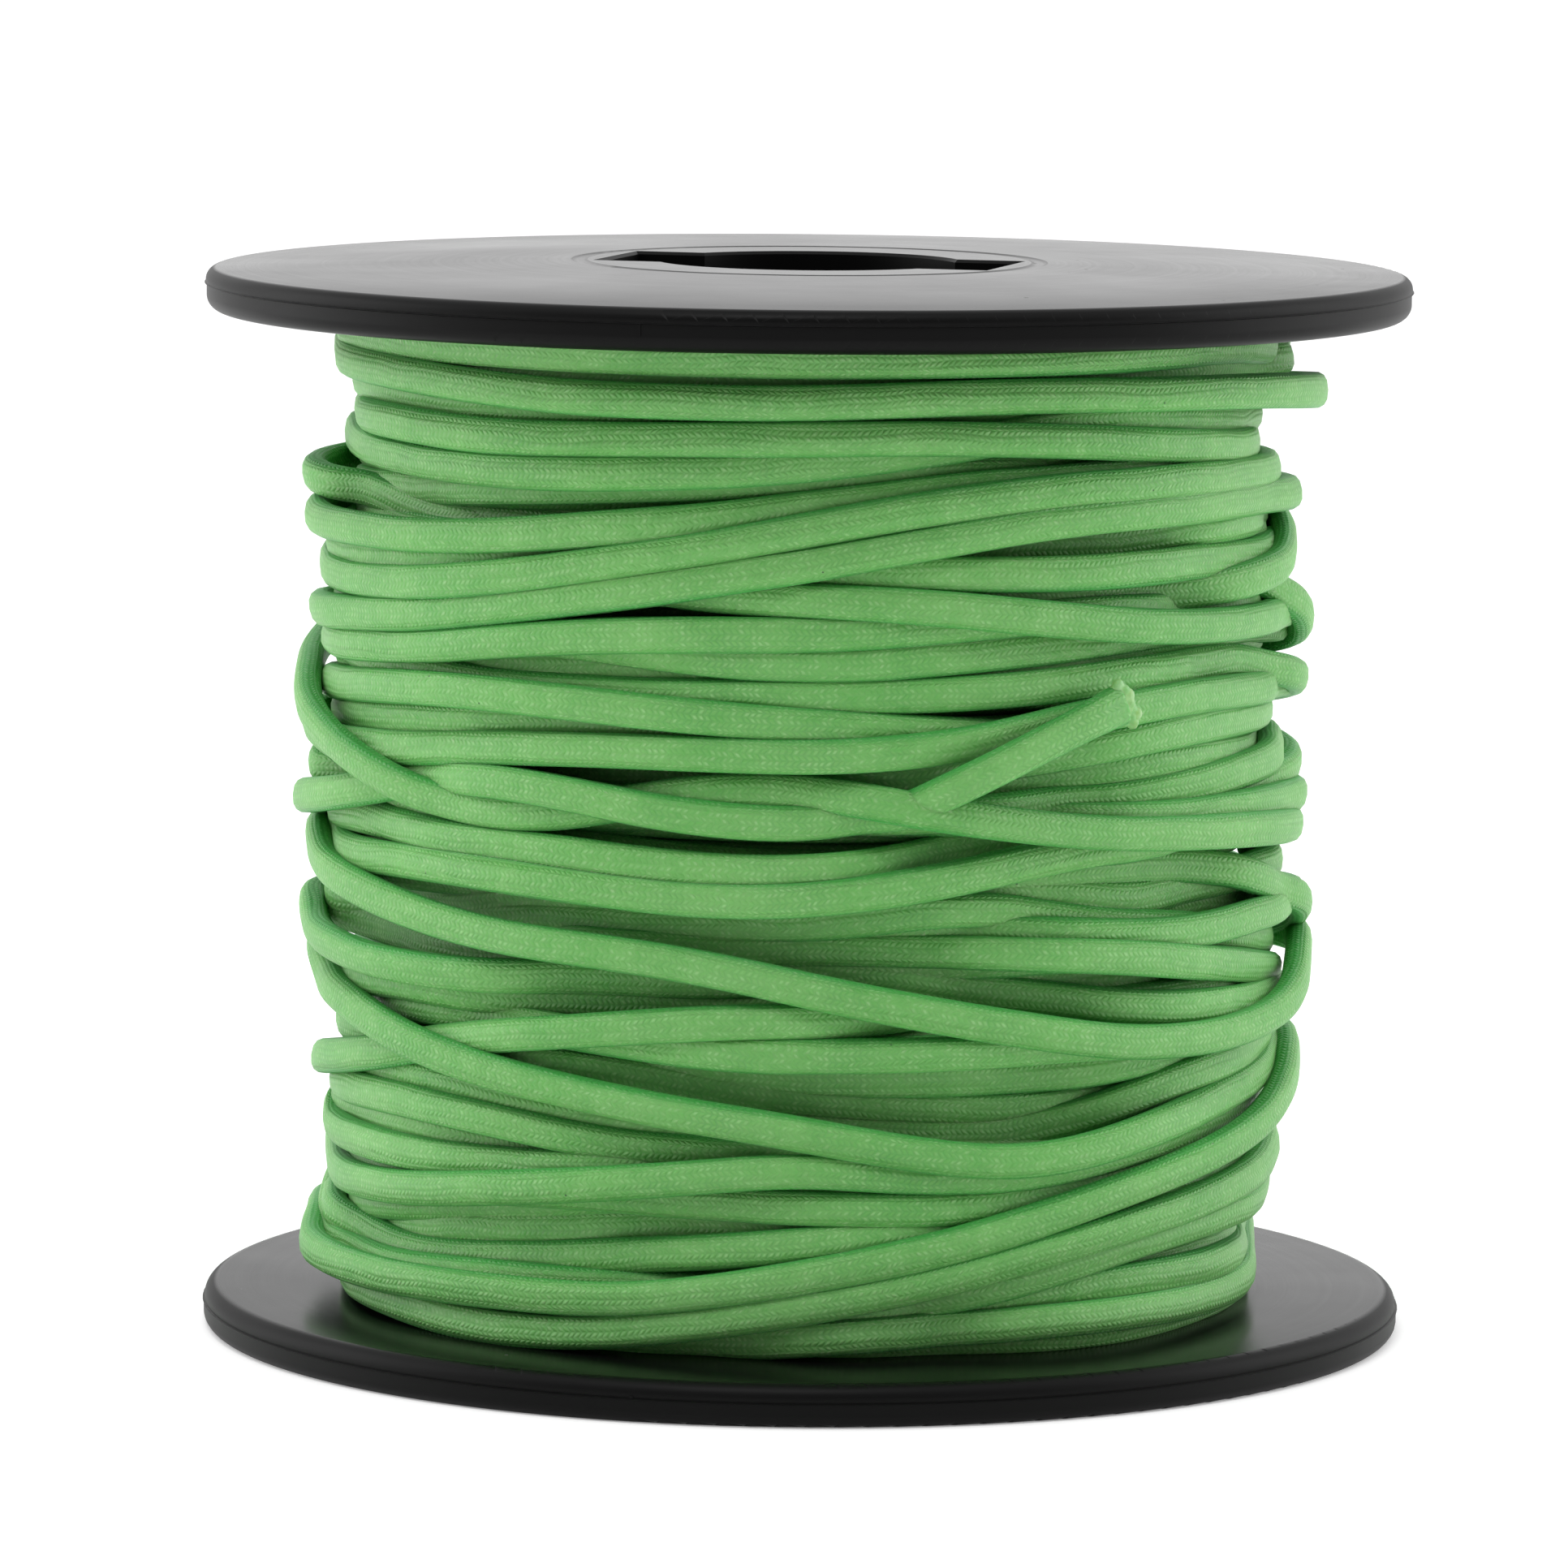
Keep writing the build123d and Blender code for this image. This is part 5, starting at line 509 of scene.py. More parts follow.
(29.27,-9.79,13.95),(30.06,-6.70,14.08),(30.47,-3.53,14.19),(30.34,-0.34,14.27),(29.82,2.82,14.33),(29.25,5.97,14.39),(28.46,9.05,14.43),
(26.45,11.52,14.47),(25.22,14.46,14.52),(23.64,17.23,14.42),(21.59,19.68,14.25),(19.34,21.94,14.03),(16.86,23.95,13.79),(14.16,25.64,13.57),
(11.31,27.08,13.36),(8.35,28.28,13.15),(5.35,29.36,12.91),(2.19,29.53,12.64),(-0.96,29.08,12.32),(-4.12,28.77,11.94),(-7.29,28.74,11.55),
(-10.41,28.15,11.16),(-13.37,27.02,10.80),(-16.16,25.48,10.50),(-18.72,23.58,10.26),(-21.03,21.37,10.08),(-23.11,18.95,9.94),(-24.95,16.33,9.81),
(-26.53,13.56,9.67),(-27.81,10.63,9.48),(-28.73,7.58,9.27),(-29.18,4.42,9.04),(-29.28,1.23,8.84),(-29.00,-1.95,8.72),(-27.91,-4.94,8.74),
(-28.06,-8.13,8.78),(-27.36,-11.20,8.83),(-25.97,-14.08,8.98),(-24.31,-16.79,9.34),(-22.40,-19.33,9.74),(-20.20,-21.61,10.15),(-17.73,-23.59,10.57),
(-15.01,-25.23,10.99),(-12.19,-26.68,11.43),(-9.27,-27.89,11.87),(-6.17,-28.57,12.27),(-3.00,-28.69,12.62),(0.16,-28.31,12.97),(3.34,-28.24,13.29),
(6.46,-27.65,13.54),(9.52,-26.73,13.73),(12.42,-25.41,13.88),(15.20,-23.83,14.00),(17.80,-21.97,14.09),(20.31,-20.00,14.16),(22.42,-17.60,14.21),
(24.25,-14.97,14.26),(25.77,-12.16,14.29),(26.97,-9.20,14.31),(27.76,-6.10,14.33),(28.12,-2.92,14.35),(28.17,0.28,14.36),(28.19,3.48,14.37),
(27.68,6.63,14.37),(26.72,9.68,14.38),(25.49,12.63,14.28),(23.98,15.44,14.19),(21.97,17.94,14.11),(19.86,20.34,14.03),(17.61,22.61,13.92),
(14.93,24.33,13.80),(12.12,25.86,13.69),(9.22,27.22,13.64),(6.24,28.35,13.67),(3.08,28.83,13.81),(-0.10,28.99,14.04),(-3.27,28.77,14.32),
(-6.41,28.21,14.57),(-9.47,27.29,14.74),(-12.43,26.07,14.77),(-15.28,24.64,14.63),(-17.91,22.85,14.34),(-20.41,20.91,13.94),(-22.62,18.63,13.49),
(-25.07,16.63,13.04),(-26.95,14.10,12.61),(-28.37,11.26,12.20),(-29.50,8.29,11.79),(-30.36,5.25,11.33),(-31.02,2.17,10.78),(-31.33,-0.94,10.11),
(-31.08,-4.02,9.28),(-30.55,-7.08,8.51),(-29.90,-10.05,7.55),(-29.01,-12.72,6.28),(-27.42,-15.48,6.14),(-25.29,-17.86,6.14),(-23.46,-20.48,6.19),
(-21.40,-22.93,6.29),(-18.95,-24.97,6.44),(-16.26,-26.69,6.62),(-13.39,-28.08,6.79),(-10.33,-29.03,6.87),(-7.20,-29.65,6.91),(-4.02,-30.03,6.95),
(-0.82,-30.07,6.98),(2.34,-29.62,7.00),(5.33,-28.48,7.02),(8.41,-27.65,7.03),(11.40,-26.52,7.05),(14.25,-25.06,7.05),(17.07,-23.56,7.06),
(19.71,-21.76,7.07),(22.07,-19.60,7.07),(24.16,-17.18,7.07),(25.86,-14.47,7.08),(27.21,-11.57,7.08),(28.23,-8.54,7.08),(28.87,-5.41,7.08),
(29.08,-2.22,7.08),(28.84,0.97,7.08),(28.18,4.10,7.08),(27.52,7.23,7.08),(26.53,10.25,7.08),(24.94,13.02,7.17),(23.33,15.78,7.13),(21.37,18.30,6.94),
(19.17,20.59,6.57),(16.73,22.61,6.11),(14.07,24.33,5.69),(11.22,25.76,5.43),(8.22,26.87,5.43),(5.12,27.63,5.64),(1.97,28.03,5.93),(-1.22,28.09,6.17),
(-4.40,27.77,6.25),(-7.53,27.11,6.15),(-10.54,26.05,5.95),(-13.42,24.69,5.74),(-16.14,23.00,5.58),(-18.64,21.02,5.44),(-20.91,18.77,5.26),
(-22.90,16.28,4.96),(-24.59,13.60,4.54),(-25.96,10.75,4.05),(-27.01,7.75,3.80),(-27.71,4.63,3.80),(-28.06,1.45,3.80),(-28.04,-1.75,3.80),
(-27.68,-4.93,3.80),(-26.96,-8.04,3.80),(-26.30,-11.17,3.80),(-24.80,-13.99,3.80),(-23.20,-16.75,3.80),(-21.19,-19.23,3.80),(-18.91,-21.48,3.82),
(-16.40,-23.46,3.87),(-13.50,-24.79,3.92),(-10.81,-26.50,4.00),(-7.80,-27.56,4.10),(-4.61,-27.81,4.22),(-1.46,-28.25,4.39),(1.73,-28.16,4.60),
(4.92,-27.99,4.87),(8.09,-27.80,5.21),(11.16,-27.05,5.65),(14.04,-25.81,6.20),(17.16,-25.47,6.80),(19.97,-24.12,7.44),(22.36,-22.09,8.07),
(24.42,-19.72,8.65),(26.20,-17.11,9.13),(27.74,-14.32,9.46),(29.00,-11.39,9.68),(29.99,-8.35,9.82),(30.71,-5.24,9.90),(31.02,-2.05,9.92),
(30.79,1.13,9.96),(30.23,4.28,10.10),(29.63,7.42,10.27),(28.50,10.36,10.42),(26.00,12.31,10.62),(24.12,14.87,10.83),(22.25,17.46,10.94),
(20.44,20.09,10.95),(18.17,22.34,10.91),(15.82,24.52,10.85),(13.50,26.71,10.77),(10.78,28.39,10.67),(7.81,29.56,10.52),(4.72,30.33,10.28),
(1.57,30.77,9.94),(-1.59,30.73,9.47),(-4.69,30.20,8.89),(-7.65,29.20,8.23),(-10.49,27.90,7.52),(-13.26,26.46,6.83),(-15.94,24.83,6.21),
(-18.40,22.84,5.72),(-20.57,20.51,5.38),(-22.53,18.00,5.17),(-24.31,15.34,5.06),(-25.80,12.52,5.02),(-26.93,9.52,5.00),(-27.81,6.45,4.98),
(-28.36,3.30,4.95),(-28.55,0.11,4.95),(-28.13,-3.05,4.99),(-27.41,-6.17,5.04),(-26.53,-9.25,5.05),(-25.31,-12.20,5.06),(-23.76,-15.00,5.07),
(-21.90,-17.60,5.08),(-19.76,-19.97,5.09),(-17.36,-22.09,5.12),(-14.74,-23.92,5.14),(-11.93,-25.44,5.18),(-8.96,-26.63,5.22),(-5.88,-27.48,5.28),
(-2.72,-27.96,5.35),(0.48,-28.09,5.45),(3.66,-27.86,5.58),(6.80,-27.26,5.74),(9.85,-26.32,5.95),(12.76,-25.03,6.22),(15.51,-23.43,6.54),
(18.07,-21.52,6.84),(20.38,-19.34,7.11),(22.45,-16.90,7.30),(24.22,-14.24,7.39),(25.69,-11.40,7.47),(26.85,-8.42,7.52),(27.62,-5.32,7.47),
(28.02,-2.15,7.35),(28.11,1.05,7.24),(27.95,4.23,7.12),(27.13,7.32,7.01),(26.32,10.41,6.92),(25.93,13.57,6.90),(24.42,16.37,6.74),(22.28,18.73,6.48),
(20.02,20.98,6.20),(17.55,22.99,5.94),(14.88,24.73,5.72),(12.04,26.20,5.56),(9.06,27.35,5.43),(5.96,28.14,5.34),(2.79,28.54,5.28),(-0.41,28.60,5.25),
(-3.60,28.39,5.26),(-6.77,27.93,5.32),(-9.82,27.02,5.42),(-12.67,25.57,5.54),(-15.45,23.99,5.63),(-18.06,22.13,5.64),(-20.37,19.93,5.51),
(-22.41,17.48,5.24),(-24.24,14.89,4.84),(-25.76,12.11,4.38),(-26.98,9.19,3.94),(-27.82,6.11,3.80),(-28.32,2.95,3.80),(-28.46,-0.24,3.80),
(-28.07,-3.41,3.80),(-27.35,-6.53,3.80),(-26.69,-9.65,3.80),(-25.89,-12.71,3.80),(-23.95,-15.25,3.80),(-22.09,-17.85,3.80),(-19.95,-20.23,3.80),
(-17.56,-22.35,3.80),(-14.93,-24.17,3.80),(-12.12,-25.70,3.80),(-9.22,-27.02,3.80),(-6.11,-27.76,3.80),(-2.93,-28.11,3.80),(0.26,-28.26,3.80),
(3.44,-28.12,3.71),(6.63,-27.91,3.70),(9.82,-27.79,3.70),(12.73,-26.52,3.70),(15.34,-24.67,3.70),(18.29,-23.44,3.70),(21.09,-21.92,3.70),
(23.50,-19.82,3.70),(25.41,-17.26,3.70),(26.81,-14.39,3.70),(27.79,-11.34,3.70),(28.50,-8.22,3.70),(29.02,-5.07,3.70),(29.27,-1.88,3.70),
(29.20,1.32,3.70),(28.97,4.51,3.70),(28.10,7.58,3.79),(27.12,10.62,3.80),(25.83,13.55,3.87),(24.33,16.38,3.85),(22.74,19.15,3.80),(20.71,21.62,3.80),
(18.31,23.73,3.80),(15.68,25.54,3.80),(12.87,27.07,3.80),(9.91,28.28,3.80),(6.84,29.18,3.80),(3.69,29.74,3.80),(0.50,29.97,3.80),(-2.70,29.85,3.80),
(-5.86,29.38,3.80),(-8.90,28.42,3.80),(-11.74,26.94,3.80),(-14.59,25.49,3.80),(-17.41,23.98,3.80),(-20.04,22.15,3.80),(-22.40,20.02,4.03),
(-24.46,17.59,4.28),(-26.24,14.93,4.45),(-27.69,12.08,4.52),(-28.80,9.08,4.48),(-29.56,5.98,4.36),(-29.97,2.81,4.19),(-30.02,-0.38,4.01),
(-28.86,-3.30,3.87),(-27.81,-6.27,3.80),(-27.11,-9.39,3.80),(-26.12,-12.43,3.80),(-24.71,-15.30,3.80),(-23.01,-18.01,3.80),(-20.95,-20.45,3.80),
(-18.63,-22.66,3.80),(-16.13,-24.65,3.80),(-13.55,-26.55,3.80),(-10.71,-27.99,3.80),(-7.66,-28.97,3.80),(-4.53,-29.63,3.80),(-1.35,-29.93,3.80),
(1.77,-29.41,3.80),(4.86,-29.74,3.76),(8.00,-30.05,4.13),(11.10,-29.33,4.37),(13.81,-27.67,4.49),(16.25,-25.63,4.56),(19.22,-24.45,4.69),
(21.95,-22.81,4.86),(24.33,-20.67,4.90),(26.26,-18.13,4.88),(27.75,-15.30,4.81),(28.84,-12.29,4.72),(29.65,-9.20,4.64),(30.24,-6.06,4.60),
(30.57,-2.88,4.74),(30.35,0.30,4.96),(29.62,3.40,5.25),(28.84,6.49,5.51),(28.12,9.60,5.70),(27.36,12.70,5.96),(26.29,15.70,6.12),(24.29,18.17,6.03),
(21.90,20.28,5.82),(19.46,22.34,5.57),(16.83,24.14,5.35),(14.07,25.76,5.20),(11.18,27.10,5.09),(8.14,28.11,5.01),(5.01,28.76,4.94),(1.83,29.05,4.91),
(-1.37,29.09,4.97),(-4.56,28.91,5.17),(-7.70,28.43,5.49),(-10.65,27.28,5.85),(-13.39,25.66,6.15),(-16.08,23.92,6.25),(-18.57,21.93,6.07),
(-20.82,19.70,5.61),(-22.78,17.26,4.97),(-24.54,14.67,4.29),(-26.07,11.91,3.81),(-27.22,8.93,3.80),(-28.03,5.84,3.80),(-28.50,2.67,3.80),
(-28.61,-0.52,3.80),(-28.03,-3.66,3.80),(-27.44,-6.81,3.80),(-26.58,-9.89,3.80),(-25.45,-12.87,3.80),(-23.90,-15.67,3.80),(-22.08,-18.30,3.80),
(-19.94,-20.67,3.80),(-17.55,-22.80,3.80),(-14.90,-24.59,3.80),(-12.15,-26.21,3.80),(-9.26,-27.57,3.80),(-6.14,-28.23,3.80),(-2.98,-28.72,3.80),
(0.21,-28.90,3.82),(3.37,-28.71,4.26),(6.52,-28.93,4.75),(9.66,-28.73,5.28),(12.57,-27.55,5.77),(14.96,-25.44,5.99),(17.78,-23.99,6.16),
(20.56,-22.44,6.41),(23.08,-20.48,6.63),(25.30,-18.18,6.77),(27.04,-15.51,6.81),(28.35,-12.59,6.76),(29.36,-9.56,6.68),(29.95,-6.42,6.59),
(30.09,-3.22,6.48),(29.69,-0.06,6.36),(29.13,3.09,6.23),(28.16,5.94,6.85),(27.84,8.87,7.93),(26.59,11.63,8.68),(24.77,14.10,9.54),(22.84,16.51,10.38),
(21.01,19.04,11.08),(18.92,21.41,11.54),(16.52,23.52,11.72),(13.88,25.32,11.65),(11.10,26.88,11.41),(8.19,28.16,11.10),(5.11,28.93,10.72),
(1.99,29.42,10.26),(-1.15,29.48,9.64),(-4.22,29.10,8.85),(-7.18,28.31,7.92),(-9.98,27.14,6.93),(-12.70,25.71,6.03),(-15.43,24.18,5.35),
(-18.00,22.33,4.99),(-20.31,20.11,4.94),(-22.35,17.65,5.08),(-24.19,15.04,5.24),(-25.60,12.18,5.31),(-26.63,9.15,5.26),(-27.51,6.08,5.12),
(-28.07,2.93,4.98),(-28.27,-0.26,4.85),(-28.29,-3.45,4.70),(-28.35,-6.62,4.63),(-27.51,-9.71,4.71),(-26.39,-12.70,4.81),(-25.08,-15.62,4.94),
(-23.44,-18.35,5.10),(-21.27,-20.70,5.31),(-18.83,-22.74,5.55),(-16.21,-24.57,5.79),(-13.42,-26.11,6.05),(-10.46,-27.28,6.36),(-7.38,-28.05,6.70),
(-4.23,-28.36,7.12),(-1.06,-28.41,7.57),(2.10,-28.19,8.03),(5.22,-27.64,8.44),(8.35,-27.07,8.82),(11.44,-26.34,9.14),(14.23,-24.81,9.39),
(16.66,-22.74,9.58),(19.10,-20.68,9.73),(21.33,-18.39,9.85),(23.28,-15.86,9.94),(25.03,-13.18,10.01),(26.40,-10.30,10.07),(27.33,-7.24,10.11),
(27.95,-4.10,10.14),(28.18,-0.91,10.17),(28.02,2.28,10.19),(27.62,5.46,10.20),(26.82,8.55,10.21),(25.99,11.64,10.23),(24.54,14.46,10.18),
(22.49,16.91,10.00),(20.85,19.65,9.79),(18.72,22.02,9.62),(16.57,24.38,9.50),(14.64,26.92,9.38),(11.97,28.65,9.21),(9.00,29.79,8.92),(5.90,30.44,8.51),
(2.75,30.70,8.00),(-0.41,30.70,7.47),(-3.56,30.46,7.01),(-6.71,30.00,6.69),(-9.81,29.22,6.50),(-12.80,28.09,6.42),(-15.62,26.60,6.34),
(-18.18,24.69,6.20),(-20.20,22.23,5.94),(-22.05,19.65,5.57),(-23.82,17.02,5.15),(-25.46,14.30,4.78),(-26.84,11.42,4.51),(-27.90,8.41,4.37),
(-28.64,5.30,4.31),(-29.03,2.12,4.28),(-29.03,-1.07,4.21),(-29.19,-4.24,4.09),(-29.13,-7.39,4.08),(-28.20,-10.45,4.10),(-27.27,-13.51,4.13),
(-26.08,-16.48,4.18),(-24.64,-19.33,4.23),(-22.76,-21.91,4.26),(-20.56,-24.23,4.16),(-18.12,-26.29,3.98),(-15.46,-28.06,3.83),(-12.62,-29.53,3.76),
(-9.63,-30.66,3.82),(-6.54,-31.46,4.02),(-3.39,-31.92,4.35),(-0.23,-32.06,4.82),(2.92,-31.90,5.36),(6.04,-31.46,5.90),(9.10,-30.74,6.47),
(12.08,-29.73,7.06),(14.95,-28.45,7.64),(17.68,-26.89,8.26),(20.24,-25.09,8.91),(22.61,-23.04,9.54),(24.74,-20.73,10.12),(26.60,-18.17,10.58),
(28.16,-15.40,10.95),(29.40,-12.47,11.25),(30.35,-9.42,11.50),(31.02,-6.30,11.72),(31.38,-3.13,11.94),(31.36,0.05,12.19),(31.01,3.22,12.51),
(30.52,6.36,12.84),(29.46,9.35,13.14),(27.38,11.75,13.36),(26.22,14.68,13.38),(24.95,17.60,13.31),(23.13,20.23,13.15),(21.08,22.67,12.92),
(18.77,24.87,12.66),(16.17,26.72,12.43),(13.38,28.26,12.25),(10.44,29.51,12.15),(7.37,30.42,12.14),(4.21,30.89,12.18),(1.03,30.62,12.24),
(-2.15,30.28,12.29),(-5.35,30.14,12.27),(-8.54,29.99,12.15),(-11.61,29.15,11.95),(-14.53,27.88,11.66),(-17.29,26.29,11.32),(-19.85,24.41,10.97),
(-22.18,22.25,10.62),(-24.29,19.86,10.31),(-26.15,17.28,10.03),(-27.76,14.52,9.79),(-29.08,11.62,9.55),(-30.07,8.59,9.32),(-30.62,5.45,9.07),
(-30.77,2.27,8.81),(-30.57,-0.91,8.56),(-30.19,-4.08,8.40),(-30.29,-7.27,8.42),(-29.46,-10.35,8.34),(-28.42,-13.33,7.90),(-26.18,-15.55,7.53),
(-23.97,-17.85,7.33),(-21.98,-20.36,7.20),(-19.75,-22.64,7.21),(-17.20,-24.56,7.39),(-14.46,-26.19,7.68),(-11.55,-27.47,8.01),(-8.53,-28.47,8.34),
(-5.48,-29.36,8.73),(-2.41,-30.15,9.11),(0.72,-30.71,9.46),(3.89,-30.87,9.83),(7.06,-30.60,10.19),(10.14,-29.81,10.51),(13.07,-28.56,10.81),
(15.74,-26.83,11.07),(17.94,-24.54,11.33),(20.06,-22.15,11.56),(22.31,-19.89,11.75),(24.45,-17.52,11.90),(26.33,-14.93,12.02),(27.82,-12.11,12.11),
(28.90,-9.10,12.18),(29.56,-5.97,12.24),(29.86,-2.79,12.28),(29.77,0.41,12.32),(29.46,3.59,12.34),(28.92,6.74,12.36),(27.57,9.62,12.38),
(25.51,12.05,12.55),(23.90,14.81,12.69),(22.11,17.45,12.58),(19.97,19.82,12.29),(17.61,21.95,11.95),(15.02,23.80,11.63),(12.25,25.36,11.33),
(9.29,26.54,11.01),(6.24,27.40,10.58),(3.14,27.92,10.02),(0.01,28.10,9.37),(-3.12,27.99,8.76),(-6.25,27.47,8.33),(-9.32,26.59,8.16),
(-12.29,25.41,8.23),(-15.05,23.81,8.42),(-17.65,21.96,8.57),(-20.11,19.91,8.58),(-22.45,17.73,8.44),(-24.58,15.36,8.23),(-26.18,12.61,8.04),
(-27.29,9.61,7.93),(-27.92,6.48,7.88),(-28.12,3.29,7.83),(-28.14,0.09,7.73),(-28.13,-3.10,7.53),(-28.89,-6.19,7.43),(-28.14,-9.27,7.54),
(-26.86,-12.20,7.66),(-24.84,-14.64,7.89),(-22.86,-17.13,8.22),(-21.11,-19.78,8.56),(-19.06,-22.21,8.90),(-16.60,-24.22,9.26),(-13.87,-25.84,9.62),
(-10.98,-27.16,9.98),(-7.95,-28.12,10.33),(-4.81,-28.62,10.64),(-1.62,-28.53,10.81),(1.56,-28.74,10.94),(4.73,-29.09,11.06),(7.91,-28.77,11.03),
(10.94,-27.78,10.87),(13.77,-26.29,10.72),(16.30,-24.35,10.61),(18.76,-22.30,10.53),(21.16,-20.19,10.46),(23.36,-17.87,10.40),(25.31,-15.33,10.36),
(26.99,-12.61,10.33),(28.13,-9.63,10.30),(28.98,-6.54,10.29),(29.47,-3.39,10.27),(29.55,-0.19,10.26),(29.19,2.99,10.25),(28.71,6.15,10.24),
(27.78,9.20,10.24),(25.71,11.62,10.19),(24.13,14.39,10.10),(22.34,17.04,10.08),(20.29,19.50,10.05),(17.92,21.65,9.97),(15.47,23.70,9.83),
(12.92,25.61,9.63),(10.10,27.10,9.42),(7.07,28.10,9.23),(3.92,28.64,9.11),(0.73,28.83,9.07),(-2.47,28.82,9.10),(-5.62,28.30,9.15),(-8.76,27.65,9.17),
(-11.87,26.92,9.11),(-14.78,25.62,8.95),(-17.45,23.88,8.67),(-19.95,21.92,8.32),(-22.32,19.80,7.94),(-24.54,17.53,7.59),(-26.54,15.05,7.30),
(-28.14,12.29,7.11),(-29.49,9.39,7.00),(-30.65,6.41,6.95),(-31.60,3.35,6.94),(-32.29,0.23,6.94),(-32.45,-2.95,6.96),(-31.84,-6.09,7.01),
(-30.88,-9.14,7.02),(-30.29,-12.23,6.50),(-29.40,-15.26,6.06),(-27.83,-18.04,6.00),(-25.93,-20.61,5.97),(-23.77,-22.97,5.96),(-21.38,-25.10,5.98),
(-18.79,-26.96,6.04),(-16.02,-28.56,6.12),(-13.11,-29.89,6.20),(-10.09,-30.96,6.27),(-6.99,-31.74,6.32),(-3.83,-32.21,6.47),(-0.66,-32.39,6.79),
(2.51,-32.28,7.26),(5.63,-31.88,7.80),(8.70,-31.21,8.40),(11.69,-30.24,8.99),(14.57,-28.99,9.59),(17.30,-27.43,10.20),(19.85,-25.62,10.88),
(22.21,-23.59,11.61),(24.40,-21.37,12.32),(26.41,-18.97,12.98),(28.20,-16.39,13.58),(29.71,-13.62,14.14),(30.93,-10.72,14.67),(31.86,-7.71,15.23),
(32.47,-4.64,15.88),(32.74,-1.56,16.69),(32.64,1.52,17.56),(32.14,4.50,18.61),(31.45,7.53,19.32),(30.50,10.57,19.49),(27.90,12.21,19.58),
(25.09,13.53,19.84),(23.52,16.30,20.06),(21.89,19.05,20.12),(19.90,21.55,20.03),(17.53,23.68,19.81),(14.90,25.48,19.53),(12.09,26.98,19.28),
(9.14,28.21,19.11),(6.07,29.12,19.06),(2.93,29.68,19.12),(-0.25,29.53,19.24),(-3.27,28.51,19.36),(-6.37,27.70,19.44),(-9.44,26.80,19.45),
(-12.47,25.79,19.40),(-15.51,24.78,19.35),(-18.33,23.30,19.34),(-20.75,21.21,19.40),(-22.78,18.75,19.52),(-24.50,16.06,19.67),(-25.98,13.22,19.78),
(-27.23,10.28,19.80),(-28.19,7.23,19.71),(-28.54,4.07,19.53),(-28.22,0.89,19.31),(-28.18,-2.30,19.12),(-27.61,-5.45,19.07),(-27.09,-8.60,19.06),
(-26.37,-11.71,19.04),(-24.44,-14.24,19.03),(-22.63,-16.88,19.00),(-20.53,-19.29,18.97),(-18.20,-21.48,18.94),(-15.66,-23.43,18.89),
(-12.95,-25.12,18.82),(-10.07,-26.52,18.74),(-7.05,-27.56,18.64),(-3.97,-28.37,18.50),(-0.78,-28.31,18.33),(2.41,-28.16,18.10),(5.54,-27.57,17.81),
(8.65,-26.97,17.43),(11.56,-25.71,17.02),(14.48,-24.46,16.75),(16.97,-22.46,16.69),(19.53,-20.54,16.78),(22.01,-18.56,17.17),(24.58,-16.81,17.92),
(26.77,-14.63,18.72),(28.46,-12.00,19.36),(29.69,-9.07,19.70),(30.43,-5.97,19.92),(30.68,-2.78,20.04),(30.59,0.41,20.18),(30.46,3.60,20.36),
(29.65,6.66,20.54),(27.96,9.37,20.70),(26.06,11.93,20.85),(24.68,14.82,21.01),(23.16,17.63,21.08),(21.81,20.53,21.08),(19.83,23.03,21.07),
(17.54,25.27,21.07),(15.20,27.45,21.12),(12.49,29.13,21.22),(9.53,30.33,21.38),(6.45,31.18,21.56),(3.30,31.72,21.70),(0.12,31.97,21.78),
(-3.07,31.72,21.75),(-6.18,31.00,21.62),(-9.16,29.85,21.41),(-12.01,28.43,21.15),(-14.69,26.70,20.91),(-17.38,24.99,20.73),(-19.96,23.10,20.64),
(-22.26,20.88,20.64),(-24.16,18.31,20.71),(-25.77,15.55,20.79),(-27.13,12.65,20.84),(-28.26,9.66,20.84),(-29.12,6.58,20.80),(-29.18,3.40,20.73),
(-29.19,0.23,20.68),(-29.16,-2.91,20.70),(-28.30,-5.97,20.77),(-28.35,-9.16,20.78),(-27.90,-12.29,20.80),(-26.66,-15.23,20.81),(-24.77,-17.81,20.83),
(-22.61,-20.16,20.85),(-20.20,-22.26,20.89),(-17.45,-23.90,20.93),(-15.05,-26.01,20.97),(-12.40,-27.80,21.01),(-9.46,-29.03,20.97),
(-6.30,-29.37,20.81),(-3.14,-28.96,20.56),(0.03,-28.82,20.20),(3.19,-28.47,19.83),(6.27,-27.75,19.39),(9.27,-26.72,18.96),(12.14,-25.34,18.69),
(14.94,-23.80,18.49),(17.55,-21.96,18.35),(19.96,-19.87,18.28),(22.05,-17.45,18.30),(24.14,-15.03,18.43),(26.11,-12.52,18.58),(27.63,-9.71,18.68),
(28.66,-6.68,18.58),(29.23,-3.54,18.41),(29.43,-0.35,18.24),(29.27,2.84,18.07),(28.73,5.98,17.90),(27.77,9.03,17.74),(25.98,11.67,17.66),
(24.34,14.41,17.66),(22.88,17.25,17.67),(21.73,20.23,17.66),(19.31,22.21,17.60),(16.29,23.25,17.43),(13.46,24.71,17.15),(10.56,26.03,16.82),
(7.55,27.07,16.58),(4.42,27.75,16.53),(1.25,28.07,16.72),(-1.92,28.07,17.12),(-5.08,27.83,17.60),(-8.20,27.30,18.06),(-11.25,26.44,18.43),
(-14.37,25.86,18.69),(-17.49,25.33,18.91),(-20.30,23.82,19.17),(-22.81,21.88,19.49),(-24.88,19.47,19.86),(-26.60,16.80,20.21),(-28.02,13.94,20.45),
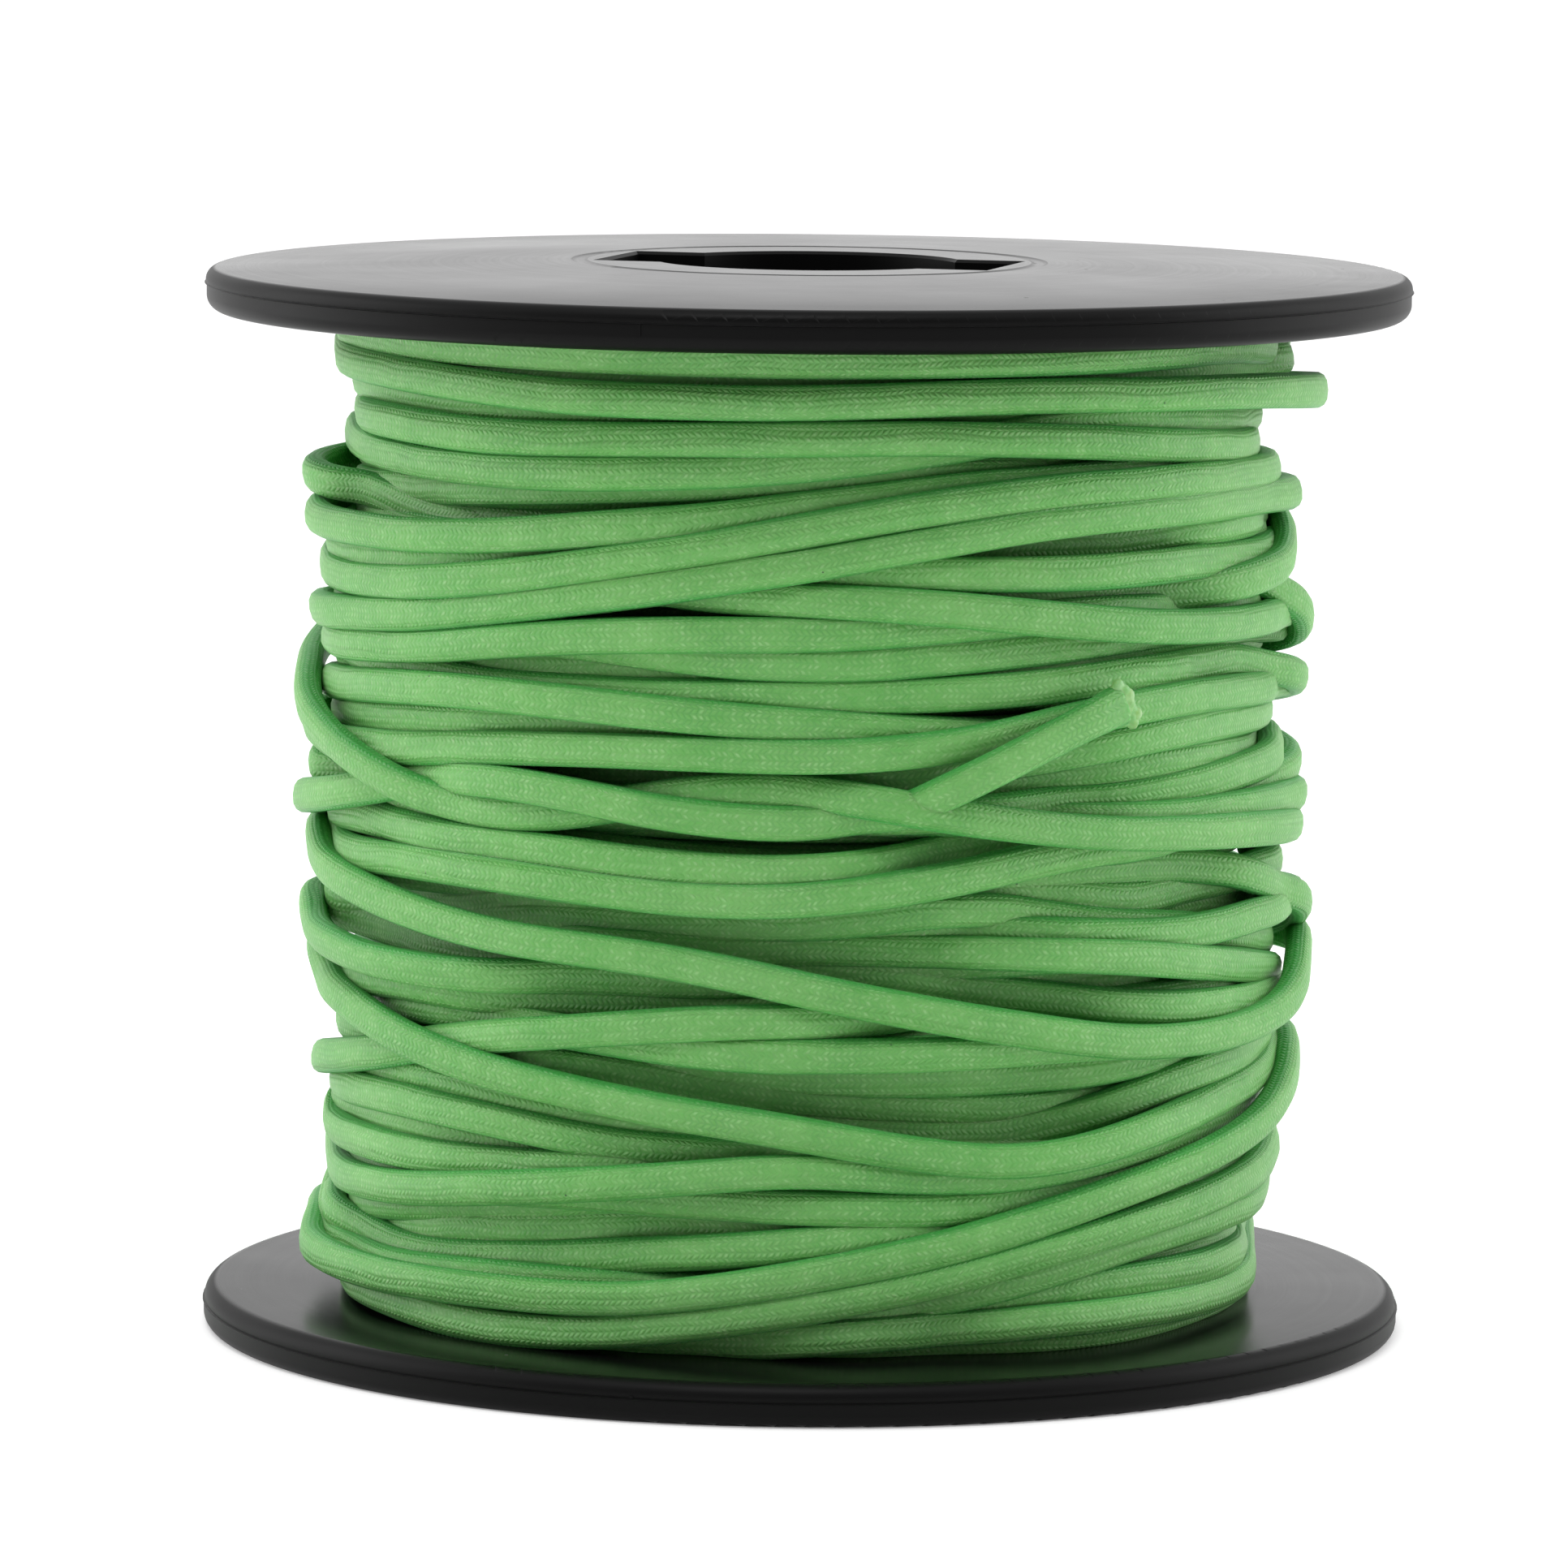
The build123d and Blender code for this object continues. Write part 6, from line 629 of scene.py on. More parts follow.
(-29.19,10.97,20.49),(-30.09,7.91,20.27),(-30.42,4.79,19.77),(-29.22,1.92,19.11),(-28.70,-1.05,18.15),(-28.48,-4.00,16.95),(-28.57,-7.04,16.08),
(-29.34,-9.90,15.05),(-28.69,-12.69,13.92),(-27.24,-15.54,13.83),(-25.53,-18.24,13.89),(-23.57,-20.76,13.97),(-21.35,-23.06,14.01),
(-18.84,-25.05,14.05),(-16.05,-26.60,14.08),(-13.07,-27.76,14.16),(-10.15,-29.06,14.30),(-7.10,-30.00,14.49),(-3.93,-30.35,14.65),(-0.77,-29.97,14.77),
(2.33,-29.19,14.87),(5.42,-28.38,14.96),(8.38,-27.17,15.03),(11.42,-26.19,15.08),(14.40,-25.06,15.12),(16.77,-22.93,15.16),(19.28,-20.97,15.18),
(21.57,-18.74,15.20),(23.51,-16.20,15.22),(25.16,-13.46,15.23),(26.50,-10.56,15.24),(27.49,-7.52,15.24),(28.08,-4.38,15.25),(28.14,-1.19,15.25),
(28.10,2.01,15.26),(28.01,5.20,15.26),(27.24,8.31,15.26),(26.33,11.37,15.25),(25.95,14.53,15.15),(24.60,17.41,15.16),(22.56,19.87,15.21),
(20.21,22.04,15.22),(17.67,23.99,15.16),(14.97,25.69,15.05),(12.11,27.12,14.95),(9.10,28.20,14.94),(5.99,28.96,15.06),(2.85,29.51,15.31),
(-0.32,29.83,15.61),(-3.50,29.75,15.85),(-6.63,29.09,15.96),(-9.63,27.99,15.90),(-12.57,26.74,15.70),(-15.44,25.36,15.47),(-18.18,23.71,15.29),
(-20.64,21.67,15.23),(-22.76,19.29,15.28),(-24.60,16.67,15.38),(-26.22,13.91,15.45),(-27.59,11.02,15.43),(-28.57,7.99,15.32),(-28.90,4.81,15.18),
(-28.99,1.61,15.09),(-28.80,-1.57,15.10),(-27.80,-4.60,15.28),(-28.25,-7.64,15.35),(-28.93,-10.61,15.42),(-27.38,-13.38,15.51),(-25.46,-15.93,15.59),
(-23.75,-18.63,15.67),(-21.79,-21.17,15.73),(-19.50,-23.39,15.73),(-16.82,-25.11,15.63),(-13.84,-26.26,15.38),(-10.84,-27.33,15.17),
(-7.79,-28.29,15.05),(-4.63,-28.76,15.05),(-1.44,-28.57,15.08),(1.72,-28.10,15.11),(4.90,-27.73,15.14),(7.99,-26.94,15.16),(11.01,-25.89,15.17),
(13.87,-24.45,15.18),(16.55,-22.71,15.19),(19.05,-20.71,15.19),(21.30,-18.44,15.20),(23.25,-15.91,15.20),(24.90,-13.17,15.21),(26.23,-10.26,15.21),
(27.21,-7.21,15.21),(27.81,-4.07,15.21),(28.08,-0.89,15.21),(28.01,2.31,15.21),(27.60,5.48,15.21),(26.80,8.58,15.21),(25.96,11.66,15.17),
(24.75,14.61,15.03),(22.89,17.20,15.01),(20.82,19.64,15.12),(18.53,21.86,15.36),(15.98,23.78,15.64),(13.33,25.55,15.87),(10.46,26.94,15.99),
(7.40,27.89,15.99),(4.26,28.45,15.92),(1.07,28.74,15.87),(-2.13,28.72,15.92),(-5.28,28.25,16.08),(-8.34,27.34,16.30),(-11.33,26.21,16.46),
(-14.27,24.94,16.49),(-17.03,23.34,16.33),(-19.47,21.30,16.03),(-21.53,18.88,15.71),(-23.28,16.22,15.45),(-24.88,13.45,15.35),(-26.26,10.56,15.40),
(-27.24,7.53,15.54),(-27.83,4.39,15.71),(-28.14,1.21,15.86),(-28.40,-1.97,16.02),(-29.19,-5.06,16.25),(-29.47,-8.21,16.40),(-28.64,-11.29,16.59),
(-27.43,-14.25,16.79),(-25.92,-17.06,16.98),(-24.09,-19.68,17.17),(-22.03,-22.12,17.32),(-19.77,-24.38,17.41),(-17.32,-26.43,17.42),
(-14.61,-28.12,17.31),(-11.65,-29.29,17.06),(-8.53,-29.90,16.70),(-5.37,-30.26,16.31),(-2.19,-30.20,16.03),(0.99,-30.06,15.88),(4.14,-29.73,15.73),
(6.91,-28.16,15.58),(9.87,-26.95,15.45),(12.76,-25.59,15.32),(15.54,-24.01,15.21),(18.14,-22.15,15.12),(20.68,-20.20,15.05),(23.29,-18.37,15.00),
(25.35,-15.95,14.96),(26.88,-13.14,14.92),(27.99,-10.14,14.90),(28.78,-7.04,14.88),(29.25,-3.88,14.86),(29.27,-0.68,14.85),(28.98,2.50,14.84),
(28.54,5.67,14.83),(27.70,8.75,14.83),(27.22,11.84,14.79),(27.32,15.00,14.63),(26.06,17.93,14.49),(24.24,20.55,14.41),(22.11,22.94,14.37),
(19.73,25.07,14.34),(17.13,26.94,14.30),(14.35,28.52,14.22),(11.44,29.83,14.08),(8.41,30.84,13.93),(5.29,31.55,13.80),(2.12,31.94,13.74),
(-1.08,31.98,13.80),(-4.26,31.71,13.98),(-7.40,31.16,14.23),(-10.47,30.31,14.50),(-13.44,29.14,14.72),(-16.26,27.63,14.81),(-18.86,25.78,14.77),
(-21.21,23.61,14.58),(-23.34,21.24,14.30),(-25.34,18.76,13.99),(-27.20,16.17,13.70),(-28.71,13.37,13.46),(-29.87,10.39,13.27),(-30.69,7.31,13.10),
(-31.17,4.15,12.91),(-31.33,0.97,12.67),(-31.27,-2.22,12.36),(-30.79,-5.36,12.02),(-29.83,-8.39,11.71),(-28.79,-11.40,11.32),(-27.67,-14.38,11.05),
(-26.25,-17.24,11.09),(-24.50,-19.91,11.24),(-22.49,-22.39,11.46),(-20.26,-24.66,11.73),(-17.81,-26.70,12.07),(-15.19,-28.48,12.47),
(-12.38,-29.96,12.89),(-9.42,-31.09,13.30),(-6.34,-31.88,13.67),(-3.20,-32.32,14.06),(-0.02,-32.42,14.43),(3.14,-32.18,14.80),(6.27,-31.58,15.12),
(9.32,-30.63,15.18),(12.24,-29.36,14.94),(15.02,-27.79,14.69),(17.66,-25.99,14.55),(20.17,-24.01,14.51),(22.51,-21.83,14.67),(24.62,-19.45,15.02),
(26.42,-16.84,15.43),(27.84,-14.00,15.73),(28.91,-10.99,15.96),(29.71,-7.90,16.14),(30.27,-4.75,16.27),(30.50,-1.56,16.29),(30.14,1.61,16.27),
(29.59,4.76,16.26),(29.18,7.93,16.24),(27.88,10.81,16.23),(26.85,13.77,16.37),(26.05,16.84,16.34),(24.32,19.52,16.17),(22.17,21.87,15.97),
(19.75,23.96,15.80),(17.16,25.82,15.68),(14.39,27.43,15.56),(11.48,28.73,15.37),(8.44,29.70,15.09),(5.32,30.32,14.74),(2.15,30.59,14.41),
(-1.04,30.55,14.23),(-4.22,30.24,14.28),(-7.35,29.67,14.58),(-10.41,28.85,15.04),(-13.38,27.75,15.51),(-16.22,26.33,15.90),(-18.89,24.60,16.13),
(-21.33,22.53,16.23),(-23.46,20.15,16.28),(-25.34,17.56,16.36),(-26.94,14.80,16.52),(-28.22,11.87,16.73),(-29.06,8.80,16.92),(-29.23,5.61,17.04),
(-28.62,2.47,17.07),(-28.39,-0.71,17.06),(-29.34,-3.70,17.12),(-30.62,-6.59,17.34),(-30.40,-9.73,17.76),(-29.40,-12.72,18.24),(-27.98,-15.54,18.72),
(-26.25,-18.19,19.22),(-24.28,-20.65,19.75),(-22.01,-22.83,20.32),(-19.43,-24.60,21.01),(-16.81,-26.30,21.68),(-14.26,-28.13,22.29),
(-11.56,-29.75,22.81),(-8.65,-31.01,23.27),(-5.59,-31.84,23.69),(-2.44,-32.22,24.07),(0.74,-32.16,24.40),(3.89,-31.68,24.62),(6.94,-30.73,24.70),
(9.80,-29.31,24.69),(12.20,-27.21,24.74),(14.20,-24.73,24.82),(16.68,-22.71,24.89),(19.11,-20.63,24.87),(21.45,-18.44,24.81),(24.02,-16.55,24.76),
(26.25,-14.26,24.72),(28.04,-11.61,24.69),(29.28,-8.67,24.66),(29.97,-5.55,24.65),(29.91,-2.37,24.63),(29.11,0.72,24.62),(29.40,3.89,24.61),
(28.14,6.76,24.60),(26.71,9.61,24.59),(25.36,12.51,24.56),(23.85,15.32,24.60),(22.05,17.97,24.70),(20.03,20.44,24.78),(17.52,22.42,24.79),
(14.75,24.01,24.74),(11.93,25.53,24.72),(8.96,26.69,24.85),(5.91,27.59,25.19),(2.86,28.39,25.70),(-0.29,28.56,26.25),(-3.44,28.33,26.72),
(-6.56,27.74,27.03),(-9.58,26.72,27.18),(-12.53,25.49,27.27),(-15.33,23.95,27.41),(-17.97,22.17,27.68),(-20.31,20.04,28.05),(-22.59,17.83,28.42),
(-24.56,15.33,28.68),(-26.13,12.55,28.77),(-27.33,9.58,28.71),(-28.08,6.48,28.58),(-28.40,3.30,28.49),(-28.46,0.10,28.47),(-28.90,-3.01,28.51),
(-30.99,-5.43,28.48),(-31.69,-8.39,28.43),(-30.70,-11.38,27.97),(-29.53,-14.24,27.16),(-28.14,-17.11,26.92),(-26.36,-19.76,26.74),
(-24.28,-22.18,26.56),(-21.93,-24.34,26.44),(-19.33,-26.21,26.42),(-16.52,-27.72,26.43),(-13.48,-28.70,26.47),(-10.30,-28.64,26.55),
(-7.17,-28.08,26.64),(-3.99,-28.45,26.66),(-0.80,-28.57,26.65),(2.40,-28.48,26.72),(5.56,-28.05,26.94),(8.51,-26.86,27.27),(11.52,-25.83,27.55),
(14.44,-24.54,27.76),(17.24,-23.01,27.93),(20.06,-21.51,28.05),(22.58,-19.62,28.14),(24.21,-16.88,28.22),(25.66,-14.03,28.28),(26.64,-10.98,28.33),
(27.56,-7.92,28.36),(28.45,-4.84,28.39),(29.09,-1.72,28.41),(29.26,1.48,28.43),(28.96,4.66,28.45),(28.18,7.76,28.46),(26.94,10.69,28.46),
(27.25,13.85,28.60),(26.99,17.01,28.73),(25.56,19.85,28.88),(23.57,22.35,29.06),(21.29,24.59,29.26),(18.81,26.60,29.41),(16.13,28.34,29.45),
(13.27,29.77,29.34),(10.29,30.90,29.08),(7.22,31.72,28.73),(4.09,32.28,28.40),(0.91,32.55,28.18),(-2.29,32.48,28.14),(-5.46,32.09,28.29),
(-8.57,31.40,28.58),(-11.59,30.42,28.92),(-14.51,29.14,29.23),(-17.28,27.57,29.47),(-19.88,25.71,29.65),(-22.25,23.57,29.82),(-24.39,21.20,30.05),
(-26.33,18.68,30.35),(-28.09,16.03,30.71),(-29.61,13.24,31.07),(-30.74,10.27,31.34),(-31.28,7.12,31.47),(-30.70,4.01,31.44),(-29.27,1.16,31.30),
(-28.49,-1.94,31.06),(-27.71,-5.03,30.84),(-27.18,-8.18,30.84),(-26.13,-11.21,30.84),(-24.81,-14.12,30.83),(-22.96,-16.72,30.83),(-20.72,-19.00,30.82),
(-18.42,-21.22,30.81),(-15.90,-23.20,30.80),(-13.20,-24.90,30.79),(-10.26,-26.16,30.77),(-7.23,-27.18,30.75),(-4.11,-27.86,30.72),(-0.94,-28.33,30.69),
(2.25,-28.31,30.64),(5.42,-27.89,30.58),(8.52,-27.09,30.49),(11.48,-25.90,30.39),(14.40,-24.59,30.26),(17.31,-23.27,30.09),(20.26,-22.07,29.89),
(22.99,-20.45,29.67),(25.25,-18.21,29.41),(27.14,-15.65,29.17),(28.76,-12.88,29.09),(30.07,-9.97,29.12),(30.98,-6.91,29.20),(31.63,-3.77,29.26),
(32.16,-0.62,29.29),(31.86,2.54,29.28),(31.45,5.68,29.25),(31.78,8.80,29.22),(29.60,10.97,29.20),(26.71,12.28,29.20),(25.83,15.26,29.21),
(24.76,18.26,29.25),(22.88,20.84,29.38),(20.65,23.12,29.57),(18.21,25.18,29.80),(15.59,27.00,30.00),(12.79,28.54,30.13),(9.87,29.84,30.20),
(6.86,30.94,30.23),(3.76,31.71,30.30),(0.59,31.57,30.49),(-2.53,31.00,30.83),(-5.68,30.78,31.33),(-8.81,30.46,31.93),(-11.79,29.52,32.55),
(-14.27,27.60,33.10),(-16.70,25.58,33.54),(-19.42,23.91,33.84),(-22.00,22.04,34.00),(-24.31,19.83,34.10),(-26.26,17.30,34.17),(-27.71,14.45,34.24),
(-28.77,11.44,34.28),(-29.42,8.31,34.21),(-29.42,5.13,33.97),(-29.08,1.99,33.47),(-28.96,-1.10,32.67),(-28.60,-4.08,31.58),(-28.25,-7.13,30.73),
(-29.55,-9.86,29.82),(-28.62,-12.37,28.65),(-25.76,-13.75,28.66),(-23.35,-15.75,28.71),(-21.41,-18.29,28.73),(-19.48,-20.84,28.72),
(-17.09,-22.96,28.62),(-14.38,-24.63,28.42),(-11.39,-25.74,28.21),(-8.44,-26.96,28.01),(-5.41,-27.92,27.86),(-2.22,-28.13,27.75),(0.94,-28.59,27.66),
(4.11,-28.25,27.59),(7.14,-27.23,27.53),(10.20,-26.30,27.49),(13.21,-25.24,27.46),(15.98,-23.65,27.43),(18.29,-21.45,27.42),(20.60,-19.23,27.40),
(22.74,-16.85,27.39),(24.95,-14.54,27.38),(26.17,-11.60,27.37),(27.31,-8.62,27.37),(28.41,-5.62,27.36),(28.63,-2.45,27.36),(28.36,0.74,27.36),
(28.13,3.93,27.36),(27.30,7.01,27.35),(26.40,10.08,27.35),(25.73,13.21,27.42),(24.85,16.28,27.40),(23.17,19.00,27.36),(21.06,21.39,27.39),
(18.62,23.46,27.52),(15.89,25.11,27.69),(12.90,26.21,27.85),(9.87,27.25,27.92),(6.78,28.06,27.90),(3.63,28.60,27.87),(0.45,28.93,27.97),
(-2.73,28.78,28.29),(-5.86,28.40,28.82),(-8.96,27.94,29.48),(-11.94,27.05,30.11),(-14.52,25.23,30.62),(-17.17,23.48,30.95),(-19.68,21.50,31.13),
(-21.94,19.24,31.25),(-23.72,16.59,31.42),(-25.07,13.71,31.66),(-26.33,10.78,31.93),(-27.40,7.78,32.14),(-27.88,4.62,32.21),(-28.27,1.45,32.14),
(-28.14,-1.74,32.01),(-28.13,-4.94,31.94),(-28.01,-8.14,31.94),(-27.48,-11.25,31.95),(-26.32,-14.23,31.95),(-25.00,-17.14,31.96),(-23.20,-19.78,31.97),
(-20.80,-21.85,31.98),(-17.77,-22.82,32.00),(-14.96,-24.35,32.01),(-12.00,-25.56,32.04),(-9.04,-26.77,32.07),(-6.09,-28.00,32.12),(-2.99,-28.77,32.17),
(0.17,-29.12,32.24),(3.36,-28.89,32.33),(6.51,-28.33,32.44),(9.54,-27.35,32.59),(12.50,-26.14,32.78),(15.10,-24.30,33.02),(17.72,-22.48,33.31),
(20.13,-20.39,33.50),(22.40,-18.14,33.54),(24.27,-15.55,33.47),(25.79,-12.75,33.30),(26.99,-9.79,33.07),(28.76,-7.16,32.77),(30.88,-4.84,32.25),
(31.69,-1.91,31.38),(31.77,1.14,30.49),(32.69,4.10,29.71),(32.34,7.10,28.75),(31.06,9.82,27.68),(28.87,11.93,26.85),(26.34,13.61,26.03),
(25.48,16.58,25.26),(24.35,19.53,24.79),(22.46,22.08,24.54),(20.05,24.19,24.42),(17.38,25.95,24.37),(14.54,27.42,24.35),(11.56,28.58,24.32),
(8.45,29.28,24.31),(5.26,29.58,24.35),(2.07,29.69,24.46),(-1.12,29.62,24.68),(-4.28,29.22,24.97),(-7.39,28.52,25.31),(-10.42,27.57,25.62),
(-13.36,26.33,25.85),(-16.22,24.90,25.97),(-19.05,23.41,25.99),(-21.89,21.93,25.97),(-24.45,20.02,25.95),(-26.46,17.54,25.99),(-28.06,14.78,26.12),
(-29.36,11.87,26.35),(-30.13,8.78,26.65),(-30.14,5.61,27.00),(-29.66,2.47,27.34),(-28.72,-0.57,27.66),(-28.34,-3.72,27.96),(-27.55,-6.80,28.18),
(-26.78,-9.88,28.43),(-25.48,-12.78,28.69),(-23.56,-15.32,28.95),(-21.67,-17.88,29.25),(-19.58,-20.27,29.61),(-17.17,-22.34,30.04),
(-14.80,-24.43,30.53),(-11.98,-25.74,31.05),(-9.15,-27.13,31.61),(-6.29,-28.45,32.15),(-3.40,-29.73,32.62),(-0.35,-30.51,33.04),(2.82,-30.35,33.44),
(5.94,-29.73,33.77),(8.97,-28.77,34.03),(11.79,-27.27,34.24),(14.25,-25.24,34.40),(16.78,-23.29,34.53),(19.34,-21.38,34.64),(21.66,-19.18,34.71),
(23.85,-16.85,34.78),(25.68,-14.23,34.82),(26.47,-11.15,34.86),(27.50,-8.13,34.89),(28.63,-5.14,34.91),(29.35,-2.02,34.93),(29.81,1.13,34.94),
(29.42,4.30,34.95),(28.38,7.32,34.96),(26.76,10.08,34.97),(26.07,13.18,34.87),(25.31,16.28,34.83),(23.81,19.10,34.91),(21.94,21.69,35.12),
(20.03,24.23,35.42),(17.69,26.38,35.73),(14.91,27.93,35.98),(11.96,29.17,36.09),(8.94,30.21,36.06),(5.85,31.02,35.93),(2.67,31.37,35.77),
(-0.52,31.27,35.64),(-3.70,30.90,35.58),(-6.81,30.19,35.56),(-9.84,29.14,35.51),(-12.81,27.98,35.33),(-15.78,26.84,35.00),(-18.76,25.76,34.53),
(-21.54,24.29,34.01),(-23.92,22.22,33.51),(-25.93,19.77,33.11),(-27.58,17.04,32.88),(-28.78,14.07,32.81),(-29.77,11.03,32.87),(-30.48,7.92,33.01),
(-30.50,4.74,33.18),(-29.97,1.60,33.37),(-29.70,-1.51,33.65),(-28.32,-4.34,34.10),(-28.60,-7.45,34.35),(-29.20,-10.50,34.56),(-27.98,-13.44,34.82),
(-26.43,-16.23,35.04),(-24.55,-18.81,35.16),(-22.31,-21.09,35.22),(-20.21,-23.49,35.17),(-17.93,-25.73,35.10),(-15.25,-27.47,35.03),
(-12.39,-28.91,34.98),(-9.45,-30.16,34.95),(-6.41,-31.15,34.85),(-3.27,-31.72,34.65),(-0.09,-31.91,34.45),(3.10,-31.74,34.29),(6.25,-31.19,34.24),
(9.31,-30.26,34.36),(12.13,-28.78,34.61),(14.29,-26.48,34.91),(16.08,-23.87,35.29),(18.64,-22.04,35.83),(20.87,-19.80,36.25),(23.25,-17.68,36.55),
(25.12,-15.12,36.84),(26.04,-12.08,37.12),(27.51,-9.25,37.36),(28.65,-6.27,37.54),(29.31,-3.15,37.68),(29.50,0.03,37.79),(28.92,3.18,37.87),
(28.33,6.32,37.94),(27.28,9.34,37.99),(25.47,11.96,37.94),(24.00,14.80,37.81),(22.33,17.52,37.70),(20.35,20.03,37.60),(18.03,22.23,37.49),
(15.75,24.47,37.39),(13.11,26.25,37.34),(10.20,27.59,37.39),(7.17,28.60,37.56),(4.08,29.36,37.85),(0.95,29.86,38.25),(-2.22,29.95,38.68),
(-5.31,29.28,39.09),(-8.34,28.29,39.39),(-11.32,27.14,39.53),(-14.27,25.90,39.48),(-17.04,24.32,39.27),(-19.48,22.28,38.93),(-21.78,20.09,38.55),
(-23.82,17.66,38.19),(-25.49,14.95,37.89),(-26.78,12.03,37.69),(-27.72,8.98,37.57),(-28.49,5.88,37.52),(-28.81,2.69,37.52),(-28.41,-0.47,37.56),
(-28.27,-3.63,37.68),(-27.93,-6.80,37.76),(-27.79,-9.99,37.76),(-25.93,-12.54,37.77),(-24.49,-15.36,37.78),(-22.69,-17.99,37.80),(-20.29,-20.10,37.82),
(-17.89,-22.21,37.84),(-15.30,-24.09,37.87),(-12.39,-25.40,37.91),(-9.49,-26.75,37.96),(-6.44,-27.71,38.03),(-3.26,-27.96,38.12),(-0.07,-28.11,38.23),
(3.12,-27.93,38.37),(6.28,-27.52,38.56),(9.33,-26.59,38.81),(12.37,-25.63,39.11),(15.31,-24.41,39.37),(17.81,-22.44,39.53),(20.06,-20.17,39.64),
(22.56,-18.19,39.79),(25.08,-16.24,40.09),(27.05,-13.75,40.30),(28.39,-10.85,40.31),(29.23,-7.77,40.17),(29.72,-4.61,40.00),(29.95,-1.42,39.84),
(29.52,1.74,39.67),(28.97,4.88,39.50),(28.43,8.03,39.33),(26.93,10.79,39.20),(25.17,13.43,39.27),(23.41,16.10,39.31),(21.48,18.65,39.22),
(19.35,21.01,38.95),(17.65,23.64,38.56),(16.45,26.56,38.19),(14.15,28.74,37.82),(11.34,30.24,37.58),(8.31,31.24,37.50),(5.16,31.79,37.57),
(1.97,32.00,37.74),(-1.22,31.99,37.90),(-4.41,31.71,38.02),(-7.56,31.18,38.07),(-10.66,30.38,38.09),(-13.65,29.26,38.13),(-16.51,27.83,38.26),
(-19.20,26.11,38.45),(-21.69,24.11,38.66),(-23.95,21.85,38.82),(-25.94,19.36,38.84),(-27.65,16.66,38.69),(-29.21,13.88,38.39),(-30.55,11.00,38.03),
(-31.55,7.98,37.69),(-32.15,4.85,37.46),(-32.23,1.66,37.38),(-31.35,-1.39,37.44),(-29.25,-3.78,37.58),(-28.09,-6.70,37.66),(-27.52,-9.84,37.66),
(-25.82,-12.49,37.65),(-24.48,-15.37,37.65),(-22.68,-18.00,37.65),(-20.21,-20.02,37.65),(-17.91,-22.23,37.64),(-15.25,-24.00,37.64),
(-12.39,-25.43,37.63),(-9.47,-26.73,37.62),(-6.52,-27.95,37.61),(-3.33,-27.94,37.59),(-0.14,-28.10,37.57),(3.06,-27.95,37.54),(6.24,-27.72,37.51),
(9.37,-27.03,37.47),(12.41,-26.04,37.41),(15.37,-24.84,37.34),(18.20,-23.35,37.25),(20.41,-21.05,37.14),(23.22,-19.58,37.00),(25.67,-17.55,36.87),
(27.56,-14.98,36.76),(29.10,-12.17,36.72),(30.42,-9.26,36.71),(31.42,-6.22,36.71),(32.08,-3.09,36.65),(32.39,0.09,36.56),(32.63,3.28,36.44),
(31.97,6.38,36.31),(30.34,9.12,36.19),(27.78,10.96,36.11),(25.16,12.66,36.29),(23.50,15.40,36.47),(21.62,17.97,36.60),(19.44,20.31,36.70),
(17.01,22.39,36.80),(14.37,24.18,36.93),(11.55,25.69,37.09),(8.57,26.83,37.23),(5.49,27.69,37.31),(2.38,28.43,37.29),(-0.79,28.76,37.16),
(-3.97,28.46,36.91),(-7.13,28.08,36.61),(-10.21,27.33,36.32),(-13.04,25.86,36.10),(-15.75,24.16,36.03),(-18.44,22.43,36.11),(-21.08,20.64,36.31),
(-22.89,18.04,36.58),(-24.34,15.21,36.86),(-25.92,12.43,37.07),(-26.97,9.42,37.14),(-27.80,6.34,37.04),(-28.20,3.18,36.75),(-28.17,0.03,36.24),
(-28.58,-3.03,35.52),(-30.08,-5.77,34.86),(-29.76,-8.74,34.09),(-28.61,-11.33,32.75),(-27.47,-14.31,32.66),(-26.30,-17.28,32.72),(-24.56,-19.96,32.85),
(-22.41,-22.33,32.98),(-20.04,-24.47,33.09),(-17.59,-26.52,33.18),(-14.93,-28.30,33.21),(-12.09,-29.76,33.14),(-9.10,-30.89,33.02),
(-6.01,-31.69,32.88),(-2.85,-32.18,32.71),(0.34,-32.36,32.52),(3.53,-32.22,32.46),(6.69,-31.75,32.53),(9.77,-30.88,32.73),(12.70,-29.65,33.07),
(15.46,-28.11,33.51),(18.00,-26.22,33.98),(20.24,-23.99,34.43),(22.14,-21.43,34.75),(24.03,-18.87,35.01),(26.00,-16.36,35.13),(27.37,-13.49,35.16),
(27.67,-10.31,35.20),(28.89,-7.37,35.23),(30.01,-4.37,35.25),(30.94,-1.31,35.27),(31.22,1.86,35.29),(30.71,5.02,35.30),(29.64,8.01,35.31),
(27.48,10.34,35.31),(25.35,12.64,35.25),(24.20,15.63,35.17),(22.51,18.34,35.17),(20.22,20.56,35.23),(17.79,22.64,35.35),(15.31,24.66,35.48),
(12.51,26.18,35.55),(9.53,27.36,35.52),(6.47,28.26,35.38),(3.36,28.96,35.15),(0.20,29.40,34.90),(-2.99,29.64,34.69),(-6.14,29.21,34.57),
(-9.18,28.22,34.53),(-12.14,26.99,34.56),(-14.99,25.55,34.60),(-17.64,23.75,34.59),(-20.22,21.87,34.49),(-22.58,19.72,34.30),(-24.64,17.28,34.06),
(-26.24,14.53,33.82),(-27.47,11.58,33.64),(-28.25,8.48,33.58),(-28.42,5.29,33.67),(-28.68,2.12,33.90),(-28.81,-1.05,34.24),(-28.54,-4.18,34.66),
(-29.53,-7.19,34.99),(-31.19,-9.89,35.26),(-30.81,-12.94,35.65),(-29.40,-15.78,36.06),(-27.61,-18.40,36.49),(-25.46,-20.70,37.01),
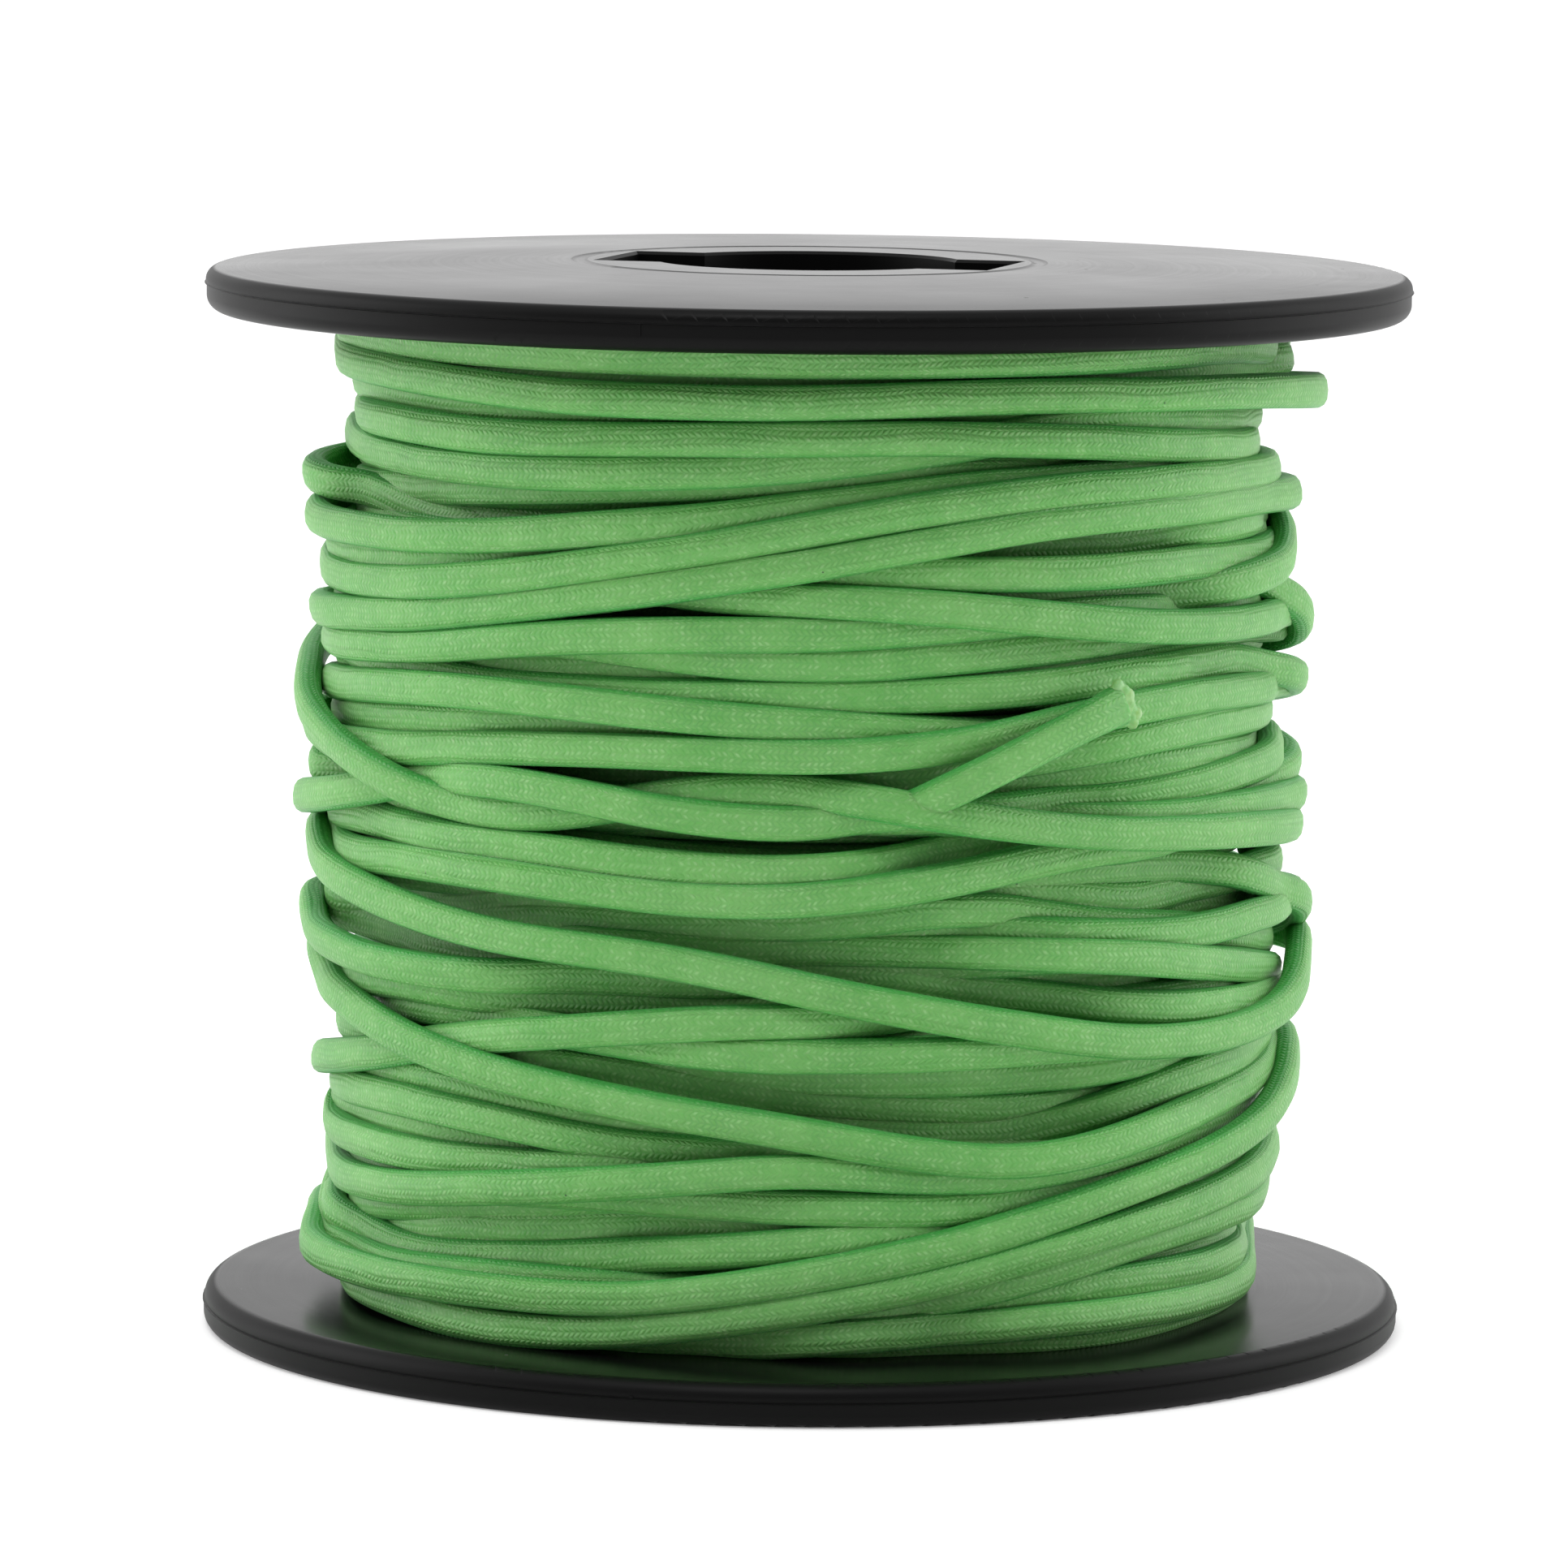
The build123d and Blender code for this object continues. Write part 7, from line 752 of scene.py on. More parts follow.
(-22.92,-22.54,37.62),(-20.11,-23.93,38.26),(-17.44,-25.60,38.75),(-15.15,-27.80,39.05),(-12.44,-29.50,39.15),(-9.52,-30.80,39.05),
(-6.48,-31.74,38.75),(-3.36,-32.29,38.35),(-0.19,-32.39,37.94),(2.98,-32.06,37.63),(6.08,-31.31,37.44),(9.00,-30.04,37.47),(11.87,-28.72,37.89),
]
CUTS = [0, 346, 697, 1060, 1422, 1782, 2140, 2496, 2847, 3197, 3546, 3902, 4262, 4711]
# Radius of the last hidden layer, 54 to a turn, in hundredths of a millimetre: it stands out where
# the turns over it leave an opening.
UNDER = [
2747,2742,2738,2738,2739,2735,2727,2721,2720,2720,2720,2720,2720,2720,2720,2720,2720,2720,2720,2720,2720,2720,2720,2720,2720,2720,2720,2720,2720,2720,
2720,2720,2720,2720,2720,2720,2720,2720,2720,2720,2720,2720,2720,2720,2720,2720,2720,2720,2720,2720,2720,2720,2720,2720,2720,2720,2720,2720,2720,2720,
2720,2720,2720,2720,2720,2720,2720,2720,2720,2720,2720,2720,2720,2720,2720,2720,2720,2720,2720,2720,2720,2720,2720,2720,2720,2720,2720,2721,2727,2741,
2755,2750,2733,2722,2720,2720,2720,2720,2720,2720,2720,2720,2720,2720,2720,2720,2720,2720,2720,2720,2720,2720,2720,2720,2720,2720,2720,2720,2720,2720,
2720,2720,2720,2720,2720,2720,2720,2720,2720,2721,2725,2737,2748,2747,2739,2728,2722,2723,2736,2756,2767,2768,2767,2764,2757,2744,2730,2723,2720,2721,
2723,2724,2723,2721,2720,2720,2720,2720,2720,2720,2720,2720,2720,2720,2720,2720,2720,2720,2720,2720,2720,2720,2720,2720,2720,2720,2722,2725,2728,2727,
2724,2721,2720,2720,2721,2725,2737,2759,2781,2793,2793,2791,2791,2799,2817,2837,2840,2823,2799,2771,2743,2726,2721,2720,2720,2720,2720,2720,2720,2720,
2720,2720,2720,2720,2720,2720,2720,2720,2720,2720,2720,2720,2720,2720,2720,2720,2720,2720,2720,2720,2720,2720,2720,2720,2720,2720,2720,2720,2720,2720,
2720,2720,2720,2720,2721,2727,2755,2801,2830,2837,2827,2800,2774,2755,2737,2725,2721,2720,2720,2720,2720,2720,2720,2720,2720,2720,2720,2720,2720,2720,
2720,2720,2720,2720,2720,2720,2720,2720,2720,2720,2720,2720,2720,2720,2720,2720,2720,2720,2720,2720,2720,2720,2720,2720,2720,2720,2720,2720,2720,2720,
2720,2720,2720,2720,2720,2720,2720,2720,2720,2720,2720,2720,2720,2720,2720,2720,2720,2720,2720,2720,2720,2721,2722,2721,2720,2720,2720,2720,2720,2720,
2720,2720,2720,2720,2720,2720,2720,2720,2720,2720,2720,2720,2720,2720,2720,2720,2720,2720,2720,2720,2720,2720,2720,2720,2720,2720,2720,2720,2720,2720,
2720,2720,2720,2720,2720,2720,2720,2720,2720,2720,2720,2720,2720,2720,2720,2720,2720,2720,2720,2720,2720,2720,2720,2720,2720,2720,2720,2720,2720,2720,
2720,2720,2720,2720,2720,2720,2720,2720,2720,2720,2720,2720,2720,2720,2720,2720,2720,2720,2720,2720,2720,2720,2720,2720,2720,2720,2720,2720,2720,2720,
2720,2720,2720,2720,2720,2720,2720,2720,2720,2720,2720,2720,2720,2720,2720,2720,2720,2720,2720,2720,2720,2720,2720,2720,2720,2720,2720,2720,2722,2727,
2733,2738,2738,2732,2725,2721,2720,2720,2720,2720,2720,2720,2720,2720,2720,2720,2720,2720,2720,2720,2720,2720,2720,2720,2720,2720,2720,2720,2720,2720,
2720,2720,2720,2720,2720,2720,2720,2720,2720,2720,2720,2720,2720,2720,2720,2720,2720,2720,2720,2720,2720,2720,2720,2720,2720,2720,2720,2720,2720,2720,
2720,2720,2720,2720,2720,2720,2720,2720,2720,2720,2720,2720,2720,2720,2720,2720,2720,2720,2720,2720,2720,2720,2720,2720,2720,2720,2720,2720,2720,2720,
2720,2720,2720,2720,2720,2720,2720,2720,2720,2720,2720,2720,2720,2720,2720,2720,2720,2720,2720,2720,2720,2720,2720,2720,2720,2720,2720,2720,2720,2720,
2720,2720,2720,2720,2720,2720,2720,2720,2720,2720,2720,2720,2720,2720,2720,2720,2720,2720,2720,2720,2720,2720,2720,2724,2741,2764,2762,2739,2724,2724,
2736,2746,2735,2723,2720,2720,2720,2720,2720,2720,2720,2720,2720,2720,2720,2720,2720,2720,2720,2720,2720,2720,2720,2720,2720,2720,2720,2720,2720,2720,
2720,2720,2720,2720,2720,2720,2720,2720,2720,2720,2720,2720,2720,2720,2720,2720,2720,2720,2720,2720,2720,2722,2733,2753,2773,2784,2788,2792,2793,2785,
2770,2760,2752,2739,2727,2721,2720,2720,2720,2720,2720,2720,2720,2720,2720,2720,2720,2720,2720,2720,2720,2720,2720,2720,2720,2720,2720,2720,2720,2720,
2720,2720,2720,2720,2720,2720,2720,2720,2720,2720,2720,2720,2720,2720,2720,2720,2720,2720,2720,2720,2720,2720,2720,2720,2720,2720,2720,2720,2720,2720,
2720,2720,2720,2720,2720,2720,2720,2720,2720,2720,2720,2720,2720,2720,2720,2720,2720,2720,2720,2720,2720,2720,2720,2720,2720,2720,2720,2720,2720,2720,
2720,2720,2720,2720,2720,2720,2720,2720,2720,2720,2720,2720,2720,2720,2720,2720,2720,2720,2720,2720,2722,2726,2726,2723,2721,2720,2720,2720,2720,2720,
2720,2720,2720,2720,2720,2720,2720,2720,2720,2720,2720,2720,2720,2720,2720,2720,2720,2720,2720,2720,2720,2720,2720,2720,2724,2739,2760,2764,2751,2734,
2724,2721,2720,2720,2720,2720,2720,2720,2720,2720,2720,2720,2720,2720,2720,2720,2720,2720,2720,2720,2720,2720,2720,2720,2720,2720,2720,2720,2721,2731,
2775,2849,2895,2908,2914,2921,2928,2931,2931,2929,2922,2905,2878,2843,2804,2766,2736,2723,2720,2720,2720,2720,2720,2720,2720,2720,2720,2720,2720,2720,
2720,2720,2720,2720,2720,2720,2720,2720,2720,2720,2720,2720,2720,2720,2720,2720,2720,2720,2720,2720,2720,2720,2720,2720,2720,2720,2720,2720,2720,2720,
2720,2723,2728,2734,2738,2741,2745,2749,2750,2746,2737,2727,2721,2720,2720,2720,2720,2720,2720,2720,2720,2720,2720,2720,2720,2722,2724,2722,2720,2720,
2720,2720,2720,2720,2720,2721,2722,2721,2720,2721,2727,2736,2742,2738,2728,2722,2720,2720,2720,2720,2720,2720,2720,2720,2720,2720,2720,2720,2720,2721,
2723,2728,2732,2733,2730,2724,2721,2720,2720,2720,2720,2720,2720,2720,2720,2720,2720,2720,2720,2720,2720,2720,2720,2720,2720,2720,2721,2722,2726,2734,
2742,2740,2736,2735,2732,2727,2724,2723,2721,2721,2727,2754,2809,2864,2890,2889,2881,2877,2879,2885,2892,2896,2897,2901,2910,2925,2940,2939,2910,2857,
2797,2750,2727,2723,2733,2761,2797,2813,2795,2753,2727,2723,2730,2737,2732,2724,2721,2726,2747,2789,2828,2838,2821,2802,2794,2794,2798,2799,2788,2762,
2736,2723,2720,2720,2720,2720,2721,2721,2720,2720,2720,2720,2720,2720,2720,2720,2720,2720,2720,2720,2720,2720,2720,2720,2720,2720,2720,2720,2720,2720,
2720,2720,2720,2720,2720,2720,2720,2720,2720,2720,2720,2720,2720,2720,2720,2720,2720,2720,2720,2720,2720,2720,2720,2720,2720,2720,2720,2720,2720,2720,
2720,2720,2720,2720,2720,2720,2720,2720,2720,2720,2720,2720,2720,2720,2720,2720,2720,2720,2720,2720,2720,2720,2720,2720,2720,2720,2720,2720,2720,2720,
2720,2720,2720,2720,2720,2720,2720,2720,2720,2720,2720,2720,2720,2720,2720,2720,2720,2720,2720,2720,2720,2720,2720,2720,2720,2720,2720,2720,2720,2720,
2720,2720,2720,2720,2720,2720,2720,2720,2720,2720,2720,2720,2720,2720,2720,2720,2720,2720,2720,2720,2720,2720,2720,2720,2720,2720,2720,2720,2720,2720,
2720,2720,2720,2720,2720,2720,2720,2720,2720,2720,2720,2720,2720,2720,2720,2720,2720,2720,2720,2720,2720,2720,2720,2720,2720,2720,2720,2720,2720,2720,
2720,2720,2720,2720,2720,2720,2720,2720,2720,2720,2720,2720,2720,2720,2720,2720,2720,2720,2720,2720,2720,2720,2720,2720,2720,2720,2720,2720,2721,2725,
2736,2745,2740,2731,2725,2725,2728,2737,2751,2760,2759,2756,2754,2752,2747,2741,2738,2740,2753,2780,2809,2832,2851,2873,2890,2882,2860,2842,2833,2830,
2822,2801,2766,2736,2723,2720,2720,2720,2720,2720,2720,2720,2720,2720,2720,2720,2722,2727,2741,2763,2788,2807,2810,2803,2796,2793,2791,2786,2774,2762,
2756,2754,2753,2747,2737,2732,2739,2756,2777,2801,2828,2856,2883,2906,2921,2923,2916,2908,2904,2901,2893,2871,2838,2807,2781,2760,2741,2727,2721,2720,
2723,2733,2748,2754,2754,2756,2764,2783,2803,2815,2819,2820,2822,2824,2831,2844,2858,2860,2842,2815,2786,2757,2735,2723,2720,2720,2720,2720,2720,2723,
2735,2755,2769,2776,2789,2811,2839,2866,2879,2877,2867,2858,2854,2850,2843,2830,2814,2801,2793,2790,2793,2802,2815,2823,
]

# The free end's own points, as in part.py.
TAIL_ROUTE = [
    (14.30, -28.96, 38.09),
    (17.45, -29.35, 39.65),
    (20.35, -28.25, 41.15),
    (23.75, -25.60, 43.05),
    (26.75, -21.75, 44.80),
]
CORD_W, CORD_T = 2.3, 1.8
INNER_RADII = (16.95, 18.68, 20.41, 22.14, 23.87, 25.60, 27.20)
WIND_LO, WIND_HI = 2.8, 67.7


def inner_turns():
    """The layers under the turns that show: plain helices, up and down the barrel in turn."""
    pts = []
    z0, z1 = WIND_LO + 1.25, WIND_HI - 1.25
    start = TURNS[0]
    for n, r in enumerate(INNER_RADII):
        turns = 24 if n < 5 else 26
        per = 54 if n == 6 else 18
        count = turns * per
        lo, hi = (z0, z1) if n % 2 == 0 else (z1, z0)
        for k in range(count):
            f = k / count
            a = 2 * math.pi * (k / per)
            wob = 0.16 * math.sin(a * 0.37 + n) + 0.12 * math.sin(a * 0.91 + 2 * n)
            if n % 2:
                wob *= -1
            z = min(max(lo + (hi - lo) * f + wob, z0), z1)
            if n == 6:
                r = UNDER[k] / 100.0
            pts.append((r * math.cos(a), r * math.sin(a), z))
    # from the end of the last layer to the first point of the outer turns, steeply
    a0 = math.atan2(pts[-1][1], pts[-1][0])
    a1 = math.atan2(start[1], start[0])
    sweep = (a1 - a0) % (2 * math.pi) + 2 * math.pi
    r0, r1, zl = UNDER[-1] / 100.0, math.hypot(start[0], start[1]), pts[-1][2]
    steps = int(sweep / 0.35)
    for k in range(1, steps):
        f = k / steps
        g = f * f * (3 - 2 * f)
        a = a0 + sweep * f
        r = r0 + (r1 - r0) * f
        pts.append((r * math.cos(a), r * math.sin(a), zl + (start[2] - zl) * g))
    pts.append(start)
    return pts


def nurbs_line(name, pts, per=4):
    """The points read back from the smooth line of these control points, mm."""
    cu = bpy.data.curves.new(name, "CURVE")
    cu.dimensions = "3D"
    cu.resolution_u = per
    sp = cu.splines.new("NURBS")
    sp.points.add(len(pts) - 1)
    flat = np.ones((len(pts), 4), np.float32)
    flat[:, :3] = np.array(pts, np.float32)
    sp.points.foreach_set("co", flat.ravel())
    sp.order_u = 3
    sp.use_endpoint_u = True
    sp.resolution_u = per
    ob = bpy.data.objects.new(name, cu)
    scene.collection.objects.link(ob)
    dg = bpy.context.evaluated_depsgraph_get()
    dg.update()
    me = bpy.data.meshes.new_from_object(ob.evaluated_get(dg))
    co = np.zeros(len(me.vertices) * 3, np.float32)
    me.vertices.foreach_get("co", co)
    bpy.data.objects.remove(ob)
    bpy.data.curves.remove(cu)
    bpy.data.meshes.remove(me)
    co = co.reshape(-1, 3).astype(float)
    keep = np.concatenate([[True], np.linalg.norm(np.diff(co, axis=0), axis=1) > 1e-4])
    return co[keep]


def wave(s, seed, scale, amp):
    """A smooth wander along the cord, the same each run."""
    r = np.random.default_rng(seed)
    out = np.zeros_like(s)
    for k in range(4):
        out += np.sin(s / (scale * r.uniform(0.6, 1.7)) + r.uniform(0, 6.28))
    return amp * out / 2.0


def tube(name, line, s0, sides, close_start=True, close_end=True, swell=None):
    """A flattened round tube along a line of ring centres, its flat side on the winding."""
    n = len(line)
    tan = np.gradient(line, axis=0)
    tan /= np.linalg.norm(tan, axis=1)[:, None]
    out = line * np.array([1.0, 1.0, 0.0])
    out /= np.maximum(np.linalg.norm(out, axis=1), 1e-6)[:, None]
    nor = out - (out * tan).sum(1)[:, None] * tan
    nor /= np.linalg.norm(nor, axis=1)[:, None]
    bi = np.cross(tan, nor)
    s = s0 + np.concatenate([[0], np.cumsum(np.linalg.norm(np.diff(line, axis=0), axis=1))])
    roll = wave(s, 21, 9.0, 0.16)
    w = CORD_W * (1 + wave(s, 22, 7.0, 0.022))
    t = CORD_T * (1 + wave(s, 23, 6.0, 0.030))
    if swell is not None:
        w, t = swell(s, w, t)
    n2 = nor * np.cos(roll)[:, None] + bi * np.sin(roll)[:, None]
    b2 = bi * np.cos(roll)[:, None] - nor * np.sin(roll)[:, None]
    ang = math.pi + np.arange(sides) * 2 * math.pi / sides    # the join of the texture faces the barrel
    ca, sa = np.cos(ang), np.sin(ang)
    # a little squarer than an ellipse, as a braid pressed between others is
    e = 0.80
    cx = np.sign(ca) * np.abs(ca) ** e
    sx = np.sign(sa) * np.abs(sa) ** e
    co = (
        line[:, None, :]
        + (t / 2)[:, None, None] * cx[None, :, None] * n2[:, None, :]
        + (w / 2)[:, None, None] * sx[None, :, None] * b2[:, None, :]
    )
    verts = co.reshape(-1, 3)
    i = np.arange(n - 1)[:, None] * sides
    k = np.arange(sides)[None, :]
    k2 = (k + 1) % sides
    quads = np.stack([i + k, i + k2, i + sides + k2, i + sides + k], -1).reshape(-1, 4)
    # Texture maps: "braid" runs round and along in mm; "OFBake" lays the tube out in rows.
    u0 = np.broadcast_to(k / sides, (n - 1, sides))
    u1 = np.broadcast_to((k + 1) / sides, (n - 1, sides))
    v0 = np.broadcast_to(s[:-1, None], (n - 1, sides))
    v1 = np.broadcast_to(s[1:, None], (n - 1, sides))
    braid = np.stack([
        np.stack([u0, v0], -1), np.stack([u1, v0], -1), np.stack([u1, v1], -1), np.stack([u0, v1], -1)
    ], 2).reshape(-1, 2)
    total = s[-1] - s[0]
    round_mm = 6.6
    rows = max(1, int(math.ceil(math.sqrt(total / round_mm))))
    seg = np.minimum((np.arange(n - 1) * rows) // (n - 1), rows - 1)
    first = np.array([s[np.argmax(seg == q)] for q in range(rows)])
    ends = np.concatenate([first[1:], [s[-1]]])
    longest = (ends - first).max() * 1.01
    x0 = (v0 - first[seg][:, None]) / longest * 0.98 + 0.01
    x1 = (v1 - first[seg][:, None]) / longest * 0.98 + 0.01
    y0 = (seg[:, None] + 0.03 + 0.94 * u0) / rows
    y1 = (seg[:, None] + 0.03 + 0.94 * u1) / rows
    bake = np.stack([
        np.stack([x0, y0], -1), np.stack([x0, y1], -1), np.stack([x1, y1], -1), np.stack([x1, y0], -1)
    ], 2).reshape(-1, 2)
    nv = len(verts)
    extra_v, tris = [], []
    if close_start:
        extra_v.append(line[0])
        tris += [(nv, q2, q1) for q1, q2 in ((q, (q + 1) % sides) for q in range(sides))]
        nv += 1
    if close_end:
        extra_v.append(line[-1])
        base = (n - 1) * sides
        tris += [(nv, base + q1, base + q2) for q1, q2 in ((q, (q + 1) % sides) for q in range(sides))]
        nv += 1
    if extra_v:
        verts = np.concatenate([verts, np.array(extra_v)])
    me = bpy.data.meshes.new(name)
    nf = len(quads) + len(tris)
    loops = np.concatenate([quads.ravel(), np.array(tris, int).ravel() if tris else np.zeros(0, int)])
    me.vertices.add(len(verts))
    me.vertices.foreach_set("co", (verts * MM).astype(np.float32).ravel())
    me.loops.add(len(loops))
    me.loops.foreach_set("vertex_index", loops.astype(np.int32))
    me.polygons.add(nf)
    starts = np.concatenate([np.arange(len(quads)) * 4, len(quads) * 4 + np.arange(len(tris)) * 3]).astype(np.int32)
    me.polygons.foreach_set("loop_start", starts)
    me.update(calc_edges=True)
    me.polygons.foreach_set("use_smooth", np.ones(nf, bool))
    lo = me.uv_layers.new(name="OFBake")
    capuv = np.tile(np.array([[0.002, 0.002], [0.004, 0.002], [0.003, 0.004]]), (len(tris), 1)) if tris else np.zeros((0, 2))
    lo.uv.foreach_set("vector", np.concatenate([bake, capuv]).astype(np.float32).ravel())
    lb = me.uv_layers.new(name="braid")
    capb = np.tile(np.array([[0.5, s[-1]]]), (len(tris) * 3, 1)) if tris else np.zeros((0, 2))
    lb.uv.foreach_set("vector", np.concatenate([braid, capb]).astype(np.float32).ravel())
    me.validate()
    ob = bpy.data.objects.new(name, me)
    scene.collection.objects.link(ob)
    return ob, s


# ------------------------------------------------------------------ node helpers
class Nodes:
    """Short calls that add shader nodes and join them."""

    def __init__(self, name):
        self.mat = bpy.data.materials.new(name)
        self.mat.use_nodes = True
        self.nt = self.mat.node_tree
        self.nt.nodes.clear()
        self.out = self.nt.nodes.new("ShaderNodeOutputMaterial")
        self.bsdf = self.nt.nodes.new("ShaderNodeBsdfPrincipled")
        self.nt.links.new(self.bsdf.outputs[0], self.out.inputs[0])

    def put(self, socket, value):
        if isinstance(value, bpy.types.NodeSocket):
            self.nt.links.new(value, socket)
        elif value is not None:
            socket.default_value = value

    def math(self, op, a, b=None, c=None, clamp=False):
        n = self.nt.nodes.new("ShaderNodeMath")
        n.operation = op
        n.use_clamp = clamp
        for s, v in zip(n.inputs, (a, b, c)):
            self.put(s, v)
        return n.outputs[0]

    def mix(self, f, a, b, mode="MIX"):
        n = self.nt.nodes.new("ShaderNodeMix")
        n.data_type = "RGBA"
        n.blend_type = mode
        n.clamp_factor = True
        self.put(n.inputs[0], f)
        self.put(n.inputs[6], a)
        self.put(n.inputs[7], b)
        return n.outputs[2]

    def ramp(self, f, stops):
        n = self.nt.nodes.new("ShaderNodeValToRGB")
        e = n.color_ramp.elements
        while len(e) < len(stops):
            e.new(0.5)
        for k, (p, c) in enumerate(stops):
            e[k].position = p
            e[k].color = c if len(c) == 4 else (*c, 1)
        self.put(n.inputs[0], f)
        return n.outputs[0]

    def range(self, f, a, b, c=0.0, d=1.0, smooth=False):
        n = self.nt.nodes.new("ShaderNodeMapRange")
        n.interpolation_type = "SMOOTHSTEP" if smooth else "LINEAR"
        self.put(n.inputs[0], f)
        for k, v in zip((1, 2, 3, 4), (a, b, c, d)):
            n.inputs[k].default_value = v
        return n.outputs[0]

    def noise(self, vec, scale, detail=3.0, rough=0.5, kind="FBM"):
        n = self.nt.nodes.new("ShaderNodeTexNoise")
        n.inputs["Scale"].default_value = scale
        n.inputs["Detail"].default_value = detail
        n.inputs["Roughness"].default_value = rough
        self.put(n.inputs["Vector"], vec)
        return n.outputs["Fac"]

    def voronoi(self, vec, scale, feature="F1", out="Distance"):
        n = self.nt.nodes.new("ShaderNodeTexVoronoi")
        n.feature = feature
        n.inputs["Scale"].default_value = scale
        self.put(n.inputs["Vector"], vec)
        return n.outputs[out]

    def coords(self):
        return self.nt.nodes.new("ShaderNodeTexCoord").outputs["Object"]

    def uv(self, name):
        n = self.nt.nodes.new("ShaderNodeUVMap")
        n.uv_map = name
        return n.outputs[0]

    def split(self, vec):
        n = self.nt.nodes.new("ShaderNodeSeparateXYZ")
        self.put(n.inputs[0], vec)
        return n.outputs[0], n.outputs[1], n.outputs[2]

    def join(self, x, y, z=0.0):
        n = self.nt.nodes.new("ShaderNodeCombineXYZ")
        for s, v in zip(n.inputs, (x, y, z)):
            self.put(s, v)
        return n.outputs[0]

    def bump(self, h, dist, strength=1.0, normal=None):
        n = self.nt.nodes.new("ShaderNodeBump")
        n.inputs["Strength"].default_value = strength
        n.inputs["Distance"].default_value = dist
        self.put(n.inputs["Height"], h)
        if normal is not None:
            self.put(n.inputs["Normal"], normal)
        return n.outputs[0]


def srgb(r, g, b):
    def lin(c):
        c /= 255.0
        return c / 12.92 if c <= 0.04045 else ((c + 0.055) / 1.055) ** 2.4
    return (lin(r), lin(g), lin(b), 1.0)


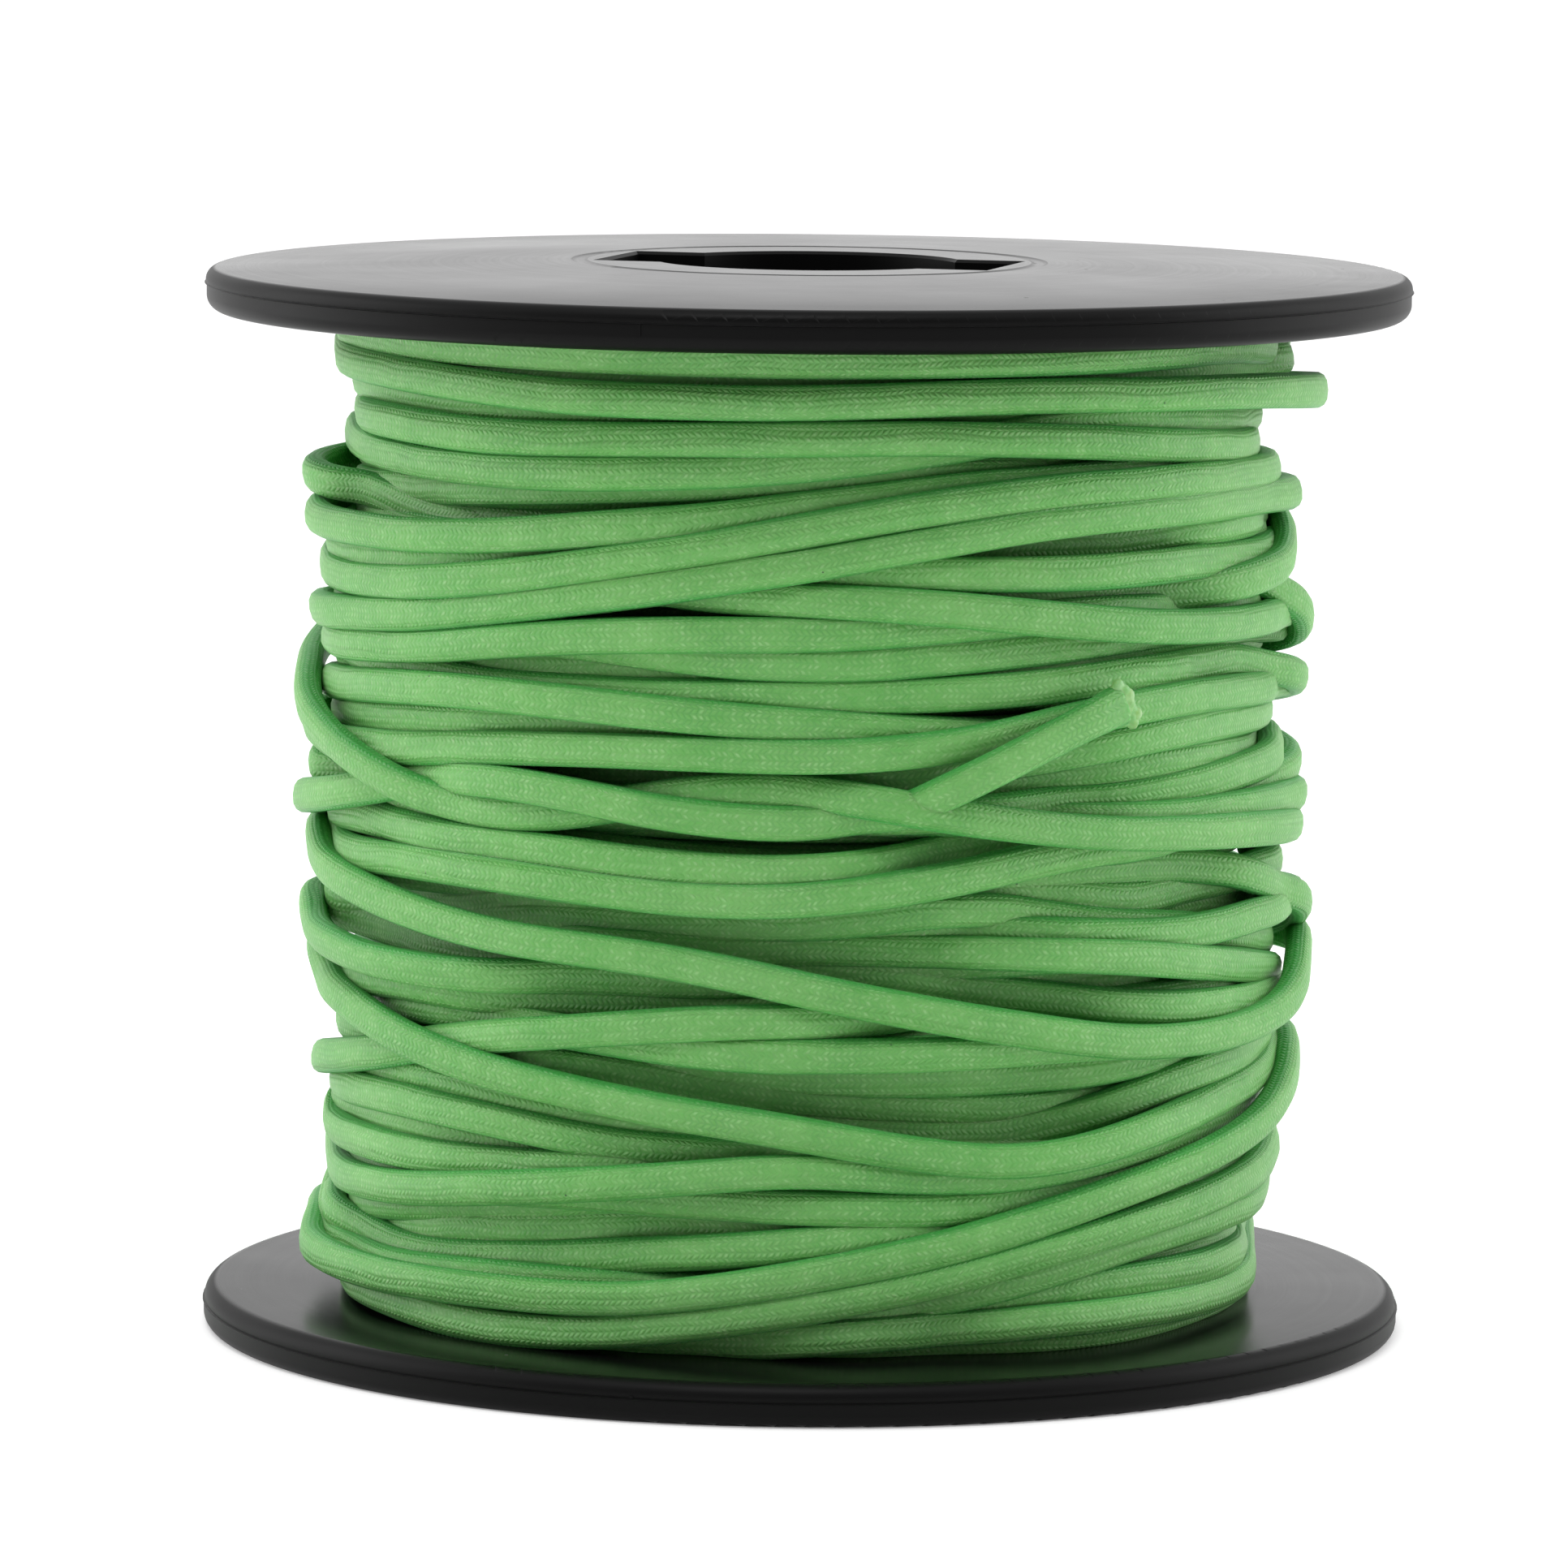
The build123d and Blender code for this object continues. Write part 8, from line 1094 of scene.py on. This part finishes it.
# ------------------------------------------------------------------ braided, waxed cord
def cord_material():
    m = Nodes("waxed_braid")
    uv = m.uv("braid")
    u, v, _ = m.split(uv)
    obj = m.coords()
    around = 22.0            # rows of stitches round the cord, leaning one way and the other in turn
    along = 1.0 / 0.40       # stitches along it, per mm
    # a slow drift of the lay, so that the braid isn't ruled
    drift = m.math("MULTIPLY", m.math("SUBTRACT", m.noise(m.join(m.math("MULTIPLY", v, 0.12), 0.0, 0.0), 1.0, 1.0), 0.5), 3.0)
    p = m.math("ADD", m.math("MULTIPLY", u, around), m.math("ADD", drift, 40.0))
    row = m.math("FLOOR", p)
    lean = m.math("SUBTRACT", m.math("MULTIPLY", m.math("MODULO", row, 2.0), 2.0), 1.0)
    wav = m.math("MULTIPLY", m.math("SUBTRACT", m.noise(m.join(m.math("MULTIPLY", v, 0.9), m.math("MULTIPLY", u, 9.0), 0.0), 1.0, 2.0), 0.5), 0.7)
    q = m.math("ADD", m.math("MULTIPLY", v, along), m.math("MULTIPLY", m.math("MULTIPLY", lean, m.math("SUBTRACT", m.math("FRACT", p), 0.5)), 0.62))
    q = m.math("ADD", q, wav)
    cut = m.math("PINGPONG", q, 0.5)
    edge = m.math("PINGPONG", p, 0.5)
    h1 = m.range(cut, 0.0, 0.42, 0.0, 1.0, smooth=True)
    h2 = m.range(edge, 0.0, 0.42, 0.25, 1.0, smooth=True)
    h = m.math("MULTIPLY", h1, h2)
    fibre = m.noise(m.join(m.math("MULTIPLY", u, 60.0), m.math("MULTIPLY", v, 5.0), lean), 1.0, 3.0, 0.6)
    wax = m.noise(obj, 650.0, 3.0, 0.6)
    patch = m.noise(obj, 95.0, 2.0, 0.5)
    cell = m.nt.nodes.new("ShaderNodeTexWhiteNoise")
    cell.noise_dimensions = "2D"
    m.put(cell.inputs["Vector"], m.join(row, m.math("FLOOR", q), 0.0))
    cv = cell.outputs["Value"]
    # soft creases along the cord, where the braid has been pressed flat
    crease = m.noise(m.join(m.math("MULTIPLY", u, 6.5), m.math("MULTIPLY", v, 0.045), 0.0), 1.0, 1.0, 0.4)
    # the first colour is the painted shade in the grooves, the last the painted highlight on the yarn crowns
    groove_shade_green, mid, pale = srgb(22, 110, 54), srgb(116, 178, 97), srgb(172, 210, 158)
    tone = m.math("ADD", m.math("MULTIPLY", patch, 0.50), m.math("ADD", m.math("MULTIPLY", cv, 0.12), m.math("MULTIPLY", wax, 0.34)))
    col = m.ramp(tone, [(0.30, srgb(98, 168, 82)), (0.53, mid), (0.80, srgb(127, 187, 108))])
    # painted shade: the sides of the cord, which face its neighbours and lie in their shade, are coloured a darker,
    # more saturated green than the side that faces out
    side = m.range(m.math("ABSOLUTE", m.math("SUBTRACT", u, 0.5)), 0.10, 0.24, 0.0, 1.0, smooth=True)
    col = m.mix(m.math("MULTIPLY", side, 0.88), col, srgb(56, 155, 66))
    # painted shade: the grooves between yarns are darkened towards a dark green, as shade falls in them; a slow noise
    # varies how dark
    groove = m.range(h, 0.0, 0.80, 1.0, 0.0, smooth=True)
    groove_shade_level = m.range(m.noise(obj, 230.0, 2.0, 0.5), 0.30, 0.70, 0.02, 0.24)
    col = m.mix(m.math("MULTIPLY", groove, groove_shade_level), col, groove_shade_green)
    # painted highlight: pale spots on the yarn crowns, where the cell noise picks them, stand in for light caught by
    # the wax
    crown_highlight = m.math("MULTIPLY", m.range(h, 0.45, 1.0, 0.0, 1.0, smooth=True), m.range(m.math("ADD", m.math("MULTIPLY", wax, 0.6), m.math("MULTIPLY", cv, 0.4)), 0.44, 0.74, 0.0, 1.0, smooth=True))
    col = m.mix(m.math("MULTIPLY", crown_highlight, 0.31), col, pale)
    # dust and dark specks that the wax has caught
    sp = m.voronoi(m.join(m.math("MULTIPLY", u, 5.2), m.math("MULTIPLY", v, 0.62), 0.0), 1.0)
    spv = m.voronoi(m.join(m.math("MULTIPLY", u, 5.2), m.math("MULTIPLY", v, 0.62), 0.0), 1.0, out="Color")
    pick = m.math("GREATER_THAN", m.split(spv)[0], 0.80)
    size = m.math("MULTIPLY", m.split(spv)[1], 0.055)
    speck = m.math("MULTIPLY", m.math("LESS_THAN", sp, size), pick)
    col = m.mix(m.math("MULTIPLY", speck, 0.75), col, srgb(30, 62, 34))
    m.put(m.bsdf.inputs["Base Color"], col)
    m.put(m.bsdf.inputs["Roughness"], m.math("ADD", m.math("MULTIPLY", wax, 0.22), 0.36))
    m.bsdf.inputs["Specular IOR Level"].default_value = 0.38
    # light that passes through the waxed yarn comes out greener
    m.bsdf.inputs["Subsurface Weight"].default_value = 0.40
    m.bsdf.inputs["Subsurface Radius"].default_value = (0.22, 1.0, 0.30)
    m.bsdf.inputs["Subsurface Scale"].default_value = 0.0011
    m.bsdf.inputs["Sheen Weight"].default_value = 0.05
    m.bsdf.inputs["Sheen Roughness"].default_value = 0.45
    m.bsdf.inputs["Sheen Tint"].default_value = srgb(205, 235, 195)
    hh = m.math("ADD", h, m.math("ADD", m.math("MULTIPLY", fibre, 0.22), m.math("MULTIPLY", wax, 0.12)))
    big = m.bump(crease, 0.00042, 1.0)
    m.put(m.bsdf.inputs["Normal"], m.bump(hh, 0.000048, 1.0, big))
    return m.mat


# ------------------------------------------------------------------ black moulded plastic
def plastic_material(name, dust=1.0, gloss=0.26, satin=0.12, dish=1.9):
    m = Nodes(name)
    obj = m.coords()
    x, y, z = m.split(obj)
    fine = m.noise(obj, 2600.0, 2.0, 0.5)
    soft = m.noise(obj, 60.0, 3.0, 0.55)
    smear = m.noise(obj, 22.0, 4.0, 0.6)
    geo = m.nt.nodes.new("ShaderNodeNewGeometry")
    nz = m.math("ABSOLUTE", m.split(geo.outputs["Normal"])[2])
    flat = m.range(nz, 0.9, 0.99, 0.0, 1.0)
    base = m.ramp(smear, [(0.3, srgb(7, 7, 7)), (0.7, srgb(12, 12, 12))])
    # dust grains and short lint on the flat faces
    cells = m.voronoi(obj, 420.0)
    cid = m.voronoi(obj, 420.0, out="Color")
    cr, cg, cb = m.split(cid)
    grain = m.math("MULTIPLY", m.math("LESS_THAN", cells, m.math("MULTIPLY", cg, 0.075)), m.math("GREATER_THAN", cr, 0.66))
    grain = m.math("MULTIPLY", grain, m.math("MULTIPLY", flat, 0.8 * dust))
    base = m.mix(grain, base, srgb(104, 104, 101))
    # fine circular wipe marks
    ringr = m.math("SQRT", m.math("ADD", m.math("MULTIPLY", x, x), m.math("MULTIPLY", y, y)))
    rings = m.noise(m.join(m.math("MULTIPLY", ringr, 5200.0), m.math("MULTIPLY", smear, 3.0), 0.0), 1.0, 2.0, 0.5)
    m.put(m.bsdf.inputs["Base Color"], base)
    r = m.math("ADD", m.math("MULTIPLY", soft, 0.14), m.math("ADD", m.math("MULTIPLY", flat, satin), gloss - 0.07))
    r = m.math("ADD", r, m.math("MULTIPLY", m.math("MULTIPLY", rings, flat), 0.05))
    r = m.math("ADD", r, m.math("MULTIPLY", grain, 0.4), clamp=True)
    m.put(m.bsdf.inputs["Roughness"], r)
    m.bsdf.inputs["Specular IOR Level"].default_value = 0.10
    m.bsdf.inputs["IOR"].default_value = 1.50
    hgt = m.math("ADD", m.math("MULTIPLY", fine, 0.35), m.math("ADD", m.math("MULTIPLY", soft, 1.0), m.math("MULTIPLY", grain, 0.8)))
    # the faces dish very slightly from the middle to the rim
    nrm = m.nt.nodes.new("ShaderNodeVectorMath")
    nrm.operation = "MULTIPLY_ADD"
    m.put(nrm.inputs[0], m.join(x, y, 0.0))
    k = m.math("MULTIPLY", m.math("MULTIPLY", flat, dish), m.range(ringr, 0.022, 0.040, 0.0, 1.0, smooth=True))
    m.put(nrm.inputs[1], m.join(k, k, 0.0))
    m.put(nrm.inputs[2], geo.outputs["Normal"])
    m.put(m.bsdf.inputs["Normal"], m.bump(hgt, 0.000012, 0.6, nrm.outputs[0]))
    return m.mat


def tape_material():
    m = Nodes("paper_tape")
    obj = m.coords()
    n = m.noise(obj, 900.0, 4.0, 0.6)
    c = m.noise(m.join(m.split(obj)[2], m.split(obj)[0], 0.0), 1400.0, 2.0)
    m.put(m.bsdf.inputs["Base Color"], m.ramp(n, [(0.3, srgb(196, 178, 134)), (0.7, srgb(216, 200, 160))]))
    m.put(m.bsdf.inputs["Roughness"], m.range(n, 0.2, 0.8, 0.55, 0.75))
    m.put(m.bsdf.inputs["Normal"], m.bump(c, 0.00004, 0.7))
    return m.mat


def give(ob, mat):
    ob.data.materials.clear()
    ob.data.materials.append(mat)


cord_mat = cord_material()
top_mat = plastic_material("black_moulded_upper", 1.0, 0.42, -0.25)
low_mat = plastic_material("black_moulded_lower", 0.8, 0.46, -0.24)
bar_mat = plastic_material("black_moulded_barrel", 0.5, 0.34)
def turned_normals(ob, rounds, inside=30.0):
    """Normals of a turned rim, taken from its section: round the axis they turn smoothly and the
    edges of the section stay crisp. rounds are (radius of the centre, height of it, radius), mm."""
    me = ob.data
    co = np.zeros(len(me.vertices) * 3)
    me.vertices.foreach_get("co", co)
    mw = np.array(ob.matrix_world)
    co = (co.reshape(-1, 3) @ mw[:3, :3].T + mw[:3, 3]) / MM
    rho = np.hypot(co[:, 0], co[:, 1])
    me.set_sharp_from_angle(angle=math.radians(30))
    normals = [(0.0, 0.0, 0.0)] * len(me.loops)
    for p in me.polygons:
        vs = list(p.vertices)
        if rho[vs].min() < inside:
            continue
        c = co[vs].mean(0)
        fn = np.array(p.normal)
        rc = np.hypot(c[0], c[1])
        nr = (fn[0] * c[0] + fn[1] * c[1]) / rc
        nt = (fn[1] * c[0] - fn[0] * c[1]) / rc
        if abs(nt) > 0.2:
            continue
        arc = None
        for cr, cz, rad in rounds:
            gap = np.abs(np.hypot(rho[vs] - cr, co[vs, 2] - cz) - rad)
            if gap.max() < 0.05 and abs(fn[2]) < 0.999 and rc > cr:
                arc = (cr, cz, rad)
        for li, v in zip(p.loop_indices, vs):
            ex, ey = co[v, 0] / rho[v], co[v, 1] / rho[v]
            if arc:
                a, b = rho[v] - arc[0], co[v, 2] - arc[1]
                k = math.hypot(a, b)
                a, b = a / k, b / k
            else:
                k = math.hypot(nr, fn[2])
                a, b = nr / k, fn[2] / k
            normals[li] = (a * ex, a * ey, b)
    me.normals_split_custom_set(normals)


RO, RI = 39.92, 39.86
turned_normals(nodes["upper_flange"], [(RO - 0.8, 70.5 - 0.8, 0.8), (RI - 1.0, 67.7 + 1.0, 1.0)])
turned_normals(nodes["lower_flange"], [(RO - 0.8, 0.8, 0.8), (RI - 1.0, 2.8 - 1.0, 1.0)])
give(nodes["upper_flange"], top_mat)
give(nodes["lower_flange"], low_mat)
give(nodes["barrel"], bar_mat)
give(nodes["start_tape"], tape_material())

# ------------------------------------------------------------------ the winding
inner = nurbs_line("inner_line", inner_turns(), 3)
ob, s = tube("cord_inner_layers", inner, 0.0, 8)
give(ob, cord_mat)
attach(ob, "root")
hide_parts("cord_winding")
length_all = s[-1]
s0 = float(s[-1])
last_line = inner


def tail_shape(s, w, t):
    """The free end: a little flatter, and it fans out just before the melted tip."""
    e = s[-1] - s
    f = np.clip(1 - e / 16.0, 0, 1)
    w = w * (1 + 0.05 * f)
    t = t * (1 - 0.04 * f)
    k = np.exp(-(e / 1.9) ** 2)
    return w * (1 + 0.10 * k), t * (1 + 0.02 * k)


names = []
for n in range(len(CUTS) - 1):
    pts = TURNS[CUTS[n]:CUTS[n + 1] + 1]
    final = n == len(CUTS) - 2
    if final:
        pts = pts + TAIL_ROUTE
    line = nurbs_line("outer_line_%02d" % (n + 1), pts, 4)
    name = "cord_turns_%02d" % (n + 1)
    ob, s = tube(name, line, s0, 14, swell=tail_shape if final else None)
    give(ob, cord_mat)
    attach(ob, "root")
    if final:
        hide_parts("cord_tail_sheath", "cord_tail_core")
    s0 = float(s[-1])
    last_line = line
    last_obj = ob
    names.append(name)
print("CORD_LENGTH_M", round(s0 / 1000, 3), "pieces", 1 + len(names))


# ------------------------------------------------------------------ melted tip of the free end
def tip_material():
    m = Nodes("melted_cord_end")
    obj = m.coords()
    n = m.noise(obj, 900.0, 3.0, 0.55)
    k = m.noise(obj, 3000.0, 2.0, 0.5)
    col = m.ramp(n, [(0.30, srgb(88, 160, 78)), (0.50, srgb(122, 182, 104)), (0.72, srgb(160, 202, 144))])
    m.put(m.bsdf.inputs["Base Color"], col)
    m.put(m.bsdf.inputs["Roughness"], m.range(k, 0.2, 0.8, 0.25, 0.5))
    m.bsdf.inputs["Subsurface Weight"].default_value = 0.15
    m.put(m.bsdf.inputs["Normal"], m.bump(m.math("ADD", n, m.math("MULTIPLY", k, 0.3)), 0.00012, 0.8))
    return m.mat


def melted_tip():
    """Molten lumps run together over the cut end, one standing out at each side of the cord."""
    end = last_line[-1]
    tan = last_line[-1] - last_line[-6]
    tan /= np.linalg.norm(tan)
    out = end * np.array([1, 1, 0.0])
    out /= np.linalg.norm(out)
    nor = out - (out @ tan) * tan
    nor /= np.linalg.norm(nor)
    bi = np.cross(tan, nor)
    if bi[2] > 0:
        bi = -bi                     # bi points down across the cord
    lumps = [  # along, across, out, radius
        (0.22, -1.34, 0.10, 0.36), (0.02, -1.02, 0.05, 0.42), (0.42, -0.82, 0.12, 0.44),
        (0.62, -0.42, 0.10, 0.48), (0.20, -0.35, 0.00, 0.58), (0.46, 0.05, 0.16, 0.48),
        (0.15, 0.36, 0.00, 0.60), (0.62, 0.52, 0.06, 0.40), (0.82, 0.98, 0.02, 0.46),
        (0.30, 0.98, 0.02, 0.48), (0.42, 1.44, 0.02, 0.42), (-0.12, 1.18, 0.00, 0.34),
        (-0.35, 0.45, 0.00, 0.55), (-0.35, -0.45, 0.00, 0.55),
    ]
    bm = bmesh.new()
    basis = Matrix((tan, bi, nor)).transposed()
    for al, ac, ou, r in lumps:
        c = (end + tan * al + bi * ac + nor * ou) * MM
        mat = Matrix.Translation(c) @ basis.to_4x4() @ Matrix.Diagonal((r * MM, r * MM * 1.05, r * MM * 1.15, 1.0))
        bmesh.ops.create_icosphere(bm, subdivisions=3, radius=1.0, matrix=mat)
    me = bpy.data.meshes.new("cord_end_melt")
    bm.to_mesh(me)
    bm.free()
    ob = bpy.data.objects.new("cord_end_melt", me)
    scene.collection.objects.link(ob)
    rm = ob.modifiers.new("join", "REMESH")
    rm.mode = "VOXEL"
    rm.voxel_size = 0.07 * MM
    rm.use_smooth_shade = True
    sm = ob.modifiers.new("flow", "SMOOTH")
    sm.factor, sm.iterations = 0.5, 3
    dg = bpy.context.evaluated_depsgraph_get()
    done = bpy.data.meshes.new_from_object(ob.evaluated_get(dg))
    done.name = "cord_end_melt"
    ob.modifiers.clear()
    ob.data = done
    done.polygons.foreach_set("use_smooth", np.ones(len(done.polygons), bool))
    give(ob, tip_material())
    return ob


tip = melted_tip()
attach(tip, "root")
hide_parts("cord_end_seal")

# ------------------------------------------------------------------ floor and light
fm = bpy.data.meshes.new("floor")
R = 6.0
fm.from_pydata([(-R, -R, 0), (R, -R, 0), (R, R, 0), (-R, R, 0)], [], [(0, 1, 2, 3)])
floor = bpy.data.objects.new("floor", fm)
scene.collection.objects.link(floor)
f = Nodes("pale_floor")
f.put(f.bsdf.inputs["Base Color"], f.ramp(f.noise(f.coords(), 3.0, 2.0), [(0.3, (0.86, 0.86, 0.86)), (0.7, (0.89, 0.89, 0.89))]))
f.bsdf.inputs["Roughness"].default_value = 0.9
f.bsdf.inputs["Specular IOR Level"].default_value = 0.2
f.bsdf.inputs["Emission Color"].default_value = (1, 1, 1, 1)
f.bsdf.inputs["Emission Strength"].default_value = 0.28
give(floor, f.mat)

TENT_FRONT, TENT_BACK = 0.17, 1.05
world = bpy.data.worlds.new("world")
scene.world = world
world.use_nodes = True
wt = world.node_tree
bg = wt.nodes["Background"]
bg.inputs[0].default_value = (1, 1, 1, 1)
# a white tent open at the front: bright behind, above and at both sides, dim in front
wc = wt.nodes.new("ShaderNodeTexCoord")
dot = wt.nodes.new("ShaderNodeVectorMath")
dot.operation = "DOT_PRODUCT"
dot.inputs[1].default_value = (-math.sin(AZ), math.cos(AZ), 0.25)
wt.links.new(wc.outputs["Generated"], dot.inputs[0])
mr = wt.nodes.new("ShaderNodeMapRange")
mr.interpolation_type = "SMOOTHSTEP"
for k, v in ((1, -0.75), (2, -0.10), (3, TENT_FRONT), (4, TENT_BACK)):
    mr.inputs[k].default_value = v
wt.links.new(dot.outputs["Value"], mr.inputs[0])
wt.links.new(mr.outputs[0], bg.inputs[1])
scene.view_settings.view_transform = "Standard"
scene.view_settings.look = "None"


def area(name, loc, target, size, power, size_y=None):
    d = bpy.data.lights.new(name, "AREA")
    d.shape = "RECTANGLE"
    d.size, d.size_y = size, size_y or size
    d.energy = power
    o = bpy.data.objects.new(name, d)
    scene.collection.objects.link(o)
    o.location = loc
    o.rotation_mode = "QUATERNION"
    o.rotation_quaternion = (Vector(target) - Vector(loc)).to_track_quat("-Z", "Y")
    return o


# soft key from above the camera, fills at both sides
def at(az_deg, dist, height):
    a = math.radians(az_deg) + AZ
    return (math.sin(a) * dist, -math.cos(a) * dist, height)


area("key", at(-12, 0.44, 0.80), (0, 0, 0.04), 0.30, 2.05)
area("side_left", at(-100, 0.55, 0.20), (0, 0, 0.035), 0.45, 1.15)
area("side_right", at(100, 0.55, 0.20), (0, 0, 0.035), 0.45, 1.05)
